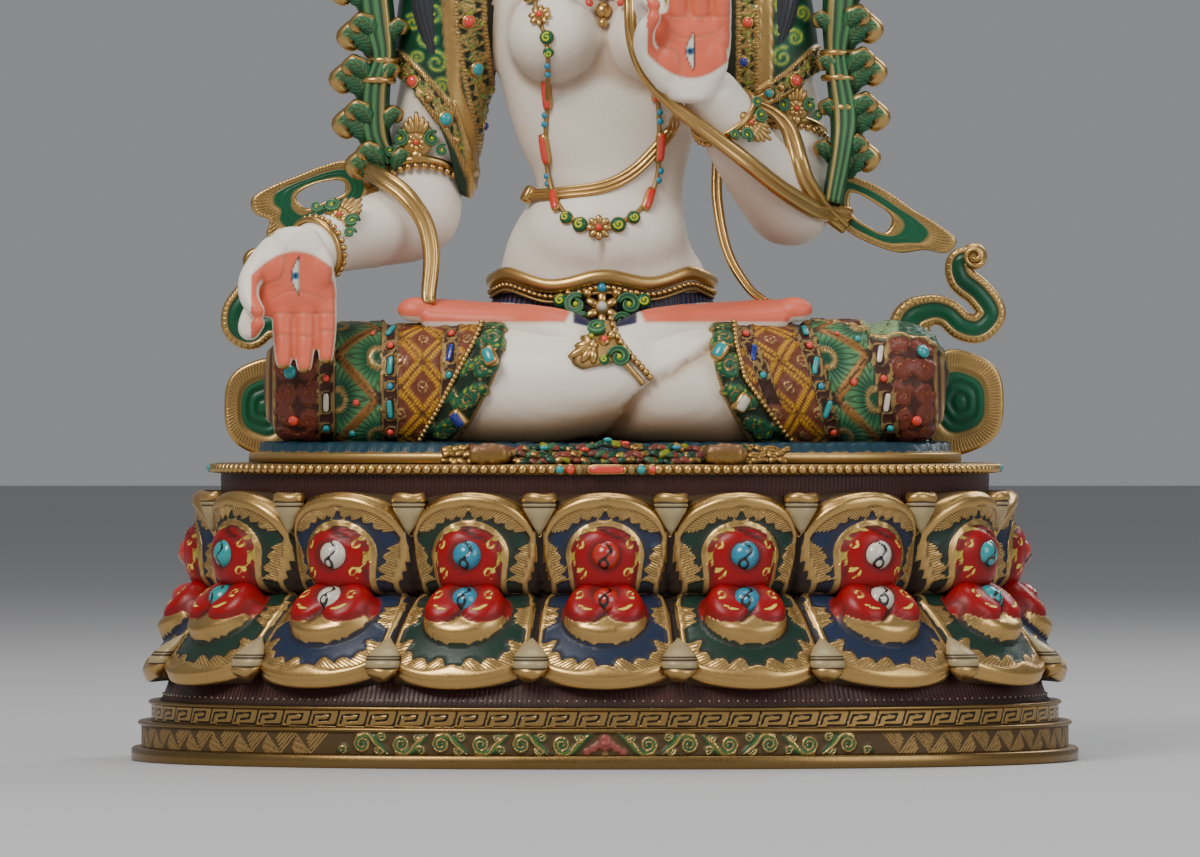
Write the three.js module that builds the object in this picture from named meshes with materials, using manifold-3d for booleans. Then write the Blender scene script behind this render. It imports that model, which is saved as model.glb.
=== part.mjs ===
// Seated Tara on a double-lotus base, cast in copper alloy, gilded, painted and inlaid.
// Millimetres, +Z up. The figure faces -Y. The origin is the centre of the base's underside.
import * as THREE from "three";
import { mergeVertices } from "three/addons/utils/BufferGeometryUtils.js";
import Module from "manifold-3d";

const wasm = await Module();
wasm.setup();

// Base: plan, and the tiers from the ground up
const BASE_WIDTH = 380;
const BASE_DEPTH = 240;
const PLAN_SQUARENESS = 2.3;
const FOOT_HEIGHT = 5.2;
const SCROLL_BAND_HEIGHT = 10.6;
const FRET_BAND_HEIGHT = 8.2;
const LOWER_NECK_HEIGHT = 9;
const LOWER_ROW_HEIGHT = 35;
const UPPER_ROW_HEIGHT = 38;
const UPPER_NECK_HEIGHT = 8.8;
const BEAD_RAIL_HEIGHT = 4;
const BAND_STEP = 4;
const BAND_LIP = 1.4;
const NECK_INSET = 12;
const WAIST_INSET = 42;
const TOP_INSET = 34;
const RAIL_PROUD = 1.8;
const FRONT_LEAN = 0.75;

// Petals: the same number in each row, one above the other, with a sepal between each two
const PETALS_PER_ROW = 16;
const COLUMNS_PER_PETAL = 5;
const LOWER_PETAL_PROUD = 33;
const UPPER_PETAL_PROUD = 12;
const LOBE_PROUD = 5;
const PETAL_ARCH = 13;
const SEPAL_PROUD = 3;

// Figure: the seat plate is under it, and its height is from the plate to the finial
const FIGURE_HEIGHT = 367;
const SEAT_PLATE_THICKNESS = 4;
const SEAT_PLATE_MARGIN = 13;
const SEAT_PLATE_SIDES = 32;
const SEAT_CLOTH_MARGIN = 4;
const FIT_GAP = 0.3;

const baseHeight = FOOT_HEIGHT + SCROLL_BAND_HEIGHT + FRET_BAND_HEIGHT + LOWER_NECK_HEIGHT
  + LOWER_ROW_HEIGHT + UPPER_ROW_HEIGHT + UPPER_NECK_HEIGHT + BEAD_RAIL_HEIGHT;
const seatLevel = baseHeight + FIT_GAP + SEAT_PLATE_THICKNESS;

// The figure's pose is written in shares of its height: one share is one 367th of it.
const share = FIGURE_HEIGHT / 367;

const vec = (x, y, z) => new THREE.Vector3(x, y, z);
const power = (value, exponent) => Math.sign(value) * Math.abs(value) ** exponent;
const mix = (a, b, t) => a + (b - a) * t;

// A closed skin through rings of equally many points, each end closed by a fan to its own tip.
function loft(rings, startTip, endTip) {
  const count = rings[0].length;
  const points = rings.flat();
  const triangles = [];
  for (let r = 0; r + 1 < rings.length; r++) {
    for (let i = 0; i < count; i++) {
      const j = (i + 1) % count;
      const a = r * count + i;
      const b = r * count + j;
      triangles.push([a, b, b + count], [a, b + count, a + count]);
    }
  }
  const start = points.length;
  const last = (rings.length - 1) * count;
  points.push(startTip ?? middle(rings[0]), endTip ?? middle(rings.at(-1)));
  for (let i = 0; i < count; i++) {
    const j = (i + 1) % count;
    triangles.push([start, j, i], [start + 1, last + i, last + j]);
  }
  return solidFrom(points, triangles);
}

function middle(ring) {
  return ring.reduce((sum, p) => sum.add(p), vec(0, 0, 0)).divideScalar(ring.length);
}

// Faces are turned outward by the sign of the volume that they enclose.
function solidFrom(points, triangles) {
  let volume = 0;
  for (const [a, b, c] of triangles) volume += points[a].dot(points[b].clone().cross(points[c]));
  const faces = volume > 0 ? triangles : triangles.map(([a, b, c]) => [a, c, b]);
  return new wasm.Manifold(new wasm.Mesh({
    numProp: 3,
    vertProperties: new Float32Array(points.flatMap((p) => [p.x, p.y, p.z])),
    triVerts: new Uint32Array(faces.flat()),
  }));
}

function solidFromGeometry(geometry) {
  const bare = geometry.index ? geometry.clone() : geometry;
  bare.deleteAttribute("normal");
  bare.deleteAttribute("uv");
  const merged = mergeVertices(bare, 1e-4);
  return new wasm.Manifold(new wasm.Mesh({
    numProp: 3,
    vertProperties: new Float32Array(merged.attributes.position.array),
    triVerts: new Uint32Array(merged.index.array),
  }));
}

function geometryFrom(solid) {
  const mesh = solid.getMesh();
  const geometry = new THREE.BufferGeometry();
  geometry.setAttribute("position", new THREE.BufferAttribute(new Float32Array(mesh.vertProperties), 3));
  geometry.setIndex(new THREE.BufferAttribute(new Uint32Array(mesh.triVerts), 1));
  return geometry;
}

const join = (solids) => wasm.Manifold.union(solids);

// An oval section round a centre, flatter sided as its squareness grows past 2.
function oval(centre, across, up, halfAcross, halfUp, sides, squareness = 2) {
  return Array.from({ length: sides }, (_, i) => {
    const angle = (2 * Math.PI * (i + 0.5)) / sides;
    return centre.clone()
      .addScaledVector(across, halfAcross * power(Math.cos(angle), 2 / squareness))
      .addScaledVector(up, halfUp * power(Math.sin(angle), 2 / squareness));
  });
}

// A limb: oval sections of [x, y, z, half width, half height] carried along their own line, round ended.
// Positions and radii are shares of the figure's height; swell adds to every radius, in millimetres.
function limb(stations, { sides = 12, side = vec(1, 0, 0), round = 0.6, squareness = 2, swell = 0 } = {}) {
  const centres = stations.map(([x, y, z]) => vec(x, y, z).multiplyScalar(share));
  const rings = [];
  const directions = centres.map((centre, i) => {
    const before = centres[Math.max(i - 1, 0)];
    const after = centres[Math.min(i + 1, centres.length - 1)];
    return after.clone().sub(before).normalize();
  });
  stations.forEach(([, , , halfWidth, halfHeight = halfWidth], i) => {
    const up = directions[i].clone().cross(side).normalize();
    const across = up.clone().cross(directions[i]);
    rings.push(oval(centres[i], across, up, halfWidth * share + swell, halfHeight * share + swell,
      sides, squareness));
  });
  const reach = (i) => Math.min(stations[i][3], stations[i][4] ?? stations[i][3]) * share * round + swell;
  const last = stations.length - 1;
  const startTip = centres[0].clone().addScaledVector(directions[0], -reach(0));
  const endTip = centres[last].clone().addScaledVector(directions[last], reach(last));
  return loft(rings, startTip, endTip);
}

// An egg of given half sizes, in shares of the figure's height.
function egg(x, y, z, halfX, halfY, halfZ, { columns = 12, rows = 7, swell = 0, squareness = 2 } = {}) {
  const rings = [];
  for (let r = 1; r < rows; r++) {
    const lat = (Math.PI * r) / rows - Math.PI / 2;
    const ring = power(Math.cos(lat), 2 / squareness);
    const height = power(Math.sin(lat), 2 / squareness) * (halfZ * share + swell);
    rings.push(oval(vec(x, y, z).multiplyScalar(share).setZ(z * share + height), vec(1, 0, 0),
      vec(0, 1, 0), ring * (halfX * share + swell), ring * (halfY * share + swell), columns, squareness));
  }
  const pole = (sign) => vec(x, y, z + sign * halfZ).multiplyScalar(share).add(vec(0, 0, sign * swell));
  return loft(rings, pole(-1), pole(1));
}

// A ribbon: a flat strap carried along points [x, y, z, half width], its face turned toward `facing`.
function ribbon(stations, thickness, facing = vec(0, -1, 0)) {
  const centres = stations.map(([x, y, z]) => vec(x, y, z).multiplyScalar(share));
  const half = (thickness * share) / 2;
  const rings = centres.map((centre, i) => {
    const before = centres[Math.max(i - 1, 0)];
    const after = centres[Math.min(i + 1, centres.length - 1)];
    const along = after.clone().sub(before).normalize();
    const across = along.clone().cross(facing).normalize();
    const out = across.clone().cross(along).normalize();
    return [[-1, -1], [1, -1], [1, 1], [-1, 1]].map(([a, o]) => centre.clone()
      .addScaledVector(across, a * stations[i][3] * share)
      .addScaledVector(out, o * half));
  });
  return loft(rings);
}

// Base

// Point of the base's plan at a turn, for an inset from the foot's edge.
function planPoint(turn, inset, height) {
  const halfWidth = BASE_WIDTH / 2 - inset;
  const halfDepth = BASE_DEPTH / 2 - inset * FRONT_LEAN;
  const exponent = 2 / PLAN_SQUARENESS;
  const across = halfWidth * power(Math.sin(turn), exponent);
  return vec(across, -halfDepth * power(Math.cos(turn), exponent), height);
}

// Turns at which a row's petals stand, equally spaced along the plan's edge from the front's middle.
function rowTurns(count, inset, offset = 0) {
  const steps = 720;
  const lengths = [0];
  for (let i = 1; i <= steps; i++) {
    const a = planPoint((2 * Math.PI * (i - 1)) / steps, inset, 0);
    const b = planPoint((2 * Math.PI * i) / steps, inset, 0);
    lengths.push(lengths[i - 1] + a.distanceTo(b));
  }
  const total = lengths[steps];
  return Array.from({ length: count }, (_, k) => {
    const wanted = (total * (k + offset)) / count;
    const after = lengths.findIndex((length) => length >= wanted);
    const before = Math.max(after - 1, 0);
    const part = after > before ? (wanted - lengths[before]) / (lengths[after] - lengths[before]) : 0;
    return (2 * Math.PI * mix(before, after, part)) / steps;
  });
}

const scrollBandTop = FOOT_HEIGHT + SCROLL_BAND_HEIGHT;
const fretBandTop = scrollBandTop + FRET_BAND_HEIGHT;
const lowerRowBottom = fretBandTop + LOWER_NECK_HEIGHT;
const waistLevel = lowerRowBottom + LOWER_ROW_HEIGHT;
const upperRowTop = waistLevel + UPPER_ROW_HEIGHT;
const railBottom = upperRowTop + UPPER_NECK_HEIGHT;

// The base's profile where a petal's phase is given: 0 on its middle line, 1 between it and the next.
// Each place is [inset, height]. The petals' outlines arch: their edges meet between them.
function baseProfile(phase) {
  const arch = Math.sqrt(Math.max(0, 1 - phase ** 2));
  const lobe = Math.max(0, 1 - (phase / 0.62) ** 2);
  const between = phase > 0.9 ? SEPAL_PROUD : 0;
  const lowerRoot = WAIST_INSET - 4;
  const lowerOut = lowerRoot - LOWER_PETAL_PROUD;
  const upperOut = WAIST_INSET - 4 - UPPER_PETAL_PROUD;
  const lowerTip = lowerRowBottom - 2 + PETAL_ARCH * (1 - arch);
  const upperTip = upperRowTop - PETAL_ARCH * (1 - arch);
  const fretInset = 2 * BAND_STEP;
  const neckTop = NECK_INSET + 4;
  return [
    [0, 0], [0, FOOT_HEIGHT], [BAND_STEP, FOOT_HEIGHT], [BAND_STEP - BAND_LIP, scrollBandTop],
    [fretInset, scrollBandTop], [fretInset - BAND_LIP, fretBandTop], [NECK_INSET, fretBandTop],
    [neckTop, lowerRowBottom - 4],
    [mix(neckTop, lowerOut + 1, arch) - between, lowerTip],
    [mix(neckTop + 2, lowerOut, arch) - between, lowerTip + 6],
    [mix(neckTop + 9, lowerOut + 11, arch) - LOBE_PROUD * lobe, mix(lowerRowBottom, waistLevel, 0.55)],
    [mix(neckTop + 16, lowerOut + 22, arch) - LOBE_PROUD * lobe, mix(lowerRowBottom, waistLevel, 0.85)],
    [WAIST_INSET - 3 * arch, waistLevel],
    [mix(WAIST_INSET, upperOut + 3, arch) - LOBE_PROUD * lobe, waistLevel + 6],
    [mix(WAIST_INSET, upperOut, arch) - LOBE_PROUD * lobe, mix(waistLevel, upperRowTop, 0.42)],
    [mix(WAIST_INSET, upperOut + 1, arch) - LOBE_PROUD * 0.5 * lobe, mix(waistLevel, upperTip, 0.68)],
    [mix(WAIST_INSET - 6, upperOut, arch) - between, upperTip],
    [TOP_INSET + RAIL_PROUD, upperRowTop + 1], [TOP_INSET + RAIL_PROUD, railBottom],
    [TOP_INSET, railBottom], [TOP_INSET, baseHeight],
  ];
}

function makeLotusBase() {
  const columns = PETALS_PER_ROW * COLUMNS_PER_PETAL;
  const turns = rowTurns(columns, WAIST_INSET - 6, 0.5);
  const profiles = turns.map((turn, i) => {
    const phase = (((i + 0.5) / COLUMNS_PER_PETAL + 0.5) % 1) * 2 - 1;
    return baseProfile(Math.abs(phase)).map(([inset, height]) => planPoint(turn, inset, height));
  });
  const rings = profiles[0].map((_, level) => profiles.map((profile) => profile[level]));
  return loft(rings);
}

// Figure, in shares of its height, above its seat

// Torso from hips to neck, with the belt as a step: [height, sway, depth, half width, half depth].
const TORSO = [
  [8, 0, 16, 44, 34], [50, -1, 12, 47, 34], [62, -1, 10.5, 46.4, 32.5], [71, -1.3, 8.5, 44.6, 31],
  [72, -1.3, 8.5, 41.5, 28.5], [82, -1, 6, 37.5, 26.5],
  [102, 2, 3, 29.5, 22], [114, 2, 3, 31, 22.5], [127, 1, 3, 36, 24.5], [145, 0, 3, 40.5, 26.5],
  [170, -1, 4, 45, 27.5], [194, -1, 5, 46, 25], [206, -1, 6, 42, 21], [214, -1, 6, 28, 17],
  [222, 0, 5, 15.5, 15], [244, 0, 2, 14, 14.5],
];

function torso(swell) {
  const stations = TORSO.map(([z, x, y, w, d]) => [x, y, z, w, d]);
  return limb(stations, { sides: 14, swell, squareness: 2.2, round: 0.1 });
}

// Arms from shoulder to wrist, with the armlet and the bracelet as steps in the radius:
// one arm lowered over the knee, one raised before the breast.
const LOWERED_ARM = [
  [-47, 8, 196, 16], [-58, 8, 186, 18.5], [-64, 9, 155, 17.3], [-70, 10, 126, 16.8],
  [-73, 9.5, 113, 17], [-73.5, 9.5, 108, 19.6], [-74.2, 8.5, 103, 17],
  [-75, -1, 94, 16], [-90, -22, 89, 15], [-106, -44, 84, 12.6], [-110, -50, 82, 14.8],
  [-113, -54, 81, 12], [-117, -58, 79, 11.5],
];
const RAISED_ARM = [
  [47, 8, 196, 16], [58, 8, 186, 18.5], [65, 9, 155, 17.5], [69, 9, 140, 17.3], [70.2, 9, 134, 19.8],
  [71.5, 9, 128, 17.3], [76, 6, 108, 16.5], [74, -4, 97, 15.5], [65, -17, 108, 15.3],
  [55, -30, 121, 13.6], [52.5, -33, 126, 15.8], [50, -35, 130, 13.2],
  [41, -44, 144, 11.5],
];
const ACROSS_ARM = vec(0, 1, 0);

function arms(swell) {
  return [LOWERED_ARM, RAISED_ARM].map((stations) => limb(stations, { sides: 9, side: ACROSS_ARM, swell }));
}

// A hand: palm, three straight fingers and a forefinger bent to meet the thumb.
// way is 1 for fingers that point up and -1 for fingers that hang; thumbSide is the side the thumb is on.
function hand([x, y, z], way, thumbSide, swell) {
  const palm = limb([
    [x, y + 2, z - way * 17, 9, 8], [x, y, z - way * 7, 15, 7.5], [x, y - 1, z + way * 10, 16, 6],
  ], { sides: 8, swell, round: 0.4 });
  const fingers = [23, 27, 24].map((length, i) => {
    const fingerX = x + thumbSide * (8.4 * i - 11.8);
    return limb([[fingerX, y - 1, z + way * 8, 4.4], [fingerX, y - 4, z + way * (8 + length), 3.6]],
      { sides: 6, swell });
  });
  const reach = x + thumbSide * 13.5;
  const across = vec(1, 0, 0.01);
  fingers.push(limb([[reach, y - 1, z + way * 7, 4.3], [reach + thumbSide * 3, y - 7, z + way * 18, 4],
    [reach + thumbSide, y - 14, z + way * 14, 3.4]], { sides: 5, swell, side: across }));
  fingers.push(limb([[x + thumbSide * 10, y, z - way * 12, 5.5], [x + thumbSide * 18, y - 7, z, 4.6],
    [x + thumbSide * 15, y - 13, z + way * 10, 3.4]], { sides: 5, swell, side: across }));
  return [palm, ...fingers];
}

// Folded legs: thigh, knee and shin on each side. The viewer's left shin crosses over the other.
// The sleeves of patterned cloth round the shins end in a step.
const LEG_LEVEL = 26.5;
const SHINS = [
  [[-104, -22, 26, 25, 25.4], [-76, -36, 26, 24.2, 25.4], [-57, -46, 26, 23.5, 25.2],
    [-56.5, -46.2, 26, 22.3, 24], [-22, -58, 26, 20, 22.5], [0, -62, 30, 18, 19.5], [14, -62, 37, 15, 14]],
  [[104, -22, 26, 25, 25.4], [76, -36, 26, 24.2, 25.4], [57, -46, 26, 23.5, 25.2],
    [56.5, -46.2, 26, 22.3, 24], [22, -56, 26, 20, 22.5], [-2, -52, 24, 16, 20]],
];

function legs(swell) {
  return [-1, 1].flatMap((s) => [
    limb([
      [s * 30, 24, LEG_LEVEL, 30, 24.5], [s * 76, 14, LEG_LEVEL, 29, 24.5],
      [s * 104, -4, LEG_LEVEL, 28, 24],
    ], { sides: 8, side: ACROSS_ARM, squareness: 2.3, swell }),
    egg(s * 108, -14, LEG_LEVEL, 28.5, 36, 24.8, { columns: 12, rows: 5, squareness: 2.8, swell }),
    limb(SHINS[s < 0 ? 0 : 1], { sides: 10, side: ACROSS_ARM, squareness: 2.3, swell }),
  ]);
}

// A foot lies sole up on the far thigh, its toes outward: ankle, heel, ball, then the big toe and the rest.
function foot(s, swell) {
  return [
    limb([
      [s * 8, -60, 42, 13, 11], [s * 20, -52, 49, 14, 9.5],
      [s * 42, -42, 53, 13, 8], [s * 66, -36, 55, 15, 7],
    ], { sides: 8, side: ACROSS_ARM, swell }),
    egg(s * 74, -46, 57, 8, 4.6, 5, { columns: 6, rows: 4, swell }),
    egg(s * 73, -33, 56.5, 7, 10, 4, { columns: 6, rows: 4, swell }),
  ];
}

// The seat plate under the figure follows the base's plan, within its bead rail, with a cloth laid on it.
function seatPlate(swell = 0) {
  const inset = TOP_INSET + SEAT_PLATE_MARGIN - swell;
  const ring = (height, margin = 0) => rowTurns(SEAT_PLATE_SIDES, inset)
    .map((turn) => planPoint(turn, inset + margin, height + swell));
  return loft([ring(-SEAT_PLATE_THICKNESS), ring(0), ring(3.4 * share, SEAT_CLOTH_MARGIN)]);
}

// Rumpled cloth before the shins.
const seatCloth = () => [egg(0, -74, 0.5, 66, 12, 3.6, { columns: 10, rows: 4 })];

// Head, calm and plain: a skull with brow, nose, lips and chin raised by smooth bumps.
const HEAD = { y: -1, z: 270, halfWidth: 26, halfDepth: 29, halfHeight: 36 };
const bump = (value, place, width) => Math.exp(-((value - place) ** 2) / (2 * width ** 2));

function headPoint(azimuth, lat) {
  const jaw = lat < 0 ? 1 - 0.2 * Math.sin(lat) ** 2 : 1;
  const front = Math.cos(azimuth);
  const level = Math.sin(lat) * HEAD.halfHeight;
  const tip = 6 * bump(azimuth, 0, 0.12) * bump(level, -9, 5);
  const bridge = 3 * bump(azimuth, 0, 0.1) * bump(level, 0, 6);
  const lips = 2.6 * bump(azimuth, 0, 0.2) * bump(level, -19, 3);
  const chin = 3.4 * bump(azimuth, 0, 0.24) * bump(level, -30, 4);
  const sockets = 2.4 * (bump(azimuth, 0.42, 0.18) + bump(azimuth, -0.42, 0.18)) * bump(level, 0, 4);
  const forward = front > 0 ? front * (tip + bridge + lips + chin - sockets) : 0;
  return vec(
    Math.sin(azimuth) * Math.cos(lat) * HEAD.halfWidth * jaw,
    HEAD.y - front * Math.cos(lat) * HEAD.halfDepth * jaw - forward,
    HEAD.z + level,
  ).multiplyScalar(share);
}

function head(swell) {
  const columns = 14;
  const rows = 11;
  const rings = [];
  for (let r = 1; r < rows; r++) {
    const lat = (Math.PI * r) / rows - Math.PI / 2;
    rings.push(Array.from({ length: columns }, (_, i) => headPoint((2 * Math.PI * i) / columns, lat)));
  }
  const face = loft(rings, headPoint(0, -Math.PI / 2), headPoint(0, Math.PI / 2));
  const { y, z, halfWidth, halfDepth, halfHeight } = HEAD;
  return swell ? egg(0, y, z, halfWidth, halfDepth, halfHeight, { swell: swell + 3 }) : face;
}

// Hair: a cap, a tall topknot with its jewel, a fall behind, and a lock over each shoulder.
function hair(swell) {
  const parts = [
    egg(0, HEAD.y + 5, HEAD.z + 7, HEAD.halfWidth + 2, HEAD.halfDepth - 0.5, HEAD.halfHeight - 3,
      { columns: 12, rows: 5, swell }),
    limb([[0, 6, 300, 18], [0, 6, 312, 14.5], [0, 6, 327, 17], [0, 6, 341, 10.5]], { sides: 9, swell }),
    limb([[0, 6, 345, 7], [0, 6, 353, 5], [0, 6, 360, 2.2]], { sides: 6, round: 3.2, swell }),
    limb([[0, 24, 270, 22, 12], [0, 31, 240, 26, 9], [0, 33, 212, 29, 7], [0, 32, 184, 24, 5]],
      { sides: 8, round: 1, swell }),
  ];
  for (const s of [-1, 1]) {
    parts.push(limb([[s * 18, 18, 250, 7], [s * 34, 14, 224, 6, 8], [s * 56, 2, 207, 5, 10],
      [s * 69, -7, 186, 5, 9], [s * 68, -9, 158, 3, 4]], { sides: 6, side: ACROSS_ARM, swell }));
  }
  return parts;
}

// Ears with ring earrings that hang to the shoulders.
function ears(swell = 0) {
  return [-1, 1].flatMap((s) => [
    limb([
      [s * HEAD.halfWidth, 3, HEAD.z + 6, 3, 5], [s * (HEAD.halfWidth + 1.5), 2, HEAD.z - 12, 3, 4],
      [s * (HEAD.halfWidth + 2), 0, HEAD.z - 23, 6.5, 5], [s * (HEAD.halfWidth + 2), 0, HEAD.z - 36, 3, 3],
    ], { sides: 6, swell }),
  ]);
}

// Shawl over the upper arms: a loose sleeve cut off aslant, low toward the body.
function shawl(swell = 0) {
  return [[-1, LOWERED_ARM, [-56, 106], [-82, 157]], [1, RAISED_ARM, [58, 112], [86, 160]]]
    .map(([s, arm, low, high]) => {
      const sleeve = limb(arm.filter(([, , z]) => z > 100).slice(0, 4)
        .map(([x, y, z, r]) => [x - s * 2, y, z, r + 3.2]).concat([[s * 76, 8, 100, 20]]),
        { sides: 10, side: ACROSS_ARM, swell });
      return sleeve.subtract(slab(low, high, swell));
    });
}

// A block under the slanted line through two points [x, z], deep enough to cut right through an arm.
function slab([x0, z0], [x1, z1], swell) {
  const length = Math.hypot(x1 - x0, z1 - z0) * share;
  const size = 6 * length;
  const block = new THREE.BoxGeometry(size, size, size);
  block.translate(0, 0, -size / 2);
  block.rotateY(-Math.atan2((z1 - z0) * Math.sign(x1 - x0), Math.abs(x1 - x0)));
  block.translate(((x0 + x1) / 2) * share, 0, ((z0 + z1) / 2) * share - 2 * swell);
  return solidFromGeometry(block);
}

// Jewellery that is cast on: the belt's clasp and the long bead chain over the breasts.
const NECKLACE = [
  [-24, -18, 208], [-26, -32, 190], [-23.5, -41, 168], [-22.5, -34, 146], [-22.5, -24, 124],
  [-17, -22.5, 103], [-2, -25, 93.5], [15, -23, 98], [21.5, -24, 124], [21.5, -35, 146], [22, -41, 168],
  [25, -33, 190], [24, -18, 208],
];

function jewellery(swell = 0) {
  return [
    egg(-1, -26, 56, 13, 6, 8, { columns: 8, rows: 4, swell }),
    limb(NECKLACE.map(([x, y, z]) => [x, y, z, 2.2, 2.2]), { sides: 4, side: vec(0, 1, 0.01), swell }),
  ];
}

const figureBody = (swell = 0) => [
  torso(swell), ...arms(swell), ...legs(swell), ...foot(-1, swell), ...foot(1, swell),
  ...[-20.5, 19.5].map((x) => egg(x, -20, 166, 19, 19, 18.5, { columns: 12, rows: 5, swell })),
  ...hand([-122, -66, 67], -1, -1, swell), ...hand([34, -52, 161], 1, -1, swell),
  head(swell), ...hair(swell),
];

const taraSolid = join([
  ...figureBody(), seatPlate(), ...seatCloth(), ...ears(), ...shawl(), ...jewellery(),
]);

// Pieces fixed to the figure. Each is cut back from the figure by the fit gap.
const figureRoom = join([
  taraSolid, ...figureBody(FIT_GAP), seatPlate(FIT_GAP), ...ears(FIT_GAP), ...shawl(FIT_GAP),
  ...jewellery(FIT_GAP),
]);

// A flat plate in the figure's frontal plane: an outline of [x, z], its middle at a depth y.
function frontalPlate(outline, y, thickness) {
  const shape = new THREE.Shape();
  const points = outline.map(([x, z]) => new THREE.Vector2(x * share, z * share));
  shape.setFromPoints(points);
  const extrusion = { depth: thickness * share, bevelEnabled: false, steps: 1 };
  const geometry = new THREE.ExtrudeGeometry(shape, extrusion);
  geometry.rotateX(Math.PI / 2);
  geometry.translate(0, (y + thickness / 2) * share, 0);
  return solidFromGeometry(geometry);
}

// Crown: a band round the brow with five flame-shaped leaves.
const CROWN = {
  y: HEAD.y, z: HEAD.z + 17, halfWidth: HEAD.halfWidth + 5, halfDepth: HEAD.halfDepth + 4,
  bandHeight: 6, leaves: 5, spread: 0.72,
};

function crownLeaf(turn, height, width) {
  const out = vec(Math.sin(turn), -Math.cos(turn), 0);
  const across = vec(Math.cos(turn), Math.sin(turn), 0);
  const foot = vec(CROWN.halfWidth * Math.sin(turn), CROWN.y - CROWN.halfDepth * Math.cos(turn), CROWN.z);
  const ring = (part, half, thick, lean) => {
    const centre = foot.clone().addScaledVector(out, lean).setZ(CROWN.z + part * height);
    return oval(centre.multiplyScalar(share), across, out, half * share, thick * share, 4);
  };
  return loft([
    ring(0, width * 0.5, 3, -1), ring(0.25, width * 0.72, 3.4, 0), ring(0.6, width * 0.52, 2.8, 1.5),
    ring(1, 1.4, 1.2, 1),
  ]);
}

function makeCrown() {
  const rings = [0, 1].map((part) => {
    const centre = vec(0, CROWN.y, CROWN.z - 3 + part * CROWN.bandHeight).multiplyScalar(share);
    return oval(centre, vec(1, 0, 0), vec(0, 1, 0), CROWN.halfWidth * share, CROWN.halfDepth * share, 12);
  });
  const middleLeaf = (CROWN.leaves - 1) / 2;
  const leaves = Array.from({ length: CROWN.leaves }, (_, i) => {
    const away = Math.abs(i - middleLeaf);
    return crownLeaf((i - middleLeaf) * CROWN.spread, 36 - 5 * away, 19 - 2 * away);
  });
  return biggest(join([loft(rings), ...leaves]).subtract(figureRoom));
}

// The largest body of a solid that a cut has left in several.
function biggest(solid) {
  return solid.decompose().reduce((a, b) => (a.volume() > b.volume() ? a : b));
}

// Scarf ends: a flared, scalloped plate with a slot, and the gilt ribbons that run from it over the arm.
const FLARE_LEFT = [
  [-104, 117], [-114, 115], [-124, 111], [-134, 107], [-142, 102], [-141, 96], [-135, 93], [-136, 87],
  [-129, 82], [-122, 87], [-112, 93], [-100, 98], [-92, 102], [-92, 112],
];
const SLOT_LEFT = [[-106, 109], [-116, 108], [-124, 103], [-120, 98], [-112, 101], [-105, 104]];
const FLARE_RIGHT = [
  [92, 112], [104, 109], [114, 104], [124, 97], [134, 91], [141, 85], [137, 80], [128, 81],
  [118, 80], [108, 83], [98, 88], [90, 95], [86, 102],
];
const SLOT_RIGHT = [[99, 104], [108, 100], [115, 94], [112, 88], [105, 91], [99, 96]];
const RIBBON_LEFT = [
  [-93, 12, 107, 4.5], [-95, -8, 112, 4.5], [-90, -28, 110, 4.5], [-80, -36, 103, 4.5], [-72, -39, 92, 4.2],
  [-69, -42, 79, 4], [-70, -45, 64, 3.6], [-70, -47, 59, 3.2],
];
const BAND_RIGHT = [
  [15, -21, 199, 3], [11, -38, 189, 3], [10, -46, 178, 3], [11, -48, 163, 3], [16.5, -48, 149.5, 3.2],
  [27, -50, 138, 3.2], [39, -52, 128.5, 3.6], [55, -49.5, 116.5, 4], [70, -37, 105, 4.2],
  [83, -21, 97.5, 4.5], [90, -9, 96, 4.5], [98, -1, 95, 4.5],
];
const RIBBON_RIGHT = [
  [45, -8, 118, 2.6], [45, -14, 100, 2.6], [49, -22, 80, 2.4], [57, -30, 66, 2.2], [64, -36, 60, 2],
];

const SCARF_THICKNESS = 3;
const SCARF = {
  left: { flare: FLARE_LEFT, slot: SLOT_LEFT, y: 10, ribbon: RIBBON_LEFT },
  right: { flare: FLARE_RIGHT, slot: SLOT_RIGHT, y: 0, ribbon: BAND_RIGHT },
};

function scarf(side, swell = 0) {
  const { flare, slot, y, ribbon: stations } = SCARF[side];
  const plate = frontalPlate(flare, y, 4 + 2 * swell).subtract(frontalPlate(slot, y, 8));
  const wide = stations.map(([sx, sy, sz, half]) => [sx, sy, sz, half + swell]);
  return join([plate, ribbon(wide, SCARF_THICKNESS + 2 * swell)]);
}

const makeScarf = (side) => biggest(scarf(side).subtract(figureRoom));

function makeHangingRibbon() {
  return biggest(ribbon(RIBBON_RIGHT, 2.4).subtract(figureRoom));
}

// Lotus stem: a leafy shaft beside the arm, curling leaves on its outer side, an open flower at its head.
const STEM = {
  left: [[-87, 1, 116, 5], [-93, -1, 128, 9, 6], [-93, -2, 146, 10, 6], [-88, -2, 155, 6, 5],
    [-91, -2, 172, 11, 7], [-93, -1, 190, 12, 7], [-94, 0, 206, 7], [-95, 0, 214, 5]],
  right: [[91, -8, 100, 4.5], [95, -6, 122, 6.5, 5], [96, -4, 136, 8, 6], [92, -2, 158, 7, 5],
    [94, -2, 174, 11, 7], [95, -1, 190, 12, 7], [96, 0, 206, 7], [96, 0, 214, 5]],
};
const LEAF_CURLS = { left: [122, 141, 160, 180], right: [132, 149, 166, 184] };

function leafCurl(s, x, z, size) {
  return limb([[x, -1, z - size * 0.9, size * 0.5], [x + s * size * 0.8, -2, z - size * 0.3, size * 0.6],
    [x + s * size, -3, z + size * 0.6, size * 0.45]], { sides: 4, side: ACROSS_ARM });
}

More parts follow.
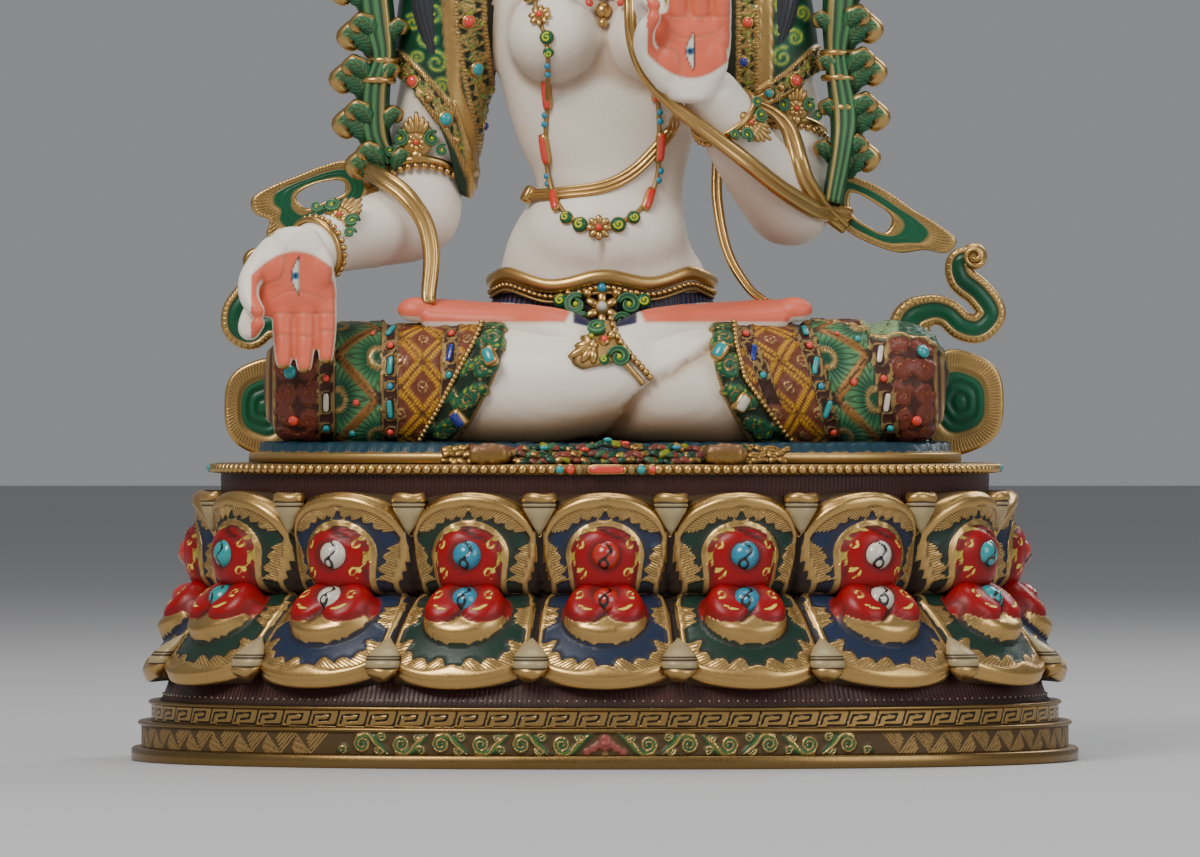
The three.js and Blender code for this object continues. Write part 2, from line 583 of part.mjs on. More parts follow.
// An open flower: a cup whose rim is scalloped into pointed petals, with a domed heart.
const FLOWER = { petals: 9, radius: 23, height: 27, heart: 11 };

function lotusFlower(x, y, z) {
  const count = FLOWER.petals * 2;
  const ring = (radius, height, scallop, droop) => Array.from({ length: count }, (_, i) => {
    const turn = (2 * Math.PI * i) / count;
    const tip = i % 2 === 0 ? 1 : 0;
    const out = radius + scallop * (tip - 0.5);
    return vec(x + Math.sin(turn) * out, y - Math.cos(turn) * out, z + height + droop * tip)
      .multiplyScalar(share);
  });
  const rings = [
    ring(3, 0, 0, 0), ring(14, 3, 2, 0), ring(FLOWER.radius - 3, 13, 4, 1),
    ring(FLOWER.radius - 2, 21, 7, 4), ring(FLOWER.heart + 2, 15, 2, 0),
  ];
  return loft(rings, undefined, vec(x, y, z + FLOWER.height).multiplyScalar(share));
}

function makeLotusStem(side) {
  const s = side === "left" ? -1 : 1;
  const stations = STEM[side];
  const edge = (z) => {
    const i = Math.max(1, stations.findIndex((station) => station[2] >= z));
    const t = (z - stations[i - 1][2]) / (stations[i][2] - stations[i - 1][2]);
    const halfWidth = mix(stations[i - 1][3], stations[i][3], t);
    return mix(stations[i - 1][0], stations[i][0], t) + s * halfWidth * 0.5;
  };
  const top = stations.at(-1);
  return biggest(join([
    limb(stations, { sides: 6 }),
    ...LEAF_CURLS[side].map((z) => leafCurl(s, edge(z), z, 8)),
    lotusFlower(top[0], top[1], top[2]),
  ]).subtract(figureRoom).subtract(join([scarf(side), scarf(side, FIT_GAP)])));
}

// Knee scrolls: a round scroll, and above it a lobe or wave that ends in a curl. A tongue behind the knee
// reaches from the wave's root to the back of the thigh and holds the scroll.
const SCROLL_DEPTH = 26;
const SCROLL_THICKNESS = 5;
const SCROLL_LEFT = {
  disc: [-137.6, 18, 16.5, 19.8],
  wave: [[-84, 30, 8], [-104, 30, 8], [-122, 35, 9], [-126, 50, 8], [-136, 52, 6.5], [-143, 47, 6],
    [-149, 50, 5.5], [-149, 57, 5.5], [-144, 64, 5.5], [-139, 71, 5], [-141, 77, 4]],
};
const SCROLL_RIGHT = {
  disc: [143, 20, 18.5, 21.3],
  wave: [[84, 30, 8], [104, 30, 8], [124, 34, 9.5], [123, 52, 8], [131, 57, 6.5], [138, 56, 6],
    [144, 51, 6], [151, 50, 6], [156, 56, 6], [151, 64, 6], [144, 70, 6], [143, 77, 5], [149, 79, 4]],
};

// The disc's edge is scalloped into a few lobes.
function makeKneeScroll({ disc: [x, z, halfX, halfZ], wave }) {
  const sides = 24;
  const edge = Array.from({ length: sides }, (_, i) => {
    const angle = (2 * Math.PI * i) / sides;
    const lobed = 1 + 0.035 * Math.cos(6 * angle);
    return [x + halfX * lobed * Math.cos(angle), z + halfZ * lobed * Math.sin(angle)];
  });
  const waved = wave.map(([wx, wz, half]) => [wx, SCROLL_DEPTH, wz, SCROLL_THICKNESS / 2, half]);
  return biggest(join([
    frontalPlate(edge, SCROLL_DEPTH, SCROLL_THICKNESS), limb(waved, { sides: 6, side: ACROSS_ARM }),
  ]).subtract(figureRoom));
}

const brass = (hex) => new THREE.MeshStandardMaterial({ color: hex, roughness: 0.35, metalness: 0.9 });
const paint = (hex) => new THREE.MeshStandardMaterial({ color: hex, roughness: 0.5, metalness: 0 });

function named(name, solid, material) {
  const mesh = new THREE.Mesh(geometryFrom(solid), material);
  mesh.name = name;
  return mesh;
}

const figure = new THREE.Group();
figure.position.z = seatLevel;
figure.add(
  named("tara", taraSolid, paint(0xe9e4dc)),
  named("crown", makeCrown(), brass(0xb8935a)),
  named("lotus_stem_left", makeLotusStem("left"), paint(0x2f6b4f)),
  named("lotus_stem_right", makeLotusStem("right"), paint(0x2f6b4f)),
  named("scarf_left", makeScarf("left"), brass(0xb8935a)),
  named("scarf_right", makeScarf("right"), brass(0xb8935a)),
  named("hanging_ribbon", makeHangingRibbon(), brass(0xb8935a)),
  named("knee_scroll_left", makeKneeScroll(SCROLL_LEFT), paint(0x2f6b4f)),
  named("knee_scroll_right", makeKneeScroll(SCROLL_RIGHT), paint(0x2f6b4f)),
);

const group = new THREE.Group();
group.add(named("lotus_base", makeLotusBase(), brass(0x9a7444)), figure);

export default group;
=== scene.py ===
"""Dresses the seated Tara on her double-lotus base: gilt, painted and inlaid surfaces over the frame."""
import math

import bpy
import numpy as np
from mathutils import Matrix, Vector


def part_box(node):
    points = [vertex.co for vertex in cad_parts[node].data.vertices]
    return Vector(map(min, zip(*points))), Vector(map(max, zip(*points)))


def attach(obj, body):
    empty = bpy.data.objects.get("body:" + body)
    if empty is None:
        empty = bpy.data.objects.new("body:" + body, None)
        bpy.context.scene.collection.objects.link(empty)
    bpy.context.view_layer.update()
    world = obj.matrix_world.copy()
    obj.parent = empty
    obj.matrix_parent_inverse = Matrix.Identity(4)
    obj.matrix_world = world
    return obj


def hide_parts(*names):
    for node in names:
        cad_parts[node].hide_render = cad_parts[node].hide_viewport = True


bl_info = {
    "name": "Seated Tara on a Lotus Base",
    "version": (1, 0, 0),
    "blender": (4, 5, 0),
    "location": "3D View > Sidebar > Tara",
    "description": "Builds the dressed figure, its petals, jewellery and inlay round the packed frame",
    "category": "Add Mesh",
}

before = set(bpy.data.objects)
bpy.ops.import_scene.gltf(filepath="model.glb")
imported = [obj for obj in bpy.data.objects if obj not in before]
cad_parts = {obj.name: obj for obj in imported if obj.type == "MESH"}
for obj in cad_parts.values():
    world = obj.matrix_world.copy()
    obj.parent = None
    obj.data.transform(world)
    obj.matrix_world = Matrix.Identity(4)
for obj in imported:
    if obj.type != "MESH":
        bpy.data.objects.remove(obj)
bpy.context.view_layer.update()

# Places come from the frame, in millimetres
MM = 0.001
TAU = 2 * math.pi
FAR = 9.0
HALF_WIDTH, HALF_DEPTH = np.array(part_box("lotus_base")[1])[:2] / MM
SEAT_PLATE = 4.0
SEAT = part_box("tara")[0][2] / MM + SEAT_PLATE
FOOT_TOP, SCROLL_TOP, FRET_TOP, WAIST = 5.2, 15.8, 24.0, 68.0


def linear(hex_code, gilt=0.0):
    """A hex colour as linear red, green and blue, with how gilt it is in the fourth place."""
    value = np.array([int(hex_code[i:i + 2], 16) for i in (0, 2, 4)]) / 255
    light = np.where(value <= 0.04045, value / 12.92, ((value + 0.055) / 1.055) ** 2.4)
    return np.append(light, gilt)


def shade(name, description, hex_code):
    """A colour that a user may change, its default given as a hex code."""
    return bpy.props.FloatVectorProperty(
        name=name, description=description, subtype="COLOR", size=3, min=0, max=1,
        default=tuple(linear(hex_code)[:3]))


def length(name, description, millimetres):
    """A length that a user may change, its default given in millimetres."""
    return bpy.props.FloatProperty(name=name, description=description, default=millimetres * MM, min=0,
                                   unit="LENGTH", precision=4)


class TaraColours(bpy.types.PropertyGroup):
    """Colours of the metal, the paint and the stones."""
    gold: shade("Gold", "Antique gilding on the cast metal", "CBA566")
    bronze: shade("Bronze", "Plain darker metal of the foot and the seat plate", "8F7347")
    ivory: shade("Ivory", "Painted skin", "F2E9DA")
    salmon: shade("Salmon", "Palms and soles", "E2694D")
    red: shade("Red", "Lobes on the petals", "970D14")
    blue: shade("Blue ground", "Ground of every second petal", "222E46")
    green: shade("Green ground", "Ground of the petals between", "1C352A")
    leaf: shade("Leaf green", "Shawl, scarf ends, scrolls and stems", "1F6444")
    pale: shade("Pale green", "Highlights painted on the leaves", "86B470")
    lime: shade("Lime", "Yellow-green scrolls", "C2C828")
    maroon: shade("Maroon", "Grooved necks of the base", "43221E")
    brocade: shade("Brocade red", "Ground of the patterned sleeves", "74392B")
    rust: shade("Rust", "Warm parts of the brocade", "B4632F")
    turquoise: shade("Turquoise", "Green-blue stones", "149497")
    sky: shade("Sky stone", "Bluer stones", "1D86A4")
    coral: shade("Coral", "Coral beads and bars", "DA3F2B")
    lapis: shade("Lapis", "Deep blue stones and the skirt", "1B2C88")
    shell: shade("Shell", "White stones and cream sepals", "CFC8B8")
    hair: shade("Hair", "Strands over the shoulders", "35393F")
    # Dark is also painted as shade at the base's waist, between the petals and in their corners.
    dark: shade("Dark", "Ground deep in the ornament", "14100D")


class TaraSizes(bpy.types.PropertyGroup):
    """Sizes of the relief that stands on the frame's forms."""
    knob: length("Knob height", "How far the lower petals' red knobs stand up", 6.4)
    lobe: length("Lobe height", "How far the upper petals' red lobes stand out", 5.0)
    stone: length("Petal stone", "Radius of the stones set in the petals", 5.6)
    rim: length("Rim height", "How far a petal's gilt rim stands out", 1.5)
    rail_bead: length("Rail bead", "Radius of the beads round the deck", 1.8)


def tone(name):
    """One of the colours, with its gilding: gold and bronze are metal and the others are paint."""
    return np.append(np.array(getattr(bpy.context.scene.tara_colours, name)),
                     float(name in ("gold", "bronze")))


def size(name):
    """One of the sizes, in millimetres."""
    return getattr(bpy.context.scene.tara_sizes, name) / MM


# Smooth profiles of one number

def step(value, low, high):
    """0 below low, 1 above high, and a smooth cubic between."""
    t = np.clip((value - low) / (high - low), 0, 1)
    return t * t * (3 - 2 * t)


def plateau(value, low, high, soft):
    """1 between low and high, fading to 0 over soft on each side."""
    return step(value, low - soft, low + soft) * (1 - step(value, high - soft, high + soft))


def bell(value, middle, width):
    """The bell curve: e to the minus square of the offset over the width."""
    return np.exp(-((value - middle) / width) ** 2)


def dome(value):
    """A quarter circle: 0 at 0 rising to 1 at 1 and beyond."""
    return np.sqrt(np.clip(1 - (1 - np.clip(value, 0, 1)) ** 2, 0, 1))


def signed_power(value, exponent):
    """The value's size raised to a power, with its sign kept."""
    return np.sign(value) * np.abs(value) ** exponent


def curve_at(points, t):
    """Catmull-Rom curve through the rows of points, read at shares t of the way from first to last."""
    knots = np.asarray(points, float)
    padded = np.vstack([2 * knots[0] - knots[1], knots, 2 * knots[-1] - knots[-2]])
    t = np.asarray(t, float) * (len(knots) - 1)
    i = np.clip(t.astype(int), 0, len(knots) - 2)
    f = (t - i)[:, None]
    a, b, c, d = (padded[i + k] for k in range(4))
    return 0.5 * (2 * b + (c - a) * f + (2 * a - 5 * b + 4 * c - d) * f ** 2
                  + (3 * b - a - 3 * c + d) * f ** 3)


def turns(count, shift=0):
    """Even turns round a circle, moved on by a share of a step."""
    return TAU * (np.arange(count) + shift) / count


def rows_of(*parts):
    """Points or faces whose parts, such as x, y and z, are given one by one."""
    return np.stack(np.broadcast_arrays(*parts), axis=-1)


def unit(vectors):
    """Vectors divided by their own length."""
    return vectors / np.maximum(np.linalg.norm(vectors, axis=-1, keepdims=True), 1e-9)


def outward(turn):
    """The level direction at a turn from the front: sine, minus cosine and 0."""
    return rows_of(np.sin(turn), -np.cos(turn), 0)


def only(where, gap):
    """The gap where the condition holds, and far away elsewhere."""
    return np.where(where, gap, FAR)


def run_along(path):
    """Length from a path's first point to each of its points."""
    return np.append(0, np.cumsum(np.linalg.norm(np.diff(path, axis=0), axis=1)))


def evenly(rows, along, count, closed=False):
    """A path's rows read again at even steps of its length; a closed one stops a step before its end."""
    wanted = np.linspace(0, along[-1], count, endpoint=not closed)
    return rows_of(*(np.interp(wanted, along, column) for column in rows.T))


def spline(points, count):
    """Points of a Catmull-Rom curve through the given rows, count of them, evenly spaced along it."""
    dense = curve_at(points, np.linspace(0, 1, max(count * 4, 64)))
    return evenly(dense, run_along(dense[:, :3]), count)


# Surfaces: points and faces, with what the finishes read at each point

CAST, STONE, SKIN = "aged cast and paint", "polished stone", "ivory skin"
UP, FRONT, ACROSS_ARM, ACROSS = (0.0, 0.0, 1.0), (0, -1, 0), (0.0, 1.0, 0.0), (1.0, 0.0, 0.0)
FACTS = {"paint": 4, "overlay": 4, "line": 0, "recess": 0, "hatch": 0, "engrave": 0}


def fact_default(name):
    """What a point has where nothing is said: gold, with no line, recess or engraving."""
    return tone("gold") if FACTS[name] else FAR * (name == "line")


class Surface:
    """A closed skin in millimetres, its faces turned outward by the sign of its volume."""

    def __init__(self, points, faces, finish=CAST, **facts):
        self.points = np.asarray(points, float)
        self.faces = faces if isinstance(faces, list) else [faces]
        self.finish = finish
        self.facts = {}
        self.say(**{name: facts.get(name, fact_default(name)) for name in FACTS})
        if self.volume() < 0:
            self.faces = [face[:, ::-1] for face in self.faces]

    def say(self, **facts):
        """Sets what the finishes read, either point by point or the same all over."""
        for name, value in facts.items():
            shape = (len(self.points), 4) if FACTS[name] else (len(self.points),)
            self.facts[name] = np.broadcast_to(np.asarray(value, float), shape)
        return self

    def volume(self):
        """A sixth of the sum of every triangle's corner product."""
        total = 0.0
        for face in self.faces:
            for k in range(1, face.shape[1] - 1):
                a, b, c = (self.points[face[:, i]] for i in (0, k, k + 1))
                total += np.einsum("ij,ij->i", a, np.cross(b, c)).sum()
        return total / 6


def grid_faces(rows, columns, wrap_rows=False, wrap_columns=False):
    """Quads between neighbours of a rows by columns grid; a wrap joins the last back to the first."""
    r = np.arange(rows if wrap_rows else rows - 1)[:, None]
    c = np.arange(columns if wrap_columns else columns - 1)[None, :]
    r2, c2 = (r + 1) % rows, (c + 1) % columns
    quads = rows_of(r * columns + c, r * columns + c2, r2 * columns + c2, r2 * columns + c)
    return quads.reshape(-1, 4)


def fan(hub, ring, flip=False):
    """Triangles from one point to a closed ring of points."""
    after = np.roll(ring, -1)
    hubs = np.full(len(ring), hub)
    return np.stack([hubs, after, ring] if flip else [hubs, ring, after], axis=1)


def closed_grid(points, finish=CAST, **facts):
    """A skin through closed rings of points (rings, around, 3), each end closed by a fan to its middle."""
    rings, columns = points.shape[:2]
    ends = np.stack([points[0].mean(axis=0), points[-1].mean(axis=0)])
    faces = [grid_faces(rings, columns, wrap_columns=True),
             fan(rings * columns, np.arange(columns), flip=True),
             fan(rings * columns + 1, np.arange(columns) + (rings - 1) * columns)]
    for name, value in facts.items():
        value = np.asarray(value, float)
        if value.ndim > 1 or (value.ndim == 1 and FACTS[name] == 0):
            width = (4,) if FACTS[name] else ()
            value = np.broadcast_to(value, (rings, columns) + width)
            caps = np.stack([value[0].mean(axis=0), value[-1].mean(axis=0)])
            facts[name] = np.concatenate([value.reshape((-1,) + width), caps])
    return Surface(np.concatenate([points.reshape(-1, 3), ends]), faces, finish, **facts)


def ring_skin(points, **facts):
    """A skin closed both ways, like a hoop: rings of points joined last to first."""
    rows, columns = points.shape[:2]
    for name, value in facts.items():
        if np.ndim(value) > 1:
            width = (4,) if FACTS[name] else ()
            facts[name] = np.broadcast_to(value, (rows, columns) + width).reshape((-1,) + width)
    return Surface(points.reshape(-1, 3), grid_faces(rows, columns, True, True), **facts)


def frames(path, side):
    """Across and up vectors along a path, square to it and turned by the side vector."""
    along = unit(np.gradient(path, axis=0))
    up = unit(np.cross(along, np.asarray(side, float)))
    return np.cross(up, along), up


def tube(path, radius, sides=8, side=ACROSS_ARM, **facts):
    """A circle carried along a path: radius times cosine across and sine up."""
    path = np.asarray(path, float)
    radius = np.broadcast_to(radius, (len(path),))
    across, up = frames(path, side)
    angle = turns(sides, 0.5)
    ring = across[:, None] * np.cos(angle)[:, None] + up[:, None] * np.sin(angle)[:, None]
    return closed_grid(path[:, None] + ring * radius[:, None, None], **facts)


def ball(centre, radii, columns=10, rows=6, axes=None, power=1.0, finish=CAST, **facts):
    """An ellipsoid from sines and cosines times three radii; a power under 1 makes it squarer."""
    lat = np.pi * np.arange(1, rows) / rows - np.pi / 2
    lon = turns(columns, 0.5)
    level_circle = signed_power(np.cos(lat), power)[:, None]
    height = signed_power(np.sin(lat), power)[:, None]
    unit = rows_of(level_circle * signed_power(np.cos(lon), power),
                   level_circle * signed_power(np.sin(lon), power), height)
    unit = np.concatenate([unit.reshape(-1, 3), [[0, 0, -1.0], [0, 0, 1.0]]]) * np.asarray(radii, float)
    axes = np.eye(3) if axes is None else np.asarray(axes, float)
    count = (rows - 1) * columns
    faces = [grid_faces(rows - 1, columns, wrap_columns=True), fan(count, np.arange(columns), flip=True),
             fan(count + 1, np.arange(columns) + (rows - 2) * columns)]
    return Surface(unit @ axes + np.asarray(centre, float), faces, finish, **facts)


def copies(piece, places, axes, scales=None, paints=None):
    """One small surface set at many places: axes holds three rows a place, paints a colour a place."""
    places, axes = np.asarray(places, float), np.asarray(axes, float)
    scales = np.ones(len(places)) if scales is None else np.asarray(scales, float)
    points = np.einsum("pk,nkj->npj", piece.points, axes) * scales[:, None, None] + places[:, None]
    shift = np.arange(len(places))[:, None, None] * len(piece.points)
    faces = [(face[None] + shift).reshape(-1, face.shape[1]) for face in piece.faces]
    facts = {name: np.tile(value, (len(places), 1) if FACTS[name] else len(places))
             for name, value in piece.facts.items()}
    if paints is not None:
        facts["paint"] = np.repeat(np.asarray(paints, float), len(piece.points), axis=0)
    return Surface(points.reshape(-1, 3), faces, piece.finish, **facts)


def numbered_on(surfaces):
    """Each surface's faces, numbered on through the points of all the surfaces before it."""
    starts = np.append(0, np.cumsum([len(surface.points) for surface in surfaces]))
    return [[face + start for face in surface.faces] for surface, start in zip(surfaces, starts)]


def build(name, surfaces, replaces=(), level=0.0):
    """Makes one object of several surfaces, in metres, with attributes, finishes and body."""
    finishes = sorted({surface.finish for surface in surfaces})
    polygons, slots = [], []
    for surface, faces in zip(surfaces, numbered_on(surfaces)):
        for face in faces:
            polygons.extend(face.tolist())
            slots.extend([finishes.index(surface.finish)] * len(face))
    mesh = bpy.data.meshes.new(name)
    points = np.concatenate([surface.points for surface in surfaces]) + (0, 0, level)
    mesh.from_pydata(points * MM, [], polygons)
    for finish in finishes:
        mesh.materials.append(bpy.data.materials[finish])
    mesh.polygons.foreach_set("material_index", slots)
    mesh.polygons.foreach_set("use_smooth", [True] * len(slots))
    for fact, width in FACTS.items():
        values = np.concatenate([surface.facts[fact] for surface in surfaces])
        kind, field = ("FLOAT_COLOR", "color") if width else ("FLOAT", "value")
        mesh.attributes.new(fact, kind, "POINT").data.foreach_set(field, np.ravel(values))
    mesh.update()
    piece = bpy.data.objects.new(name, mesh)
    bpy.context.scene.collection.objects.link(piece)
    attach(piece, "root")
    if replaces:
        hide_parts(*replaces)


def on_seat(name, surfaces, replaces=()):
    """A piece of the figure, lifted to its seat."""
    build(name, surfaces, replaces, SEAT)


# Finishes

class Wiring:
    """Adds nodes to a tree, laid out in rows, and links them."""

    def __init__(self, tree):
        self.tree = tree

    def put(self, kind, **inputs):
        """A new node, its sockets linked to the given sockets or set to the given values."""
        made = self.tree.nodes.new(kind)
        made.location = 200 * (len(self.tree.nodes) % 9), -240 * (len(self.tree.nodes) // 9)
        for key, value in inputs.items():
            self.feed(made.inputs[key], value)
        return made

    def feed(self, socket, value):
        """Links a socket to another, or sets a plain value on it."""
        if isinstance(value, bpy.types.NodeSocket):
            self.tree.links.new(value, socket)
        else:
            socket.default_value = value

    def mix(self, factor, first, second, blend="MIX"):
        """A mix of two colours."""
        made = self.put("ShaderNodeMix")
        made.data_type, made.blend_type = "RGBA", blend
        for place, value in ((0, factor), (6, first), (7, second)):
            self.feed(made.inputs[place], value)
        return made.outputs[2]

    def maths(self, operation, first, second=0.0, clamp=False):
        """A maths node; clamp keeps its result between 0 and 1."""
        made = self.put("ShaderNodeMath")
        made.operation, made.use_clamp = operation, clamp
        self.feed(made.inputs[0], first)
        self.feed(made.inputs[1], second)
        return made.outputs[0]

    def ramp(self, value, low, high):
        """A value brought smoothly from 0 at low to 1 at high."""
        made = self.put("ShaderNodeMapRange", **{"Value": value, "From Min": low, "From Max": high})
        made.interpolation_type = "SMOOTHSTEP"
        return made.outputs["Result"]

    def noise(self, where, scale):
        """A noise texture read at the given coordinates."""
        return self.put("ShaderNodeTexNoise", Vector=where, Scale=scale, Detail=4,
                        Roughness=0.6).outputs["Fac"]


GROUP_INPUTS = (("Paint", "Color", (0.8, 0.8, 0.8, 1)), ("Gilt", "Float", 0.0),
                ("Overlay", "Color", (0.8, 0.6, 0.3, 1)), ("Overlay gilt", "Float", 0.0),
                ("Line", "Float", FAR),
                ("Recess", "Float", 0.0), ("Hatch", "Float", 0.0), ("Engrave", "Float", 0.0),
                ("Grime", "Color", (0.05, 0.03, 0.02, 1)), ("Grime amount", "Float", 0.8),
                ("Mottle", "Float", 0.25), ("Gloss", "Float", 0.5))


def aged_surface_group():
    """Shared by every finish: crisp lines and engraving, dirt and painted shade in recesses, worn metal, fine
    grain.
    """
    tree = bpy.data.node_groups.new("Aged surface", "ShaderNodeTree")
    for name, kind, value in GROUP_INPUTS:
        socket = tree.interface.new_socket(name, in_out="INPUT", socket_type="NodeSocket" + kind)
        socket.default_value = value
    for name, kind in (("Colour", "Color"), ("Metal", "Float"), ("Roughness", "Float"), ("Normal", "Vector")):
        tree.interface.new_socket(name, in_out="OUTPUT", socket_type="NodeSocket" + kind)
    wiring = Wiring(tree)
    maths, mix = wiring.maths, wiring.mix
    given = wiring.put("NodeGroupInput").outputs
    where = wiring.put("ShaderNodeTexCoord").outputs["Object"]
    broad, fine = wiring.noise(where, 60), wiring.noise(where, 850)
    drawn = maths("SUBTRACT", 1.0, wiring.ramp(given["Line"], -0.14, 0.14))
    colour = mix(drawn, given["Paint"], given["Overlay"])
    undrawn = maths("SUBTRACT", 1.0, drawn)
    gilt = maths("ADD", maths("MULTIPLY", given["Gilt"], undrawn),
                 maths("MULTIPLY", given["Overlay gilt"], drawn))
    saw = maths("FRACT", given["Hatch"])
    wave = maths("ABSOLUTE", maths("SUBTRACT", saw, 0.5))
    groove = maths("SUBTRACT", 1.0, wiring.ramp(wave, 0.05, 0.24))
    cut = maths("MULTIPLY", groove, given["Engrave"])
    stain = maths("MULTIPLY", maths("SUBTRACT", broad, 0.45), 2.4, True)
    spread = maths("MULTIPLY", stain, given["Mottle"])
    # Recess and engraving darken towards the dirt-and-shade colour: partly dirt and patina, partly painted
    # shade in gaps, hollows and undersides.
    deep = maths("MAXIMUM", given["Recess"], maths("MULTIPLY", cut, 0.75))
    grime = maths("ADD", maths("MULTIPLY", deep, given["Grime amount"]), spread, True)
    toned = mix(maths("MULTIPLY", fine, 0.28), colour, (0.45, 0.45, 0.45, 1), "MULTIPLY")
    final = mix(grime, toned, given["Grime"])
    metal = maths("MULTIPLY", gilt, maths("SUBTRACT", 1.0, grime))
    dull = maths("MULTIPLY", grime, 0.4)
    base = maths("SUBTRACT", 0.68, maths("MULTIPLY", given["Gloss"], 0.5))
    grain = maths("MULTIPLY", maths("SUBTRACT", fine, 0.5), 0.25)
    rough = maths("ADD", maths("ADD", dull, base), grain, True)
    side = maths("SUBTRACT", maths("MULTIPLY", given["Overlay gilt"], 2.0), 1.0)
    raised = maths("ADD", maths("MULTIPLY", drawn, side), maths("MULTIPLY", fine, 0.12))
    relief = maths("SUBTRACT", raised, maths("MULTIPLY", cut, 0.9))
    bump = wiring.put("ShaderNodeBump", Strength=0.8, Distance=0.00032, Height=relief)
    wiring.put("NodeGroupOutput", Colour=final, Metal=metal, Roughness=rough, Normal=bump.outputs[0])
    return tree


FACT_SOCKETS = (("paint", "Color", "Paint"), ("paint", "Alpha", "Gilt"), ("overlay", "Color", "Overlay"),
                ("overlay", "Alpha", "Overlay gilt"), ("line", "Fac", "Line"), ("recess", "Fac", "Recess"),
                ("hatch", "Fac", "Hatch"), ("engrave", "Fac", "Engrave"))


def finish_material(name, group, coat=0.0, shine=0.5, **values):
    """One finish: what its points carry goes through the aged surface into a plain shader."""
    material = bpy.data.materials.new(name)
    material.use_nodes = True
    tree = material.node_tree
    shader = tree.nodes["Principled BSDF"]
    shader.inputs["Coat Weight"].default_value = coat
    shader.inputs["Specular IOR Level"].default_value = shine
    shader.inputs["Coat Roughness"].default_value = 0.12
    wiring = Wiring(tree)
    aged = wiring.put("ShaderNodeGroup")
    aged.node_tree = group
    for label, value in values.items():
        aged.inputs[label.replace("_", " ").capitalize()].default_value = value
    for fact, output, label in FACT_SOCKETS:
        source = wiring.put("ShaderNodeAttribute")
        source.attribute_name = fact
        wiring.feed(aged.inputs[label], source.outputs[output])
    for output, socket in (("Colour", "Base Color"), ("Metal", "Metallic"), ("Roughness", "Roughness"),
                           ("Normal", "Normal")):
        wiring.feed(shader.inputs[socket], aged.outputs[output])
    return material


def make_finishes():
    """The finishes by name: aged cast with paint, polished stone, ivory skin."""
    group = aged_surface_group()
    finish_material(CAST, group, shine=0.26, gloss=0.76, mottle=0.2, grime=(0.026, 0.015, 0.01, 1),
                    grime_amount=0.92)
    finish_material(STONE, group, coat=0.6, gloss=0.85, mottle=0.08, grime_amount=0.7)
    finish_material(SKIN, group, shine=0.4, gloss=0.5, mottle=0.03, grime=(0.33, 0.17, 0.07, 1),
                    grime_amount=0.7)


# Ornament on a flat pattern, in millimetres

GAP_REACH = 14.0


def gap_to(points, strokes):
    """Distance from each flat point to the nearest stroke, less the stroke's own half width."""
    best = np.full(len(points), GAP_REACH)
    for stroke in strokes:
        line, half = stroke[:, :2], stroke[:, 2]
        low, high = line.min(axis=0) - GAP_REACH, line.max(axis=0) + GAP_REACH
        near = np.nonzero(np.all((points > low) & (points < high), axis=1))[0]
        for part in np.array_split(near, max(1, len(near) * len(line) // 3000000)):
            away = np.hypot(points[part, 0, None] - line[:, 0], points[part, 1, None] - line[:, 1]) - half
            best[part] = np.minimum(best[part], away.min(axis=1, initial=GAP_REACH))
    return best


def oval_gap(points, x, y, half_x, half_y):
    """Rough distance to an ellipse's edge, negative inside it."""
    return (np.hypot((points[:, 0] - x) / half_x, (points[:, 1] - y) / half_y) - 1) * min(half_x, half_y)


def coil(x, y, radius, start, turns, half=0.5, count=36):
    """A spiral stroke: its radius shrinks evenly to a sixth while it turns, and it thins."""
    t = np.linspace(0, 1, count)
    angle = start + TAU * turns * t
    reach = radius * (1 - 0.84 * t)
    return rows_of(x + reach * np.cos(angle), y + reach * np.sin(angle), half * (1 - 0.4 * t))


def stroke(points, half=0.5, count=24):
    """A smooth stroke through flat points, thinner at its ends."""
    line = spline([(x, y, 0.0) for x, y in points], count)
    line[:, 2] = half * (0.5 + 0.5 * np.sin(np.linspace(0.3, np.pi - 0.3, count)))
    return line


def mirrored(strokes):
    """The strokes with their mirror images across x = 0."""
    return list(strokes) + [line * (-1, 1, 1) for line in strokes]


class Ornament:
    """Paint, lines and relief gathered over flat points."""

    def __init__(self, points, ground):
        self.points = np.reshape(points, (-1, 2))
        count = len(self.points)
        self.paint = np.tile(ground, (count, 1))
        self.overlay = np.tile(tone("gold"), (count, 1))
        self.line = np.full(count, FAR)
        self.height, self.recess, self.hatch, self.engrave = (np.zeros(count) for _ in range(4))

    def fill(self, gap, colour, raised=0.0, soft=0.35, recess=None):
        """Paints, and raises, where the gap is negative, soft over its edge."""
        inside = 1 - step(gap, -soft, soft)
        self.paint = self.paint + (colour - self.paint) * inside[:, None]
        self.height = self.height + raised * inside
        if recess is not None:
            self.recess = self.recess + (recess - self.recess) * inside

    def add_dirt_and_shade(self, amount):
        """Deepens the recess, which paints dirt and shade, to at least the given amount."""
        self.recess = np.maximum(self.recess, amount)

    def change(self, where, **values):
        """Gives the points where the condition holds other values."""
        for name, value in values.items():
            old = getattr(self, name)
            setattr(self, name, np.where(where[:, None] if old.ndim > 1 else where, value, old))

    def trace(self, gap, colour=None):
        """Lays a crisp line, gold unless a colour is given, where the gap is negative."""
        nearer = gap < self.line
        self.line = np.where(nearer, gap, self.line)
        self.overlay[nearer] = tone("gold") if colour is None else colour

    def facts(self, shape):
        """What the finishes read, laid out in the given grid's rows and columns."""
        return {name: getattr(self, name).reshape(tuple(shape) + ((4,) if width else ()))
                for name, width in FACTS.items()}


# The base's plan

PLAN_SQUARENESS, FRONT_LEAN, PETALS = 2.3, 0.75, 16
FRONT_SHARE, PLAN_INSET = 0.31, 36.0


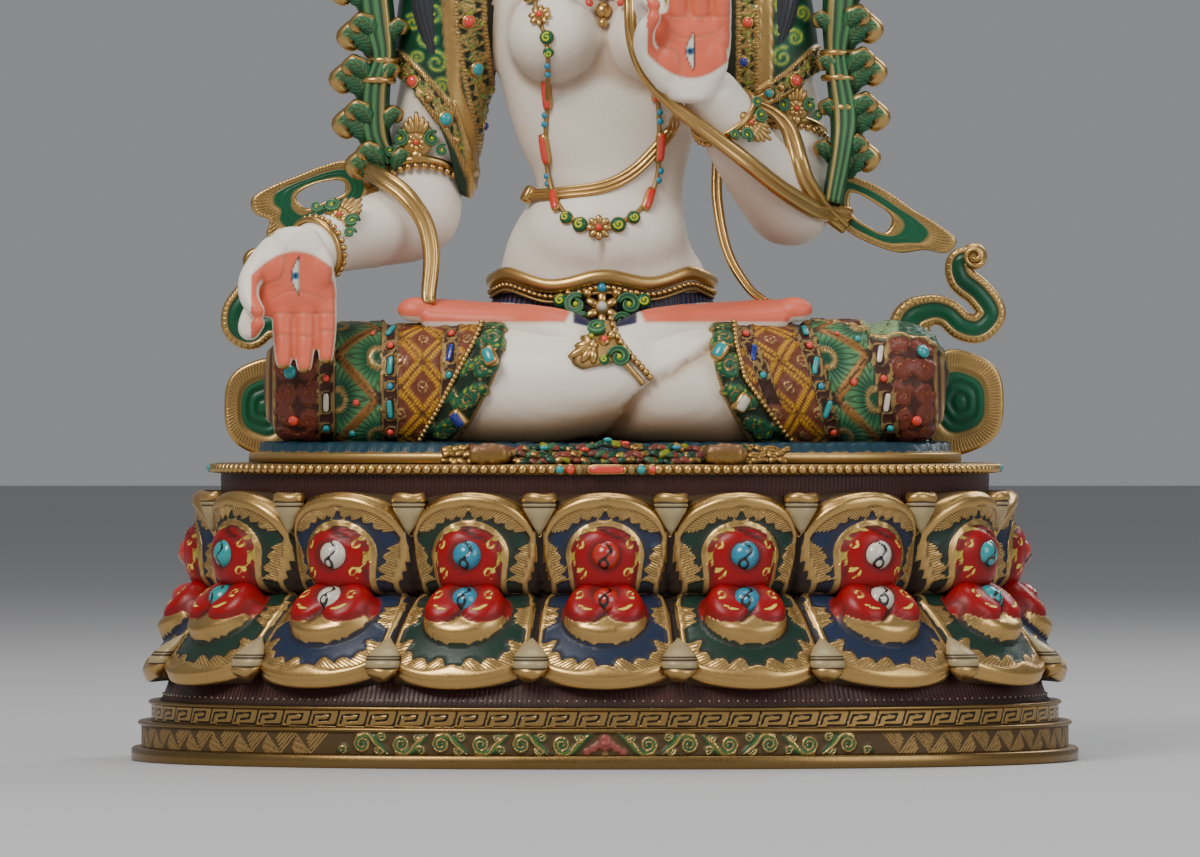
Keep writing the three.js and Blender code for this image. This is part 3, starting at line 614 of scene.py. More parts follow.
def plan(turn, inset):
    """The plan's point at a turn: signed powers of sine and cosine times the half sizes less the inset."""
    exponent = 2 / PLAN_SQUARENESS
    x = (HALF_WIDTH - inset) * signed_power(np.sin(turn), exponent)
    return x, -(HALF_DEPTH - inset * FRONT_LEAN) * signed_power(np.cos(turn), exponent)


def plan_table():
    """Turns at steps of arc length round the plan at the waist's inset, as shares of the way round."""
    turn = np.linspace(0, TAU, 4001)
    x, y = plan(turn, PLAN_INSET)
    along = np.append(0, np.cumsum(np.hypot(np.diff(x), np.diff(y))))
    return turn, along / along[-1]


TURNS, TURN_SHARES = plan_table()


def around(share, inset, height):
    """Point of the base at a share of the way round from the front's middle, an inset and a height."""
    x, y = plan(np.interp(np.mod(share, 1.0), TURN_SHARES, TURNS), inset)
    return rows_of(x, y, height)


def girth(inset):
    """Length round the plan at an inset."""
    x, y = plan(np.linspace(0, TAU, 721), inset)
    return np.hypot(np.diff(x), np.diff(y)).sum()


def shares_round(front_step, back_step):
    """Shares of the way round, closely spaced where the front shows and wider behind."""
    total, far = girth(0), 1 - FRONT_SHARE
    front = np.linspace(-FRONT_SHARE, FRONT_SHARE, int(total * 2 * FRONT_SHARE / front_step))
    columns = int(total * (far - FRONT_SHARE) / back_step)
    return np.concatenate([front, np.linspace(FRONT_SHARE, far, columns)[1:-1]])


def from_front(share):
    """Signed share from the front's middle, minus a half to a half."""
    return (np.asarray(share) + 0.5) % 1.0 - 0.5


def stand(share, inset, height):
    """Places on the plan, each with its axes: along the edge, inward and up."""
    place = around(share, inset, height)
    along = around(share + 1e-4, inset, height) - around(share - 1e-4, inset, height)
    along = unit(along)
    up = np.broadcast_to([0, 0, 1.0], along.shape)
    return place, np.stack([along, np.cross(up, along), up], axis=-2)


# Base: body, bands and necks

# Inset, height, colour and recess of each row from the foot up; the waist behind the petals is painted dark,
# as painted shade.
BODY_PROFILE = [
    (0.6, 0, "bronze", 0), (0, 0.6, "bronze", 0), (0, 4.6, "bronze", 0), (0.6, 5.2, "bronze", 0),
    (12, 5.4, "bronze", 0.6), (12, 23.4, "maroon", 0.6), (11.4, 24.1, "maroon", 1),
    (12.3, 25.2, "maroon", 0.8), (13, 26.4, "maroon", 0.1), (14.4, 30, "maroon", 0.1),
    (16, 36, "maroon", 0.6), (30, 44, "dark", 1), (42, 60, "dark", 1), (43, 68, "dark", 1),
    (42, 84, "dark", 1), (37, 100, "maroon", 1), (36, 105, "maroon", 0.3), (35.8, 113.6, "maroon", 0.2),
    (35.9, 114.8, "maroon", 0.8), (33.2, 114.9, "gold", 0.5), (32.8, 118, "gold", 0.6),
    (33.6, 118.8, "bronze", 0.3), (60, 118.8, "bronze", 0.3)
]


def make_base_body():
    """The base's core: its profile of insets and heights swept round the plan, closed at both ends."""
    share = shares_round(3.2, 7.0)
    inset, height, recess = (np.array([row[k] for row in BODY_PROFILE])[:, None] for k in (0, 1, 3))
    points = around(share[None], inset, height)
    paint = np.array([tone(row[2]) for row in BODY_PROFILE])[:, None]
    maroon = np.array([row[2] == "maroon" for row in BODY_PROFILE])[:, None]
    return closed_grid(points, paint=paint, recess=recess, engrave=maroon * 0.75,
                       hatch=np.abs(from_front(share))[None] * girth(20) / 1.9)


NECK_DOTS = 250


def neck_dots():
    """A row of tiny studs along the foot of the lower neck."""
    dot = ball((0, 0, 0), np.full(3, 0.42), 6, 4, paint=tone("shell") * 0.55 + tone("maroon") * 0.45)
    return copies(dot, *stand(np.arange(NECK_DOTS) / NECK_DOTS, 12.6, 26.4))


def band_skin(share, insets, heights, rows, work):
    """A hoop whose first rows carry an ornament and its height; the rest is plain and hidden."""
    inset, height = np.asarray(insets)[:, None] + 0 * share[None], np.asarray(heights)[:, None]
    inset[:rows] -= work.height.reshape(rows, -1)
    full = {}
    for name, value in work.facts((rows, len(share))).items():
        plain = tone("bronze") if name == "paint" else fact_default(name)
        rest = np.broadcast_to(plain, (len(insets) - rows,) + value.shape[1:])
        full[name] = np.concatenate([value, rest])
    return ring_skin(around(share[None], inset, height), **full)


def band_work(share, heights, inset, ground):
    """The ornament of a band: its flat points are the length along it and the height."""
    return Ornament(rows_of((from_front(share) * girth(inset))[None], heights[:, None]), ground)


def vine_strokes(low, high, first, pitch, count):
    """Wave of a vine with a coil in each bend: centre lines of the leaves, and the thin outlines."""
    middle, half = (low + high) / 2, (high - low) / 2
    green, outline = [], []
    for k in range(count):
        x = first + pitch * k
        way = 1 if k % 2 == 0 else -1
        green.append(stroke([(x - pitch * 0.62, middle + way * half * 0.8), (x - pitch * 0.4, middle),
                             (x - pitch * 0.2, middle - way * half * 0.72),
                             (x + 2, middle - way * half * 0.78)], 1.6))
        green.append(coil(x, middle, half * 0.74, -way * np.pi / 2, way * 1.4, 1.25))
        outline.append(coil(x, middle, half * 0.92, -way * np.pi / 2, way * 1.9, 0.45, 60))
        outline.append(stroke([(x - pitch * 0.66, middle + way * half * 0.95), (x - pitch * 0.33, middle),
                               (x - pitch * 0.16, middle - way * half * 0.95), (x + 3, middle - way * half)],
                              0.5))
        for side, lean in ((-1, 0.45), (1, 0.5)):
            tip = (x + side * pitch * lean, middle + way * half * 0.62)
            green.append(coil(tip[0], tip[1], half * 0.42, 0, 1.2 * side, 1.1, 18))
            outline.append(coil(tip[0], tip[1], half * 0.5, 0.4, 1.3 * side, 0.4, 24))
    return green, outline


def chevron_strokes(low, high, first, last, pitch):
    """Engraved bars in triangles that point up and down by turns, each bar shorter than the one before."""
    strokes = []
    t = np.linspace(0.02, 0.95, 14)
    for x in np.arange(first, last, pitch):
        for share in np.arange(5) / 5:
            fall = (high - low) * (1 - share * 0.85)
            rise = (high - low) * (0.9 - share * 0.75)
            strokes.append(rows_of(x + pitch * share * 0.62 + fall * 0.9 * t, high - fall * t, 0.44))
            strokes.append(rows_of(x + pitch * (0.56 + share * 0.55) + rise * 0.8 * t, low + rise * t, 0.44))
    return strokes


def make_scroll_band():
    """The engraved band over the foot: a painted vine and a flower in the middle, bars at the sides."""
    share, rows = shares_round(0.68, 3.4), 14
    low, high = FOOT_TOP + 0.3, SCROLL_TOP - 2.2
    heights = np.linspace(FOOT_TOP, SCROLL_TOP - 1.9, rows)
    work = band_work(share, heights, 4, tone("bronze") * 0.5)
    work.recess[:] = 0.5
    green, outline = vine_strokes(low, high, 17, 16, 6)
    root = [stroke([(5.5, high), (9, high - 3), (14, low + 1.2), (20, low + 0.7)], 1.2)]
    gap = gap_to(work.points, mirrored(green + root))
    work.fill(gap, tone("leaf") * 0.5, 0.9, recess=0)
    work.fill(gap + 0.8, tone("lime") * 0.16 + tone("leaf") * 0.5, 0.2)
    work.trace(gap_to(work.points, mirrored(outline)))
    pink = tone("red") * 0.75 + tone("shell") * 0.12
    for x, y, r in ((0, high - 2.2, 2.1), (2.6, high - 4, 1.5), (4.6, low + 2.6, 1.5), (7.2, low + 1.2, 1.4),
                    (0, low + 3.2, 1.6)):
        for side in (-1, 1):
            work.fill(oval_gap(work.points, side * x, y, r, r), pink, 0.8, recess=0)
    work.trace(gap_to(work.points, mirrored(chevron_strokes(low, high, 112, girth(4) / 2, 13.5))))
    work.trace(oval_gap(work.points, 0, low + 0.4, 1.3, 1.1))
    insets = [4.0] * rows + [3.3, 2.6, 2.6, 3.2, 9, 9]
    tops = list(heights) + [SCROLL_TOP - 1.6, SCROLL_TOP - 1.2, SCROLL_TOP - 0.5, SCROLL_TOP, SCROLL_TOP,
                            FOOT_TOP]
    return band_skin(share, insets, tops, rows, work)


def fret_strokes(low, high, pitch, count):
    """The key pattern as dark cuts: a slanted bar with a long foot, and a hook, at every pitch."""
    strokes = []
    for x in np.arange(-count, count) * pitch:
        bar = [(x + 1.6, high), (x, low + 0.4), (x - 7.6, low + 0.4)]
        hook = [(x - 10.2, low + 1.0), (x - 9.0, high - 1.5), (x - 2.2, high - 1.2), (x - 3.0, low + 2.6),
                (x - 7.2, low + 2.2)]
        for points in (bar, hook):
            line = np.concatenate([np.linspace(a, b, 12) for a, b in zip(points, points[1:])])
            strokes.append(np.column_stack([line, np.full(len(line), 0.45)]))
    return strokes


def make_fret_band():
    """The key-pattern band: dark cuts in brass, under a plain lip."""
    share, rows = shares_round(0.74, 3.4), 11
    low, high = SCROLL_TOP + 0.4, FRET_TOP - 1.9
    heights = np.linspace(SCROLL_TOP, FRET_TOP - 1.7, rows)
    work = band_work(share, heights, 8, tone("gold") * 0.55 + tone("bronze") * 0.45)
    work.trace(gap_to(work.points, fret_strokes(low, high, girth(8) / 80, 40)), tone("dark"))
    insets = [8.0] * rows + [7.4, 6.8, 6.8, 7.4, 13, 13]
    tops = list(heights) + [FRET_TOP - 1.5, FRET_TOP - 1.1, FRET_TOP - 0.4, FRET_TOP, FRET_TOP, SCROLL_TOP]
    return band_skin(share, insets, tops, rows, work)


# Base: petals. Profiles of inset and height, from the waist over the rim, in the middle and at the edge

UPPER_MIDDLE = [(39, 68), (31.5, 69.5), (27.5, 74), (26, 82), (26, 90), (26.4, 98), (25.6, 103.6),
                (25.4, 106.4), (27, 107.9), (30, 108), (35.9, 107.9)]
UPPER_EDGE = [(42, 68), (41.8, 69.2), (41.4, 72), (40.6, 75.4), (39.4, 79), (38, 82), (36.6, 84.2),
              (35.6, 85.4), (36.8, 87.6), (38.4, 93), (38.6, 104)]
LOWER_MIDDLE = [(39, 68), (31.5, 65.6), (25, 60.8), (19.5, 55.4), (14.5, 49.4), (10, 43.2), (6.6, 37.8),
                (5.2, 34), (5.8, 31.6), (8, 30.9), (14, 31.6)]
LOWER_EDGE = [(42, 68), (38, 66), (34.5, 62.6), (30.5, 58.4), (26.5, 54), (23, 50), (20.4, 47), (19.2, 45.2),
              (19.4, 43.4), (19.6, 40), (17, 33)]
RIM_SHARE, ARCH_POWER = 0.7, 2.05
PETAL_COLUMNS, PETAL_ROWS = 48, 56


def rim_arc(x, along, centre):
    """Length along the rim from its tip: round the arch above the centre, then down its sides."""
    return np.where(along > centre, 21 * np.arctan2(np.abs(x), np.maximum(along - centre, 1e-6)),
                    33 + centre - along)


def leaf_width(arc, spans, reach, pitch):
    """How far the gilt leaves reach in from the rim: humps of a sine's size within the given spans."""
    hump = 0.5 + 0.5 * np.abs(np.sin(np.pi * (arc - spans[0][0]) / pitch)) ** 0.7
    return reach * hump * np.maximum(plateau(arc, *spans[0], 0.9), plateau(arc, *spans[1], 0.9))


def rim_and_leaves(work, away, arc, rim, spans, reach, pitch):
    """The gilt rim, rounded by a quarter circle, and the hatched leaves that curl in from it."""
    leaf = leaf_width(arc, spans, reach, pitch)
    work.trace(np.where(away < -0.5, -1.0, away - rim - leaf))
    in_rim = 1 - step(away, rim - 0.35, rim + 0.35)
    in_leaf = (1 - step(away - rim - leaf, -0.5, 0.4)) * (1 - in_rim)
    work.height += size("rim") * dome(away / (rim * 0.6)) * in_rim
    work.height += in_leaf * (0.45 + 0.5 * np.abs(np.sin(np.pi * (arc - spans[0][0]) / pitch)))
    work.hatch = arc + away * 0.45
    work.engrave = in_leaf * step(leaf, 0.3, 1.0)
    # Painted shade on the ground just beside the leaves, and darker along the rim's inner edge.
    shadow = (1 - in_leaf) * (1 - in_rim) * (1 - step(away, rim + leaf + 0.3, rim + leaf + 1.7))
    work.recess = np.maximum(shadow * 0.9, plateau(away, rim - 0.2, rim + 0.3, 0.25) * 0.9)


def painted_curl():
    """The dull yellow of the curls painted on the red lobes."""
    return tone("lime") * 0.4 + tone("gold") * (1.0, 1.0, 0.6, 0)


def draw_upper_petal(work, away):
    """Upper petal: rim, leaves, a horseshoe of gold, and in it a red lobe with a cleft and painted curls."""
    x, z = work.points.T
    arc = rim_arc(x, z, 14)
    top = step(z, 18, 26)
    rim = 2.4 + 2.0 * bell(x, 0, 13) * top - 1.0 * bell(x, 0, 2.2) * top
    rim_and_leaves(work, away, arc, rim, ((0.2, 21.5), (27.5, 42)), 4.7, 4.9)
    inner = np.where(z > 15, np.hypot(x, (z - 15) * 0.98), np.abs(x) + 0.13 * (15 - z)) - 12.7
    red_edge = inner + 0.7 + 0.7 * step(z, 20, 27)
    work.fill(red_edge, tone("red"), recess=0)
    # Darker along the horseshoe's edges: partly dirt, partly painted shade.
    work.add_dirt_and_shade(0.45 * plateau(inner, 1.4, 3.0, 0.6) * step(z, 0, 8))
    work.add_dirt_and_shade(0.75 * plateau(inner, -2.2, -1.2, 0.5))
    work.height += size("lobe") * dome(-red_edge / 9) * step(z, -4, 8)
    work.trace(np.maximum(inner - 0.95, -red_edge))
    work.height += 1.2 * plateau(inner, -0.9, 0.8, 0.5)
    cleft = gap_to(work.points, [stroke([(-4.6, 27.6), (-1.0, 25.4), (2.6, 23), (7.2, 20.8)], 0.75)])
    # The cleft is painted dark red, as painted shade in its groove.
    work.fill(cleft, tone("red") * 0.25, -1.5, 0.6, recess=0.6)
    curls = mirrored([coil(8.7, 19.4, 2.1, 1.2, 1.1, 0.5, 20), coil(8.3, 9.6, 2.2, 4.6, -1.1, 0.5, 20),
                      stroke([(10.6, 17), (10.9, 14.6), (10.2, 12)], 0.6)])
    curls.append(stroke([(-7.4, 24.2), (-5.2, 25.2), (-3.0, 24.4)], 0.6))
    work.trace(gap_to(work.points, curls), painted_curl())
    # Painted shade round the stone's foot, and at the petal's foot by the waist.
    work.add_dirt_and_shade(0.6 * (1 - step(np.hypot(x, z - 15.4), 5.4, 6.5)))
    work.add_dirt_and_shade(0.9 * (1 - step(z, 0.5, 7)))


def draw_lower_petal(work, away):
    """Lower petal: rim with a bowed lip, leaves, and a gilt knob crowned by two red lobes."""
    x, along = work.points.T
    arc = rim_arc(x, along, 17)
    corner = 8 * (np.hypot(np.maximum(np.abs(x) - 15.5, 0) / 8.2, np.maximum(10 - along, 0) / 11) - 1)
    away = np.where(along < 12, np.minimum(away, np.maximum(-corner, 0)), away)
    low = step(along, 28, 36)
    rim = 2.2 + 2.0 * bell(x, 0, 12) * low + 2.6 * bell(x, 0, 4.2) * low
    rim_and_leaves(work, away, arc, rim, ((2.6, 20.5), (28, 38)), 5.4, 4.7)
    knob = oval_gap(work.points, 0, 18.2, 15.0, 15.2)
    lobes = np.minimum(oval_gap(work.points, -6.6, 15.8, 7.8, 10.2),
                       oval_gap(work.points, 6.6, 15.8, 7.8, 10.2))
    work.change(knob < 1.2, line=FAR)
    work.engrave = work.engrave * step(knob, 0, 1)
    work.height += size("knob") * dome(-knob / 4.2)
    # Painted shade in a ring round the knob's foot.
    work.recess = np.maximum(work.recess * step(knob, -0.5, 0.5), 0.8 * plateau(knob, 0.2, 1.1, 0.5))
    work.fill(lobes - 1.0, tone("red"), 0, 0.4, recess=0)
    work.trace(np.maximum(knob, 0.35 - lobes))
    work.height += 2.6 * dome(-lobes / 6) - 0.5 * plateau(lobes, 0.0, 0.8, 0.4)
    # Darker round the lobes' edges: partly dirt, partly painted shade.
    work.add_dirt_and_shade(0.55 * plateau(lobes, -0.5, 0.3, 0.35))
    cleft = gap_to(work.points, [stroke([(-3.4, 26), (-1.2, 23.4), (1.4, 19.8), (1.6, 15.4)], 0.7)])
    # The cleft is painted dark red, as painted shade in its groove.
    work.fill(cleft, tone("red") * 0.25, -1.3, 0.5, recess=0.6)
    curls = mirrored([coil(9.0, 14.8, 2.3, 1.2, 1.1, 0.5, 20),
                      stroke([(4.2, 22.4), (6.8, 21.8), (9.4, 19.6)], 0.6)])
    work.trace(only(lobes < 0, gap_to(work.points, curls)), painted_curl())
    # Painted shade round the stone's foot.
    work.add_dirt_and_shade(0.6 * (1 - step(np.hypot(x, along - 13.9), 5.2, 6.2)))
    # The corners between the petals are painted dark, as painted shade.
    work.change(corner > 0, line=FAR)
    work.fill(-corner, tone("dark"), -0.8, 0.3, recess=1)


def make_petal_row(middle, edge, half_pitch, draw, way):
    """A row as one hoop: the middle's and the edge's profiles mixed by a round arch over each petal, then
    moved along the profile's normal by the ornament's height; way is 1 up the base and -1 down it."""
    columns, rows = PETAL_COLUMNS, PETAL_ROWS
    rim_row = rows - 11
    phase = (np.arange(columns) + 0.5) / columns * 2 - 1
    arch = (1 - np.abs(phase) ** ARCH_POWER) ** (1 / ARCH_POWER)
    t = np.append(np.linspace(0, RIM_SHARE, rim_row + 1), np.linspace(RIM_SHARE, 1, 11)[1:])
    mid, side = curve_at(middle, t), curve_at(edge, t)
    curve = side[:, None] + (mid - side)[:, None] * arch[None, :, None]
    x = np.broadcast_to(phase * half_pitch, curve.shape[:2])
    steps = np.linalg.norm(np.diff(curve, axis=0), axis=-1)
    run = np.concatenate([np.zeros((1, columns)), np.cumsum(steps, axis=0)])
    up = curve[..., 1] - WAIST if way > 0 else run
    flat = rows_of(x, up)
    rim_line = rows_of(x[0], up[rim_row], np.zeros(columns))
    level = np.linspace(-3, up[rim_row, 0], 60)
    side_x = half_pitch - 0.8 - (3.0 if way > 0 else 1.2) * (1 - step(level, 2, 17))
    sides = [rows_of(s * side_x, level, np.zeros(60)) for s in (-1, 1)]
    away = gap_to(flat.reshape(-1, 2), [spline(rim_line, 240)] + sides)
    between = np.interp(flat[..., 1].ravel(), level, side_x) - np.abs(x.ravel())
    beyond = np.repeat(np.arange(rows) > rim_row, columns)
    away = np.where(beyond, -away, away)
    tangent = np.gradient(curve, axis=0)
    normal = way * rows_of(-tangent[..., 1], tangent[..., 0])
    normal = unit(normal)
    facts = []
    for ground in ("blue", "green"):
        work = Ornament(flat, tone(ground))
        draw(work, away)
        # The gaps between the petals are painted dark, as painted shade.
        between_here = np.where(beyond, 9.0, between)
        work.change(between_here < 0, line=FAR)
        work.fill(between_here, tone("dark"), -0.8, 0.3, recess=1)
        work.height[beyond] = 0
        # Past the rim the petal's hidden side is fully darkened, as painted shade.
        work.recess[np.repeat(np.arange(rows) > rim_row + 5, columns)] = 1
        facts.append(work.facts(curve.shape[:2]))
    lifted = curve + normal * work.height.reshape(curve.shape[:2])[..., None]
    every = [2 if 4 < k < 12 else 1 for k in range(PETALS)]
    share = np.concatenate([(k + phase[::every[k]] / 2) / PETALS for k in range(PETALS)])
    inset, height = (np.concatenate([lifted[:, ::stride, k] for stride in every], axis=1) for k in (0, 1))
    full = {name: np.concatenate([facts[k % 2][name][:, ::every[k]] for k in range(PETALS)], axis=1)
            for name in FACTS}
    return ring_skin(around(share[None], inset, height), **full)


# Sepals: height, half width, half depth, kind (0 cream, 1 groove, 2 gilt) and inset of each section
UPPER_SEPAL = [
    (91.5, 0.4, 0.4, 0, 33.2), (94, 2.0, 1.7, 0, 33.2), (98, 4.4, 3.2, 0, 33.2),
    (101.6, 6.4, 4.5, 0, 33.2), (102.1, 6.1, 4.2, 1, 33.2), (102.6, 6.6, 4.7, 0, 33.2),
    (103.3, 6.7, 4.8, 0, 33.2), (103.8, 6.3, 4.4, 1, 33.2), (104.4, 6.9, 5.0, 2, 33.2),
    (105.4, 7.1, 5.2, 2, 33.2), (106.6, 6.8, 5.0, 2, 33.2), (107.4, 5.8, 4.2, 2, 33.2)
]
LOWER_SEPAL = [
    (51, 0.4, 0.5, 0, 22), (49.6, 1.8, 1.5, 0, 20), (47, 4.6, 3.0, 0, 17), (44.2, 6.7, 4.2, 0, 14),
    (43.7, 6.5, 4.0, 1, 13.6), (43.2, 6.9, 4.3, 0, 13.2), (42.6, 6.6, 4.1, 1, 12.8),
    (41.9, 7.0, 4.4, 0, 12.4), (39.6, 6.9, 4.6, 0, 11.8), (39.2, 6.3, 4.2, 1, 11.8),
    (38.6, 6.6, 4.6, 2, 11.6), (36.4, 5.4, 4.4, 2, 11.4), (34.6, 2.8, 2.6, 2, 12.4),
    (34, 0.6, 0.6, 2, 13)
]


def make_sepals():
    """Sepals between the petals: ovals of the listed half widths and depths, stacked by height."""
    share = (np.arange(PETALS) + 0.5) / PETALS
    angle = turns(20)
    cream = tone("shell") * (0.6, 0.53, 0.36, 0) + tone("gold") * (0.12, 0.12, 0.1, 0.12)
    colours = np.array([cream, tone("dark"), tone("gold")])
    made = []
    for rows in (UPPER_SEPAL, LOWER_SEPAL):
        z, wide, deep, kind, inset = (np.array(column)[:, None] for column in zip(*rows))
        x = wide * np.cos(angle)
        y = deep * np.sin(angle) + inset - inset[-1] - 3.2
        up = z + 0.4 * (kind == 2) * np.cos(3 * angle)
        piece = closed_grid(rows_of(x, y, up), paint=colours[kind], recess=(kind == 1) * 0.8 + 0.12)
        made.append(copies(piece, *stand(share, inset[-1], 0)))
    return made


def snail_stone(radius):
    """A petal's stone, facing -y: a ball with a dark S-shaped cut and a small coil at its foot."""
    rows, columns = 20, 28
    polar = (np.pi * np.arange(1, rows) / rows)[:, None]
    turn = turns(columns)
    x, z, y = np.sin(polar) * np.cos(turn), np.sin(polar) * np.sin(turn), -np.cos(polar)
    wave = x - 0.42 * np.sin(np.pi * (z + 0.15))
    cut = np.abs(wave) * radius - 0.62
    hoop = np.abs(np.hypot(x + 0.12, z + 0.6) - 0.3) * radius - 0.5
    gap = only(y < 0.1, np.minimum(cut, only(z < -0.25, hoop)))
    swell = 1 - 0.07 * bell(np.maximum(cut, 0), 0, 0.7) * (y < 0.1) + 0.1 * step(wave, -0.06, 0.06)
    points = rows_of(x, y * 0.85, z) * (swell * radius)[..., None]
    # The stone's back half is darkened as painted shade.
    return closed_grid(points, STONE, line=gap, overlay=tone("dark"), recess=0.8 * step(y, -0.35, 0.25))


STONE_ORDER = ("coral", "sky", "shell", "turquoise", "coral", "sky", "shell", "turquoise", "coral")


def make_petal_stones():
    """A stone in each petal, its colour by the petal's distance from the front's middle."""
    stone = snail_stone(size("stone"))
    share = np.arange(PETALS) / PETALS
    order = [STONE_ORDER[min(k, PETALS - k)] for k in range(PETALS)]
    paints = [tone(name) * ((0.66, 0.42, 0.4, 1) if name == "coral" else (1, 1, 1, 1)) for name in order]
    upper, axes = stand(share, 23.6, WAIST + 15.4)
    lower, lower_axes = stand(share, 21.4, 65.8)
    tilt = np.array([[1, 0, 0], [0, 0.72, -0.69], [0, 0.69, 0.72]])
    return [copies(stone, upper, axes, paints=paints),
            copies(stone, lower, np.einsum("ij,njk->nik", tilt, lower_axes), np.full(PETALS, 0.95),
                   paints=paints)]


RAIL_INSET, RAIL_LEVEL = 32.6, 116.8


def on_rail(x, centre, radii, columns=10, rows=6, **facts):
    """An ellipsoid on the rail at a distance from the front's middle."""
    place = stand(np.array([x / girth(RAIL_INSET)]), RAIL_INSET, RAIL_LEVEL)
    return copies(ball(centre, radii, columns, rows, **facts), *place)


def make_bead_rail():
    """The rail round the deck: squared gold beads, and in the middle a coral bar between small stones."""
    radius = size("rail_bead")
    total = girth(RAIL_INSET)
    count = int(total / (radius * 2.12))
    share = (np.arange(count) + 0.5) / count
    share = share[np.abs(from_front(share)) * total > 20]
    bead = ball((0, 0, 0), (radius, radius * 0.9, radius), 8, 6, power=0.75)
    made = [copies(bead, *stand(share, RAIL_INSET, RAIL_LEVEL))]
    made.append(on_rail(0.6, (0, 0, 0), (8.2, 1.6, 2.2), 16, power=0.5))
    made.append(on_rail(0.6, (0, -0.9, 0), (7.2, 1.7, 1.5), 16, power=0.45, finish=STONE,
                        paint=tone("coral")))
    for x, colour, r in ((-13.6, "coral", 1.9), (-17.8, "turquoise", 1.7), (14.2, "turquoise", 1.9),
                         (18.6, "coral", 1.6)):
        made.append(on_rail(x, (0, 0.3, 0), (2.4, 1.3, 2.4), rows=5))
        made.append(on_rail(x, (0, -0.8, 0), (r, r * 0.8, r), finish=STONE, paint=tone(colour)))
    for x in (-10.2, 10.4):
        made.append(on_rail(x, (0, 0.2, 0), (1.7, 1.2, 2.2), rows=5, recess=0.5))
    for side in (-1, 1):
        for k, colour in enumerate(("turquoise", "coral", "turquoise")):
            made.append(on_rail(side * (total * 0.25 - 8 + 5.2 * k), (0, -1.1, 0), (1.7, 1.5, 1.7),
                                finish=STONE, paint=tone(colour)))
    return made


# Forms: limbs and eggs, and their fusion into one skin

def limb(stations, side=ACROSS, sides=28, squareness=2.0, count=36, round_end=0.6, reach=None):
    """Oval sections of (x, y, z, half width, half height) along a smooth line, closed round at both ends;
    reach gives how much further each point of the last section goes, fading toward the first."""
    rows = np.array([row if len(row) > 4 else (*row, row[3]) for row in stations], float)
    line = curve_at(rows, np.linspace(0, 1, count))
    centre, half = line[:, :3], line[:, 3:]
    along = unit(np.gradient(centre, axis=0))
    for end, sign, order in ((0, -1, (3, 2, 1)), (-1, 1, (1, 2, 3))):
        turn = np.array(order)[:, None] * np.pi / 7
        caps = centre[end] + sign * along[end] * half[end].min() * round_end * np.sin(turn)
        parts = [(caps, centre), (half[end] * np.cos(turn), half),
                 (np.repeat(along[end][None], 3, axis=0), along)]
        centre, half, along = (np.concatenate(pair if end == 0 else pair[::-1]) for pair in parts)
    up = unit(np.cross(along, np.asarray(side, float)))
    across = np.cross(up, along)
    angle = turns(sides, 0.5)
    ring = (across[:, None] * (half[:, :1] * signed_power(np.cos(angle), 2 / squareness))[..., None]
            + up[:, None] * (half[:, 1:] * signed_power(np.sin(angle), 2 / squareness))[..., None])
    points = centre[:, None] + ring
    if reach is not None:
        share = np.linspace(0, 1, len(points))[:, None, None] ** 3
        points = points + along[:, None] * reach(points)[..., None] * share
    return closed_grid(points)


def egg(x, y, z, half_x, half_y, half_z, squareness=2.0):
    """An ellipsoid, squarer as its squareness grows past 2."""
    return ball((x, y, z), (half_x, half_y, half_z), 28, 16, power=2 / squareness)


def neighbour_mean(values, faces):
    """Mean of the values at each point's neighbours along the faces' edges."""
    total, count = np.zeros_like(values), np.zeros(len(values))
    for face in faces:
        for k in range(face.shape[1]):
            a, b = face[:, k], face[:, (k + 1) % face.shape[1]]
            count += np.bincount(a, minlength=len(values)) + np.bincount(b, minlength=len(values))
            for j in range(values.shape[1]):
                total[:, j] += (np.bincount(a, values[b, j], len(values))
                                + np.bincount(b, values[a, j], len(values)))
    return total / count[:, None]


def point_normals(points, faces):
    """Normals at the points: the sum of the crossed diagonals of the faces round each."""
    total = np.zeros_like(points)
    for face in faces:
        cross = np.cross(points[face[:, 2]] - points[face[:, 0]], points[face[:, -1]] - points[face[:, 1]])
        for k in range(face.shape[1]):
            for j in range(3):
                total[:, j] += np.bincount(face[:, k], cross[:, j], len(points))
    return unit(total)


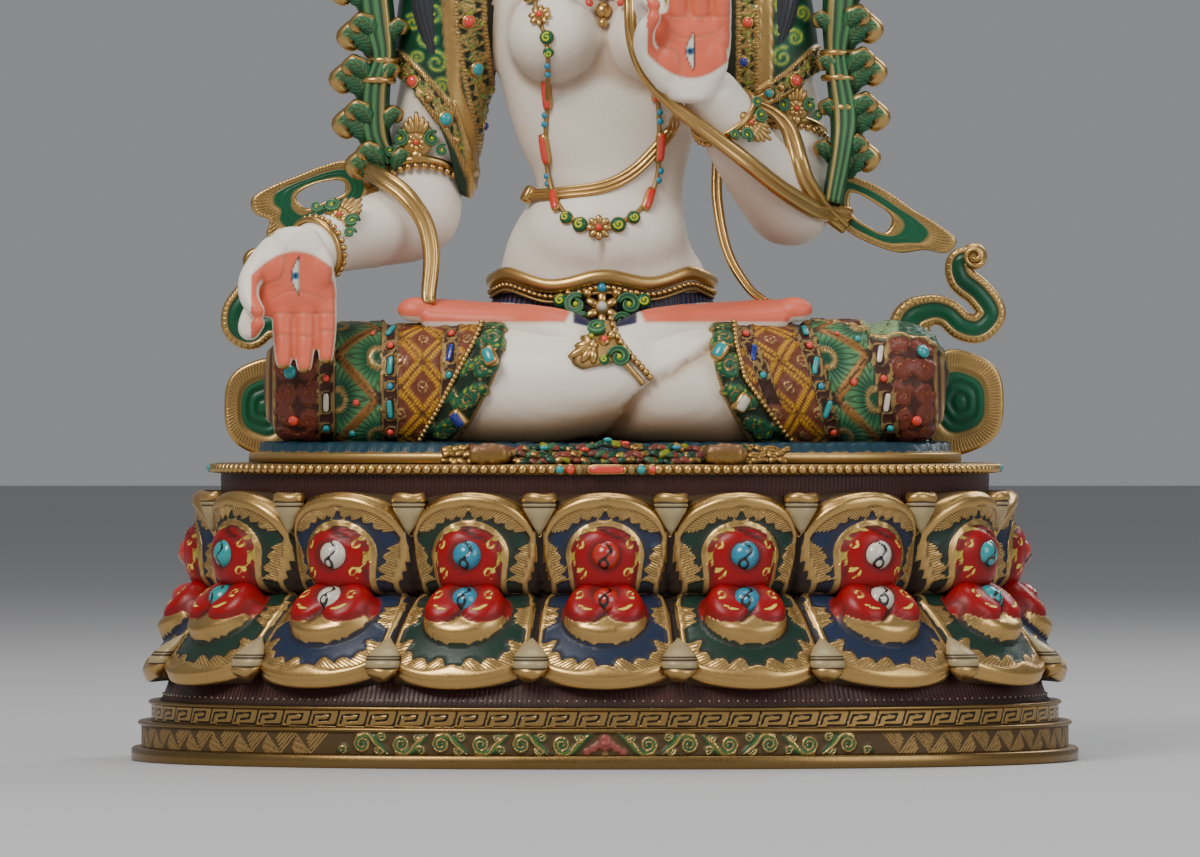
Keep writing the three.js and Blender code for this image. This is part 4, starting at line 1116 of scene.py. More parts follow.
class Form(Surface):
    """A fused skin, with its normals and how hollow it is round each point, 0 to 1."""

    def __init__(self, points, faces, finish):
        super().__init__(points, faces, finish)
        self.normals = point_normals(self.points, self.faces)
        dent = np.einsum("ij,ij->i", neighbour_mean(self.points, self.faces) - self.points,
                         self.normals)[:, None]
        for _ in range(4):
            dent = neighbour_mean(dent, self.faces)
        self.hollow = step(dent[:, 0], 0.01, 0.09)

    def dress(self, height=None, **facts):
        """Sets what the finishes read, and moves the points along their normals by a height."""
        self.say(**facts)
        if height is not None:
            self.points = self.points + self.normals * np.asarray(height)[:, None]
        return self

    def wear(self, work):
        """Takes over an ornament drawn over this form's points."""
        return self.dress(work.height, **work.facts((len(self.points),)))

    def rest(self, x, z, lift=0.0, back=False):
        """Places and normals on the front where the given x and z are, lifted off the skin."""
        seen = np.nonzero(self.normals[:, 1] * (-1 if back else 1) < 0.25)[0]
        x, z = np.atleast_1d(x).astype(float), np.atleast_1d(z).astype(float)
        places, normals = [], []
        for one_x, one_z in zip(x, z):
            near = np.hypot(self.points[seen, 0] - one_x, self.points[seen, 2] - one_z)
            close = seen[np.argsort(near)[:24]]
            depth = self.points[close, 1] * (-1 if back else 1)
            front = close[depth <= depth.min() + 4][:6]
            normal = self.normals[front].mean(axis=0)
            normals.append(normal / np.linalg.norm(normal))
            places.append((one_x, self.points[front, 1].mean(), one_z))
        normals = np.array(normals)
        return np.array(places) + normals * lift, normals


# Voxel size in millimetres and rounds of smoothing of each fused skin
FINENESS = {"body": (2.46, 7), "hand": (0.7, 9), "foot": (0.98, 7), "sleeve": (1.2, 4)}


def fused(surfaces, kind, finish=SKIN):
    """One closed skin round overlapping surfaces: a voxel remesh, then smoothing."""
    voxel, rounds = FINENESS[kind]
    polygons = [row for faces in numbered_on(surfaces) for face in faces for row in face.tolist()]
    mesh = bpy.data.meshes.new("form")
    mesh.from_pydata(np.concatenate([surface.points for surface in surfaces]) * MM, [], polygons)
    form = bpy.data.objects.new("form", mesh)
    bpy.context.scene.collection.objects.link(form)
    remesh = form.modifiers.new("Remesh", "REMESH")
    remesh.mode = "VOXEL"
    remesh.voxel_size = voxel * MM
    soft = form.modifiers.new("Smooth", "SMOOTH")
    soft.iterations = rounds
    done = form.evaluated_get(bpy.context.evaluated_depsgraph_get()).to_mesh()
    points, sizes = np.empty(len(done.vertices) * 3), np.empty(len(done.polygons), int)
    done.vertices.foreach_get("co", points)
    done.polygons.foreach_get("loop_total", sizes)
    corners = np.empty(len(done.loops), int)
    done.loops.foreach_get("vertex_index", corners)
    starts = np.cumsum(sizes) - sizes
    faces = [corners[starts[sizes == n][:, None] + np.arange(n)] for n in np.unique(sizes)]
    bpy.data.objects.remove(form)
    bpy.data.meshes.remove(mesh)
    return Form(points.reshape(-1, 3) / MM, faces, finish)


def facing(normals):
    """Axes of pieces that face along the normals: across, inward and up."""
    inward = -np.atleast_2d(normals)
    across = unit(np.cross(inward, UP))
    return np.stack([across, inward, np.cross(across, inward)], axis=1)


def turned(axes, angle):
    """Axes turned in their own face plane by an angle each."""
    angle = np.broadcast_to(angle, len(axes))[:, None]
    across = axes[:, 0] * np.cos(angle) + axes[:, 2] * np.sin(angle)
    up = axes[:, 2] * np.cos(angle) - axes[:, 0] * np.sin(angle)
    return np.stack([across, axes[:, 1], up], axis=1)


def strap(path, half, out, thickness, relief, columns, **facts):
    """A band along a path, its face turned out: across it a relief may stand, given at -1 to 1."""
    path = np.asarray(path, float)
    half = np.broadcast_to(half, (len(path),))[:, None, None]
    along = unit(np.gradient(path, axis=0))
    across = unit(np.cross(along, np.broadcast_to(np.asarray(out, float), path.shape)))
    face = np.cross(across, along)
    place = np.linspace(-1, 1, columns)
    height = relief(place) + thickness / 2
    rim = np.sqrt(np.clip(1 - place ** 2, 0, 1)) ** 0.3
    front = (path[:, None] + across[:, None] * half * place[None, :, None]
             + face[:, None] * (height * rim)[None, :, None])
    back = (path[:, None] + across[:, None] * half * place[None, ::-1, None]
            - face[:, None] * (thickness / 2 * rim)[None, :, None])[:, 1:-1]
    made = {}
    for name, value in facts.items():
        value = np.asarray(value(place[None] + 0 * run_along(path)[:, None],
                                 run_along(path)[:, None] + 0 * place[None])
                           if callable(value) else value, float)
        if value.ndim >= 2:
            value = np.concatenate([value, value[:, -2:0:-1]], axis=1)
        made[name] = value
    return closed_grid(np.concatenate([front, back], axis=1), **made)


def beads(places, normals, radius, colour="gold", finish=CAST, flat=1.0, columns=8, rows=5):
    """Round beads on the given places, flattened along their normals."""
    bead = ball((0, 0, 0), (radius, radius * flat, radius), columns, rows, finish=finish, paint=tone(colour))
    return copies(bead, places, facing(normals))


def bar(place, normal, angle, half_length, half_width, colour, finish=STONE):
    """A rounded bar of stone, lying at an angle from upright."""
    piece = ball((0, 0, 0), (half_width, half_width * 0.8, half_length), 10, 8, power=0.5, finish=finish,
                 paint=tone(colour))
    return copies(piece, np.atleast_2d(place), turned(facing(normal), angle))


def gem(place, normal, radius, colour, flat=0.8):
    """A stone, or a smooth bead of gold or painted lime, flattened along its normal."""
    return beads(place, normal, radius, colour, CAST if colour in ("gold", "lime") else STONE, flat, 12, 8)


def rosette(place, normal, radius, heart="coral", petals=8):
    """A gilt flower: round petals about a heart of stone, each petal an egg."""
    place, axes = np.atleast_2d(place), facing(normal)
    petal = ball((0, 0, radius * 0.62), (radius * 0.27, radius * 0.2, radius * 0.4), 10, 7)
    cup = ball((0, -radius * 0.1, 0), (radius * 0.42, radius * 0.24, radius * 0.42), 12, 6, recess=0.5)
    stone = ball((0, -radius * 0.24, 0), np.full(3, radius * 0.3), 12, 8, finish=STONE, paint=tone(heart))
    around_it = turned(np.repeat(axes, petals, axis=0), turns(petals))
    return [copies(petal, np.repeat(place, petals, axis=0), around_it), copies(cup, place, axes),
            copies(stone, place, axes)]


# The figure's skin, in millimetres above its seat

TORSO = [(0, 16, 8, 44, 34), (-1, 12, 50, 46, 33), (-1, 10.5, 62, 44.5, 31), (-1.2, 8.5, 72, 41.5, 28.5),
         (-1, 6, 82, 38, 26.5), (2, 3, 102, 29.5, 22), (2, 3, 114, 31, 22.5), (1, 3, 127, 36, 24.5),
         (0, 3, 145, 40.5, 26.5), (-1, 4, 170, 45, 27.5), (-1, 5, 194, 46, 25), (-1, 6, 206, 40, 21),
         (-1, 6, 214, 28, 17), (0, 5, 222, 15.5, 15), (0, 2, 244, 14, 14.5)]
LOWERED_ARM = [(-47, 8, 196, 16), (-58, 8, 186, 18.5), (-64, 9, 155, 17.3), (-70, 10, 126, 16.8),
               (-74, 9, 108, 17), (-75, -1, 94, 16), (-90, -22, 89, 15), (-106, -44, 84, 12.6),
               (-113, -54, 81, 12), (-117, -58, 79, 11.5)]
RAISED_ARM = [(47, 8, 196, 16), (58, 8, 186, 18.5), (65, 9, 155, 17.5), (69, 9, 140, 17.3),
              (71.5, 9, 128, 17.3), (76, 6, 108, 16.5), (74, -4, 97, 15.5), (65, -17, 108, 15.3),
              (55, -30, 121, 13.6), (50, -35, 130, 13.2), (41, -44, 144, 11.5)]
SHIN_FRONT = [(-76, -36, 26, 20, 23), (-56, -46, 26, 21, 23.6), (-40, -52.4, 26, 21.4, 23.6),
              (-22, -58, 26, 20, 22.5), (0, -62, 30, 18, 19.5), (14, -62, 37, 15, 14)]
SHIN_BACK = [(76, -36, 26, 20, 23), (56, -46, 26, 21, 23.6), (40, -52, 26, 21.4, 23.6),
             (22, -56, 26, 20, 22.5), (-2, -52, 24, 16, 20)]


def skin_facts(form, hollow_dark=0.6):
    """Ivory, turned brown on the undersides as painted shade, most strongly low on the figure, and darker
    brown where the skin is hollow.
    """
    # The undersides turn brown as painted shade, most strongly on the lap and shins.
    under = step(-form.normals[:, 2], -0.3, 0.75)
    toward_brown = tone("ivory") * (0.4, 0.25, 0.14, 1) - tone("ivory")
    underside_shade_strength = 0.95 - 0.66 * step(form.points[:, 2], 35, 60)
    paint = tone("ivory") + toward_brown * np.clip(underside_shade_strength * under ** 1.5 + 0.35 * form.hollow, 0, 1)[:, None]
    # Recess where the skin is hollow, and a little on the undersides as painted shade.
    return {"paint": paint, "recess": np.maximum(form.hollow * hollow_dark, 0.12 * under)}


SHIN_CREASE = [(-8, 1), (2.5, 10.6), (9.5, 19.5), (18.3, 29.4), (26.2, 33.3), (34.1, 38.3), (42, 43.5),
               (50, 46.5)]


def shin_overlap(x, z):
    """Where one shin lies over the other: relief, painted shade in the crease, and how strongly a painted
    shadow darkens the shin below the crease.
    """
    line = np.array(SHIN_CREASE)
    below = np.interp(x, line[:, 0], line[:, 1]) > z
    near = np.maximum(gap_to(rows_of(x, z), [stroke(SHIN_CREASE, 0.0)]), 0)
    away = np.where(below, -near, near)
    upper = step(away, -1.6, 1.6)
    relief = 0.8 * upper * np.exp(-near / 3.5) - 2.8 * (1 - upper) * np.exp(-near / 5)
    soft = step(x, 16, 26)
    return relief, (0.9 - 0.45 * soft) * bell(away, -0.8, 1.5 + soft), below * np.exp(-near / 6)


SKIRT_TOP = 64.0


def make_body():
    """Torso, arms and shins fused into one skin, with a navel and a dark skirt under the belt."""
    parts = [limb(TORSO, squareness=2.2, round_end=0.1, count=60)]
    parts += [limb(arm, ACROSS_ARM, count=60) for arm in (LOWERED_ARM, RAISED_ARM)]
    parts += [limb(shin, ACROSS_ARM, squareness=2.3) for shin in (SHIN_FRONT, SHIN_BACK)]
    parts += [egg(x, -20, 166, 19, 19, 18.5) for x in (-20.5, 19.5)]
    parts.append(egg(-0.5, -4.5, 87, 33, 19.5, 25))
    form = fused(parts, "body")
    x, y, z = form.points.T
    middle = (np.abs(x) < 50) & (y > -36) & (y < 60)
    navel = bell(x, -1.2, 1.3) * bell(z, 80.5, 4.5) * (y < -14)
    fold = bell(z, 75.5 + 0.004 * x ** 2, 1.6) * (np.abs(x) < 12) * (y < -10) * 0.5
    facts = skin_facts(form)
    lap = (y < -28) & (z < 50)
    relief, crease, painted_shadow = (value * lap for value in shin_overlap(x, z))
    # Painted shade in the navel, the belly's fold and the crease between the shins; below the crease a
    # painted shadow darkens the lower shin.
    facts["recess"] = np.clip(facts["recess"] + navel * 0.8 + fold * 0.4 + crease, 0, 1)
    facts["paint"] = facts["paint"] * (1 - painted_shadow[:, None] * np.array([0.3, 0.42, 0.52, 0]))
    facts["line"] = only(middle, z - SKIRT_TOP)
    facts["overlay"] = tone("lapis") * (0.35, 0.4, 0.3, 0)
    facts["hatch"] = np.abs(np.arctan2(x, -(y - 10))) * 44 / 2.6
    facts["engrave"] = middle * (z < SKIRT_TOP - 1) * 0.8
    return form.dress(relief - 1.6 * navel - 0.5 * fold, **facts)


LOWERED_HAND, RAISED_HAND = (-122, -66, 67, -1), (34, -52, 161, 1)
PALM = [(0, 2, -19, 9.5, 8.5), (0, 1, -13, 13, 8.4), (0.5, 0, -4, 15.8, 7.2), (0, -0.5, 6, 16.2, 6.2),
        (-0.5, -0.5, 11, 15.2, 5)]
FINGERS = [
    [(-11.8, -1, 8, 4.3), (-12.2, -2.4, 15, 4.0), (-12.2, -4, 22, 3.6), (-11.9, -5.5, 29, 3.0)],
    [(-3.6, -1, 8, 4.7), (-3.7, -2.6, 17, 4.4), (-3.6, -4.4, 25, 4.0), (-3.3, -6, 32.5, 3.2)],
    [(5.1, -1, 8, 4.7), (5.2, -2.6, 16, 4.4), (5.0, -4.4, 24, 4.0), (4.8, -6, 31, 3.2)],
    [(13, 0, 6, 4.5), (17.2, -3, 12, 4.2), (19, -7, 17.5, 3.9), (17.4, -12, 19, 3.5), (14.6, -15, 16, 2.9)],
    [(9, 0, -13, 6), (14.5, -3.5, -7, 5.3), (18.2, -7.5, -0.5, 4.6), (18, -12, 6, 4.0), (14.8, -15, 11, 3.1)],
]


def painted_eye(work, x, z, half_length, half_width):
    """An upright almond eye: dark outline, white, and a blue ring round a dark pupil."""
    a, b = work.points[:, 0] - x, work.points[:, 1] - z
    bend = 0.8 * np.cos(b / half_length * 2.0) - 0.5
    lens = np.abs(a + bend) - half_width * (1 - (b / half_length) ** 2)
    work.fill(lens - 0.5, tone("dark") * 2, 0, 0.3)
    work.fill(lens, tone("shell") * 1.15, 0, 0.3)
    iris = np.maximum(np.hypot(a + bend, b) - half_width * 1.1, lens)
    work.fill(iris, tone("sky") * (0.5, 0.6, 0.8, 0), 0, 0.3)
    work.fill(iris + half_width * 0.55, tone("dark"), 0, 0.3)


def make_hand(centre):
    """A hand, palm to the viewer: three straight fingers and a forefinger bent to the thumb; the palm and
    the fingers' inner sides are salmon, the nails gilt, with an eye painted in the palm."""
    x, y, z, way = centre
    to_world = np.array([-1, 1, way])
    side = (1.0, 0.0, 0.02)

    def placed(surface):
        return Surface(surface.points * to_world + (x, y, z), surface.faces)
    parts = [limb(PALM, squareness=2.5, round_end=0.4), egg(8.5, -3.5, -6, 6.5, 5, 9.5),
             egg(-9, -3, -5, 6, 4.6, 10)]
    parts += [limb(finger, side, 18, count=24, round_end=1.0) for finger in FINGERS]
    form = fused([placed(part) for part in parts], "hand")
    a, b = (x - form.points[:, 0]), (form.points[:, 2] - z) * way
    d = form.points[:, 1] - y
    work = Ornament(form.points[:, [0, 2]], tone("ivory"))
    work.recess = np.clip(form.hollow * 1.3, 0, 0.8)
    palm = (b > -19) & (a < 17.5)
    heel = 0.032 * a ** 2 - 12.6 - b
    inner = only(palm, np.maximum((form.normals[:, 1] + 0.5) * 4.0, heel))
    work.fill(inner, tone("salmon"), 0, 0.45)
    work.add_dirt_and_shade(0.35 * plateau(inner, -0.8, 0.6, 0.6) * palm)
    creases = [stroke([(9, 6), (2, 3), (-8, 5), (-13, 8)], 0.35),
               stroke([(14, 1), (6, -2), (4, -8), (4, -14)], 0.35)]
    creases += [stroke([(q - 3.6, r), (q, r - 0.4), (q + 3.6, r)], 0.3)
                for q, rows in ((-12, (12, 19)), (-3.6, (12, 21)), (5.1, (12, 20.5))) for r in rows]
    gap = gap_to(rows_of(a, b), creases) + np.where(form.normals[:, 1] < -0.3, 0, 9)
    work.add_dirt_and_shade(0.75 * (1 - step(gap, -0.2, 0.5)))
    work.height -= 0.35 * (1 - step(gap, -0.3, 0.7))
    tips = np.min([np.linalg.norm(rows_of(a, d, b) - (q, e - 1, r + 2.4), axis=1)
                   for q, e, r in ((-11.9, -5.5, 29), (-3.3, -6, 32.5), (4.8, -6, 31))], axis=0)
    work.fill(tips - 2.3, tone("gold"), 0, 0.4, recess=0.1)
    painted_eye(work, *((x, z - 2, 7.0, 1.4) if way > 0 else (x + 0.2, z + 3, 6.8, 1.3)))
    return form.wear(work)


def make_foot(s):
    """A foot, sole up: the sole salmon above a white side, with five toes and an eye painted on it."""
    parts = [limb([(s * 6, -60, 40, 13, 11), (s * 18, -54, 46.5, 14.5, 10.5), (s * 32, -47, 50, 13, 8.6),
                   (s * 50, -41, 51.5, 13.5, 7.2), (s * 68, -37, 53, 14.5, 6.4)], ACROSS_ARM, squareness=2.4),
             egg(s * 75, -45, 56.2, 7.6, 5.2, 5)]
    parts += [egg(s * (75 - 1.4 * k), -36.5 + 5.2 * k, 56.4 - 0.5 * k, 6 - 0.6 * k, 2.9, 3.8 - 0.3 * k)
              for k in range(4)]
    for part in parts:
        part.points[:, 2] += 0.13 * np.clip(part.points[:, 1] + 50, 0, 30)
    form = fused(parts, "foot")
    x, y, z = form.points.T
    work = Ornament(rows_of(x, y), tone("ivory"))
    work.recess = np.clip(form.hollow * 1.2, 0, 0.8)
    heel = np.maximum(13.5 + 0.16 * np.clip(58 - z, 0, 9) ** 1.5 - s * x, 51.8 - z)
    edge = np.maximum((0.08 - 0.6 * step(s * x, 48, 68) - form.normals[:, 2]) * 5, heel)
    work.fill(np.maximum(np.abs(x) - 12.5, 49.5 + 0.012 * x ** 2 - z), tone("lapis") * 0.22, 0, 0.4)
    work.fill(edge, tone("salmon"), 0, 0.5)
    work.add_dirt_and_shade(0.4 * plateau(edge, -0.3, 0.9, 0.5))
    eye = rows_of(y, x)
    look = Ornament(eye, tone("ivory"))
    look.paint = work.paint
    painted_eye(look, -43, s * 34, 8, 2.4)
    work.paint = np.where((form.normals[:, 2] > 0.3)[:, None], look.paint, work.paint)
    return form.wear(work)


# Sleeves of patterned cloth round the legs. Their lines are listed as distance from the middle and height.

SLEEVES = {
    -1: {"edge": [(60.3, 3.6), (52, 11.9), (43.7, 26.6), (39.1, 37.7), (36.8, 53)],
         "rope": [(73.2, 5.5), (66, 17), (58.6, 31), (52, 43), (48.8, 50.6)],
         "lapis": [(62, 19), (61.4, 30), (61, 40), (60.4, 51)], "lean": 0.0},
    1: {"edge": [(56.8, 4.4), (53, 9.3), (46.1, 20.9), (42.3, 32.6), (40.8, 42.4), (40.6, 52)],
        "rope": [(76.3, 3), (71.4, 7.5), (62.7, 19), (54.9, 29.8), (51.5, 43.4), (51, 52)],
        "lapis": [(70, 12), (66.8, 19), (63.3, 27), (60.9, 35), (55.9, 44), (55, 52)], "lean": 0.27},
}


def at_height(line, z):
    """A listed line's distance from the middle at each height."""
    rows = np.array(line)
    return np.interp(z, rows[:, 1], rows[:, 0])


def box_gap(a, b, half_a, half_b, corner=0.8):
    """Signed distance to a rounded rectangle's edge, negative inside."""
    qa, qb = np.abs(a) - half_a + corner, np.abs(b) - half_b + corner
    return np.hypot(np.maximum(qa, 0), np.maximum(qb, 0)) + np.minimum(np.maximum(qa, qb), 0) - corner


def scrollwork(x_low, x_high, y_low, y_high, pitch, half):
    """Coils in rows, turned by turns one way and the other, each with a stem to the next."""
    strokes = []
    for j, y in enumerate(np.arange(y_low + pitch / 2, y_high, pitch)):
        for i, x in enumerate(np.arange(x_low + pitch / 2, x_high, pitch)):
            way = 1 if (i + j) % 2 else -1
            strokes.append(coil(x, y, pitch * 0.42, way * 1.4 + j, way * 1.5, half, 22))
            strokes.append(stroke([(x + pitch * 0.3, y + way * pitch * 0.3), (x + pitch * 0.55, y),
                                   (x + pitch * 0.75, y - way * pitch * 0.25)], half * 0.8, 8))
    return strokes


SETTINGS = {"shell": [(39, "bar"), (29.5, "bead"), (20, "bar"), (10, "bead")],
            "turquoise": [(48.2, "bar"), (42.4, "bead"), (34.6, "bar"), (26.4, "bead"), (17.4, "bar"),
                          (8.4, "bead")],
            "lapis": [(47, "bead"), (39.5, "bar"), (30.8, "bead")]}
BAND_CENTRES = {"turquoise": 84.9, "shell": 110.7, "lapis": None}
# Colour, distance from the middle and height, and a radius where it isn't the same for all
TEARDROPS = {-1: [("turquoise", 45.5, 38), ("lapis", 57.5, 14)],
             1: [("turquoise", 45.5, 40), ("shell", 53.5, 20)]}
LOOSE_STONES = {
    -1: [("coral", 98.4, 20, 1.5), ("turquoise", 124.8, 32, 2.8), ("coral", 123.5, 13, 2.2),
         ("coral", 92, 47, 1.1), ("turquoise", 100, 8, 1.4)],
    1: [("coral", 98.4, 28, 1.5), ("turquoise", 126, 40, 2.8), ("coral", 123.5, 13, 2.2),
        ("coral", 92, 47, 1.1), ("turquoise", 100, 45, 1.4)],
}
BEADS_IN = {"shell": ("coral", "turquoise"), "turquoise": ("coral", "sky"), "lapis": ("coral", "turquoise")}


def band_lean(s, out):
    """How far a sleeve's pattern leans at a distance from the middle."""
    return SLEEVES[s]["lean"] * np.clip(1 - (out - 87) / 49, 0, 1.6)


def make_sleeve(s):
    """One leg's sleeve: a fused thigh, knee and shin, its bands drawn by distance from the middle and by the
    way round the leg; bars, beads and teardrops of stone are set on it."""
    lines = SLEEVES[s]

    def to_edge(points):
        """How far the last section goes on to meet the sleeve's own edge."""
        return (s * points[..., 0] - at_height(lines["edge"], points[..., 2])) / 0.88
    parts = [limb([(s * 50, 20, 26.5, 29, 24.5), (s * 76, 14, 26.5, 29, 24.5), (s * 104, -4, 26.5, 28, 24)],
                  ACROSS_ARM, squareness=2.3),
             egg(s * 108, -14, 26.5, 28.5, 35.6, 24.8, 2.8),
             limb([(s * 104, -22, 26, 25, 25.2), (s * 76, -36, 26, 24.4, 25.4),
                   (s * 57, -46, 26, 23.6, 25.2)],
                  ACROSS_ARM, squareness=2.3, count=50, round_end=0.05, reach=to_edge)]
    form = fused(parts, "sleeve", CAST)
    x, y, z = form.points.T
    out = s * x
    axis = np.interp(out, [40, 57, 76, 104, 140], [-50, -46, -36, -18, -14])
    way_up = np.arctan2(z - 26, -(y - axis))
    h = 26 + 26 * way_up
    a = out + band_lean(s, out) * (np.clip(z, 0, 52) - 28)
    work = Ornament(rows_of(a, h), tone("brocade") * 0.55 + tone("dark") * 0.3)
    rope = at_height(lines["rope"], z)
    lapis = at_height(lines["lapis"], z)
    draw_lattice(work, a, h)
    draw_palmettes(work, a, h)
    draw_maroon_panel(work, a, h)
    for name, centre in BAND_CENTRES.items():
        across = a - centre if centre else out - lapis
        inside = (np.abs(across) < 3.6) & ((z > 19) | bool(centre))
        band = only(inside, np.abs(across) - 3.5)
        work.fill(band, tone("brocade") * 0.4, -0.3, 0.4, recess=0.55)
        work.change(band < 0, engrave=0)
        work.trace(only(inside, np.abs(np.abs(across) - 3.1) - 0.5))
        work.height += 0.7 * plateau(np.abs(across), 2.5, 3.8, 0.4) * inside
        for height, kind in SETTINGS[name]:
            cell = box_gap(across, z - height, 1.9, 4.4 if kind == "bar" else 1.9, 1.4)
            work.trace(only(form.normals[:, 1] < 0.5, np.abs(cell) - 0.4))
            work.height += 0.6 * bell(cell, 0, 0.6)
    edge = out - at_height(lines["edge"], z)
    field = Ornament(rows_of(edge, h), tone("leaf") * 0.24)
    field.recess[:] = 0.3
    coils = gap_to(field.points, scrollwork(1.2, 26, -30, 80, 11.5, 1.6))
    field.fill(coils, tone("leaf") * 0.8, 1.1, 0.4, recess=0)
    field.fill(coils + 1.15, tone("lime") * 0.9, 0.2, 0.25)
    field.fill(np.abs(edge - 1.2) - 1.1, tone("gold"), 0.6, 0.3, recess=0)
    field.trace(np.abs(coils) - 0.22)
    field.hatch = h / 1.15
    field.engrave = (np.abs(edge - 1.2) < 1.1) * 0.9
    work.change(out < rope, height=field.height, **{fact: getattr(field, fact) for fact in FACTS})
    # Painted shade beside the bead rope.
    work.add_dirt_and_shade(0.5 * bell(out - rope, 0, 2.2))
    if s > 0:
        draw_drape(work, a, h)
    form.wear(work)
    return [form, *sleeve_stones(form, s)]


def draw_lattice(work, a, h):
    """Diamonds between slanted double lines of yellow and orange stitches, a small flower in each."""
    period = 17.5
    p, q = (a - 72 + (h - 26) * 0.875) / period, (a - 72 - (h - 26) * 0.875) / period
    near_p, near_q = (np.abs(np.mod(value, 1) - 0.5) * period * 0.75 for value in (p, q))
    field = a < 82
    near = np.minimum(near_p, near_q)
    stitches = np.where(near_p < near_q, q, p) * period / 1.7
    glow = plateau(near, 0.5, 2.1, 0.35)
    thread = tone("rust") * (1.15, 1.2, 0.5, 0) + tone("lime") * 0.34
    warm = tone("rust") * 0.26 + tone("brocade") * 0.75
    work.change(field, paint=warm + (thread - warm) * glow[:, None], hatch=stitches, engrave=glow,
                recess=0.4 - 0.4 * glow + 0.35 * (1 - step(near, 0.2, 0.6)))
    centre = np.hypot(period * 0.375 - near_p, period * 0.375 - near_q)
    turn = np.arctan2(period * 0.375 - near_p, period * 0.375 - near_q)
    flower = centre - 2.3 - 0.8 * np.cos(4 * turn)
    work.fill(only(field, flower), tone("brocade") * 1.1, 0.5, 0.3, recess=0.1)
    work.trace(only(field, np.abs(centre - 1.9) - 0.4), tone("gold"))
    work.trace(only(field, centre - 0.6), tone("gold"))
    work.height += 0.4 * glow * field


def draw_palmettes(work, a, h):
    """Triangles point by turns to the knee and away: each a fan of green leaf, with a spike between two."""
    inside = (a > 88.2) & (a < 107.4)
    period = 29.0
    phase = np.mod((h - 22) / period, 1)
    wave = 89.5 + 16.5 * (1 - np.abs(2 * phase - 1))
    from_line = (a - wave) * 0.66
    heart_a = np.where(a < wave, 89.6, 106)
    heart_h = np.where(a < wave, 14.5, 0.0)
    away_h = np.abs(np.mod(h - 22 - heart_h + period / 2, period) - period / 2)
    reach, turn = np.hypot(a - heart_a, away_h), np.arctan2(away_h, np.abs(a - heart_a))
    lobes = 10.8 + 1.4 * np.abs(np.sin(turn * 5)) - reach + 2.0 * bell(turn, 0, 0.4)
    leaf = np.minimum(lobes, np.abs(from_line) - 1.6)
    green = tone("leaf") * 0.8 + tone("pale") * 0.35 * step(reach, 5, 10)[:, None]
    work.change(inside, paint=tone("leaf") * 0.2 + tone("dark") * 0.8, recess=0.7)
    work.fill(only(inside, -leaf), green, 1.0, 0.4, recess=0.05)
    work.change(inside, hatch=turn * 4.2 + 0.12 * reach, engrave=(leaf > 0) * 0.85)
    work.fill(only(inside, np.abs(reach - 3.4) - 0.9), tone("gold"), 0.5, 0.4, recess=0.1)
    spike = np.abs(from_line) - 1.7 * plateau(a, 90.5, 105.5, 3.2)
    work.fill(only(inside, spike), tone("rust") * 0.45 + tone("gold") * (0.35, 0.35, 0.3, 0.6), 1.3, 0.3,
              recess=0.1)
    work.change(inside & (np.abs(from_line) < 0.3), recess=0.9)
    work.trace(only(inside, np.abs(leaf) - 0.16), tone("pale"))


def draw_drape(work, a, h):
    """The end of a cloth over the right knee: striped, netted and plain parts inside a raised gold edge."""
    low = np.interp(a, [84, 96, 106, 110, 136], [62, 56, 47, 41.5, 42.5])
    over = only(a > 85, low + 1.6 * np.abs(np.sin(np.pi * (a - 106) / 8)) * (a > 106) - h)
    work.change(over < 0.4, line=FAR)
    work.change(over < 0, engrave=0)
    colour = np.where((a < 106)[:, None], tone("maroon") * 0.9 + tone("red") * 0.15,
                      np.where((a < 119)[:, None], tone("pale") * 0.6 + tone("shell") * 0.15,
                               tone("leaf") * 0.55))
    work.fill(over, colour, 0.9, 0.4, recess=0.15)
    stripes = np.abs(np.mod(h + 0.55 * a, 4.4) - 2.2) - 0.42
    net = np.minimum(np.abs(np.mod(h + a, 2.6) - 1.3), np.abs(np.mod(h - a, 2.6) - 1.3)) - 0.2
    work.trace(only((over < -1.6) & (a < 105), stripes))
    work.trace(only((over < -1.6) & (a > 107) & (a < 118), net), tone("dark") * 2.5)
    work.trace(only(over < 0.6, np.minimum(np.abs(over + 0.9) - 0.7, np.abs(a - 106) - 0.5)))
    work.height += 0.5 * bell(over, -0.9, 0.9)


def draw_maroon_panel(work, a, h):
    """Maroon cloth with scrolls in relief out to the knee's end, which is ringed with gold lines."""
    inside = (a > 114.2) & (a < 131)
    coils = gap_to(rows_of(a, h), scrollwork(113.5, 132, -42, 92, 8.8, 1.3))
    work.change(a > 114, paint=tone("maroon") * 0.55 + tone("brocade") * 0.3, recess=0.45)
    work.fill(only(inside, coils), tone("brocade") * 0.95, 1.0, 0.45, recess=0.0)
    work.trace(only(inside, np.abs(coils) - 0.16), tone("rust"))
    for edge in (131.4, 134.2):
        work.fill(np.abs(a - edge) - 0.6, tone("gold"), 0.7, 0.3, recess=0)
    work.fill(137.0 - a, tone("leaf") * 0.35, 0, 0.4, recess=0.4)


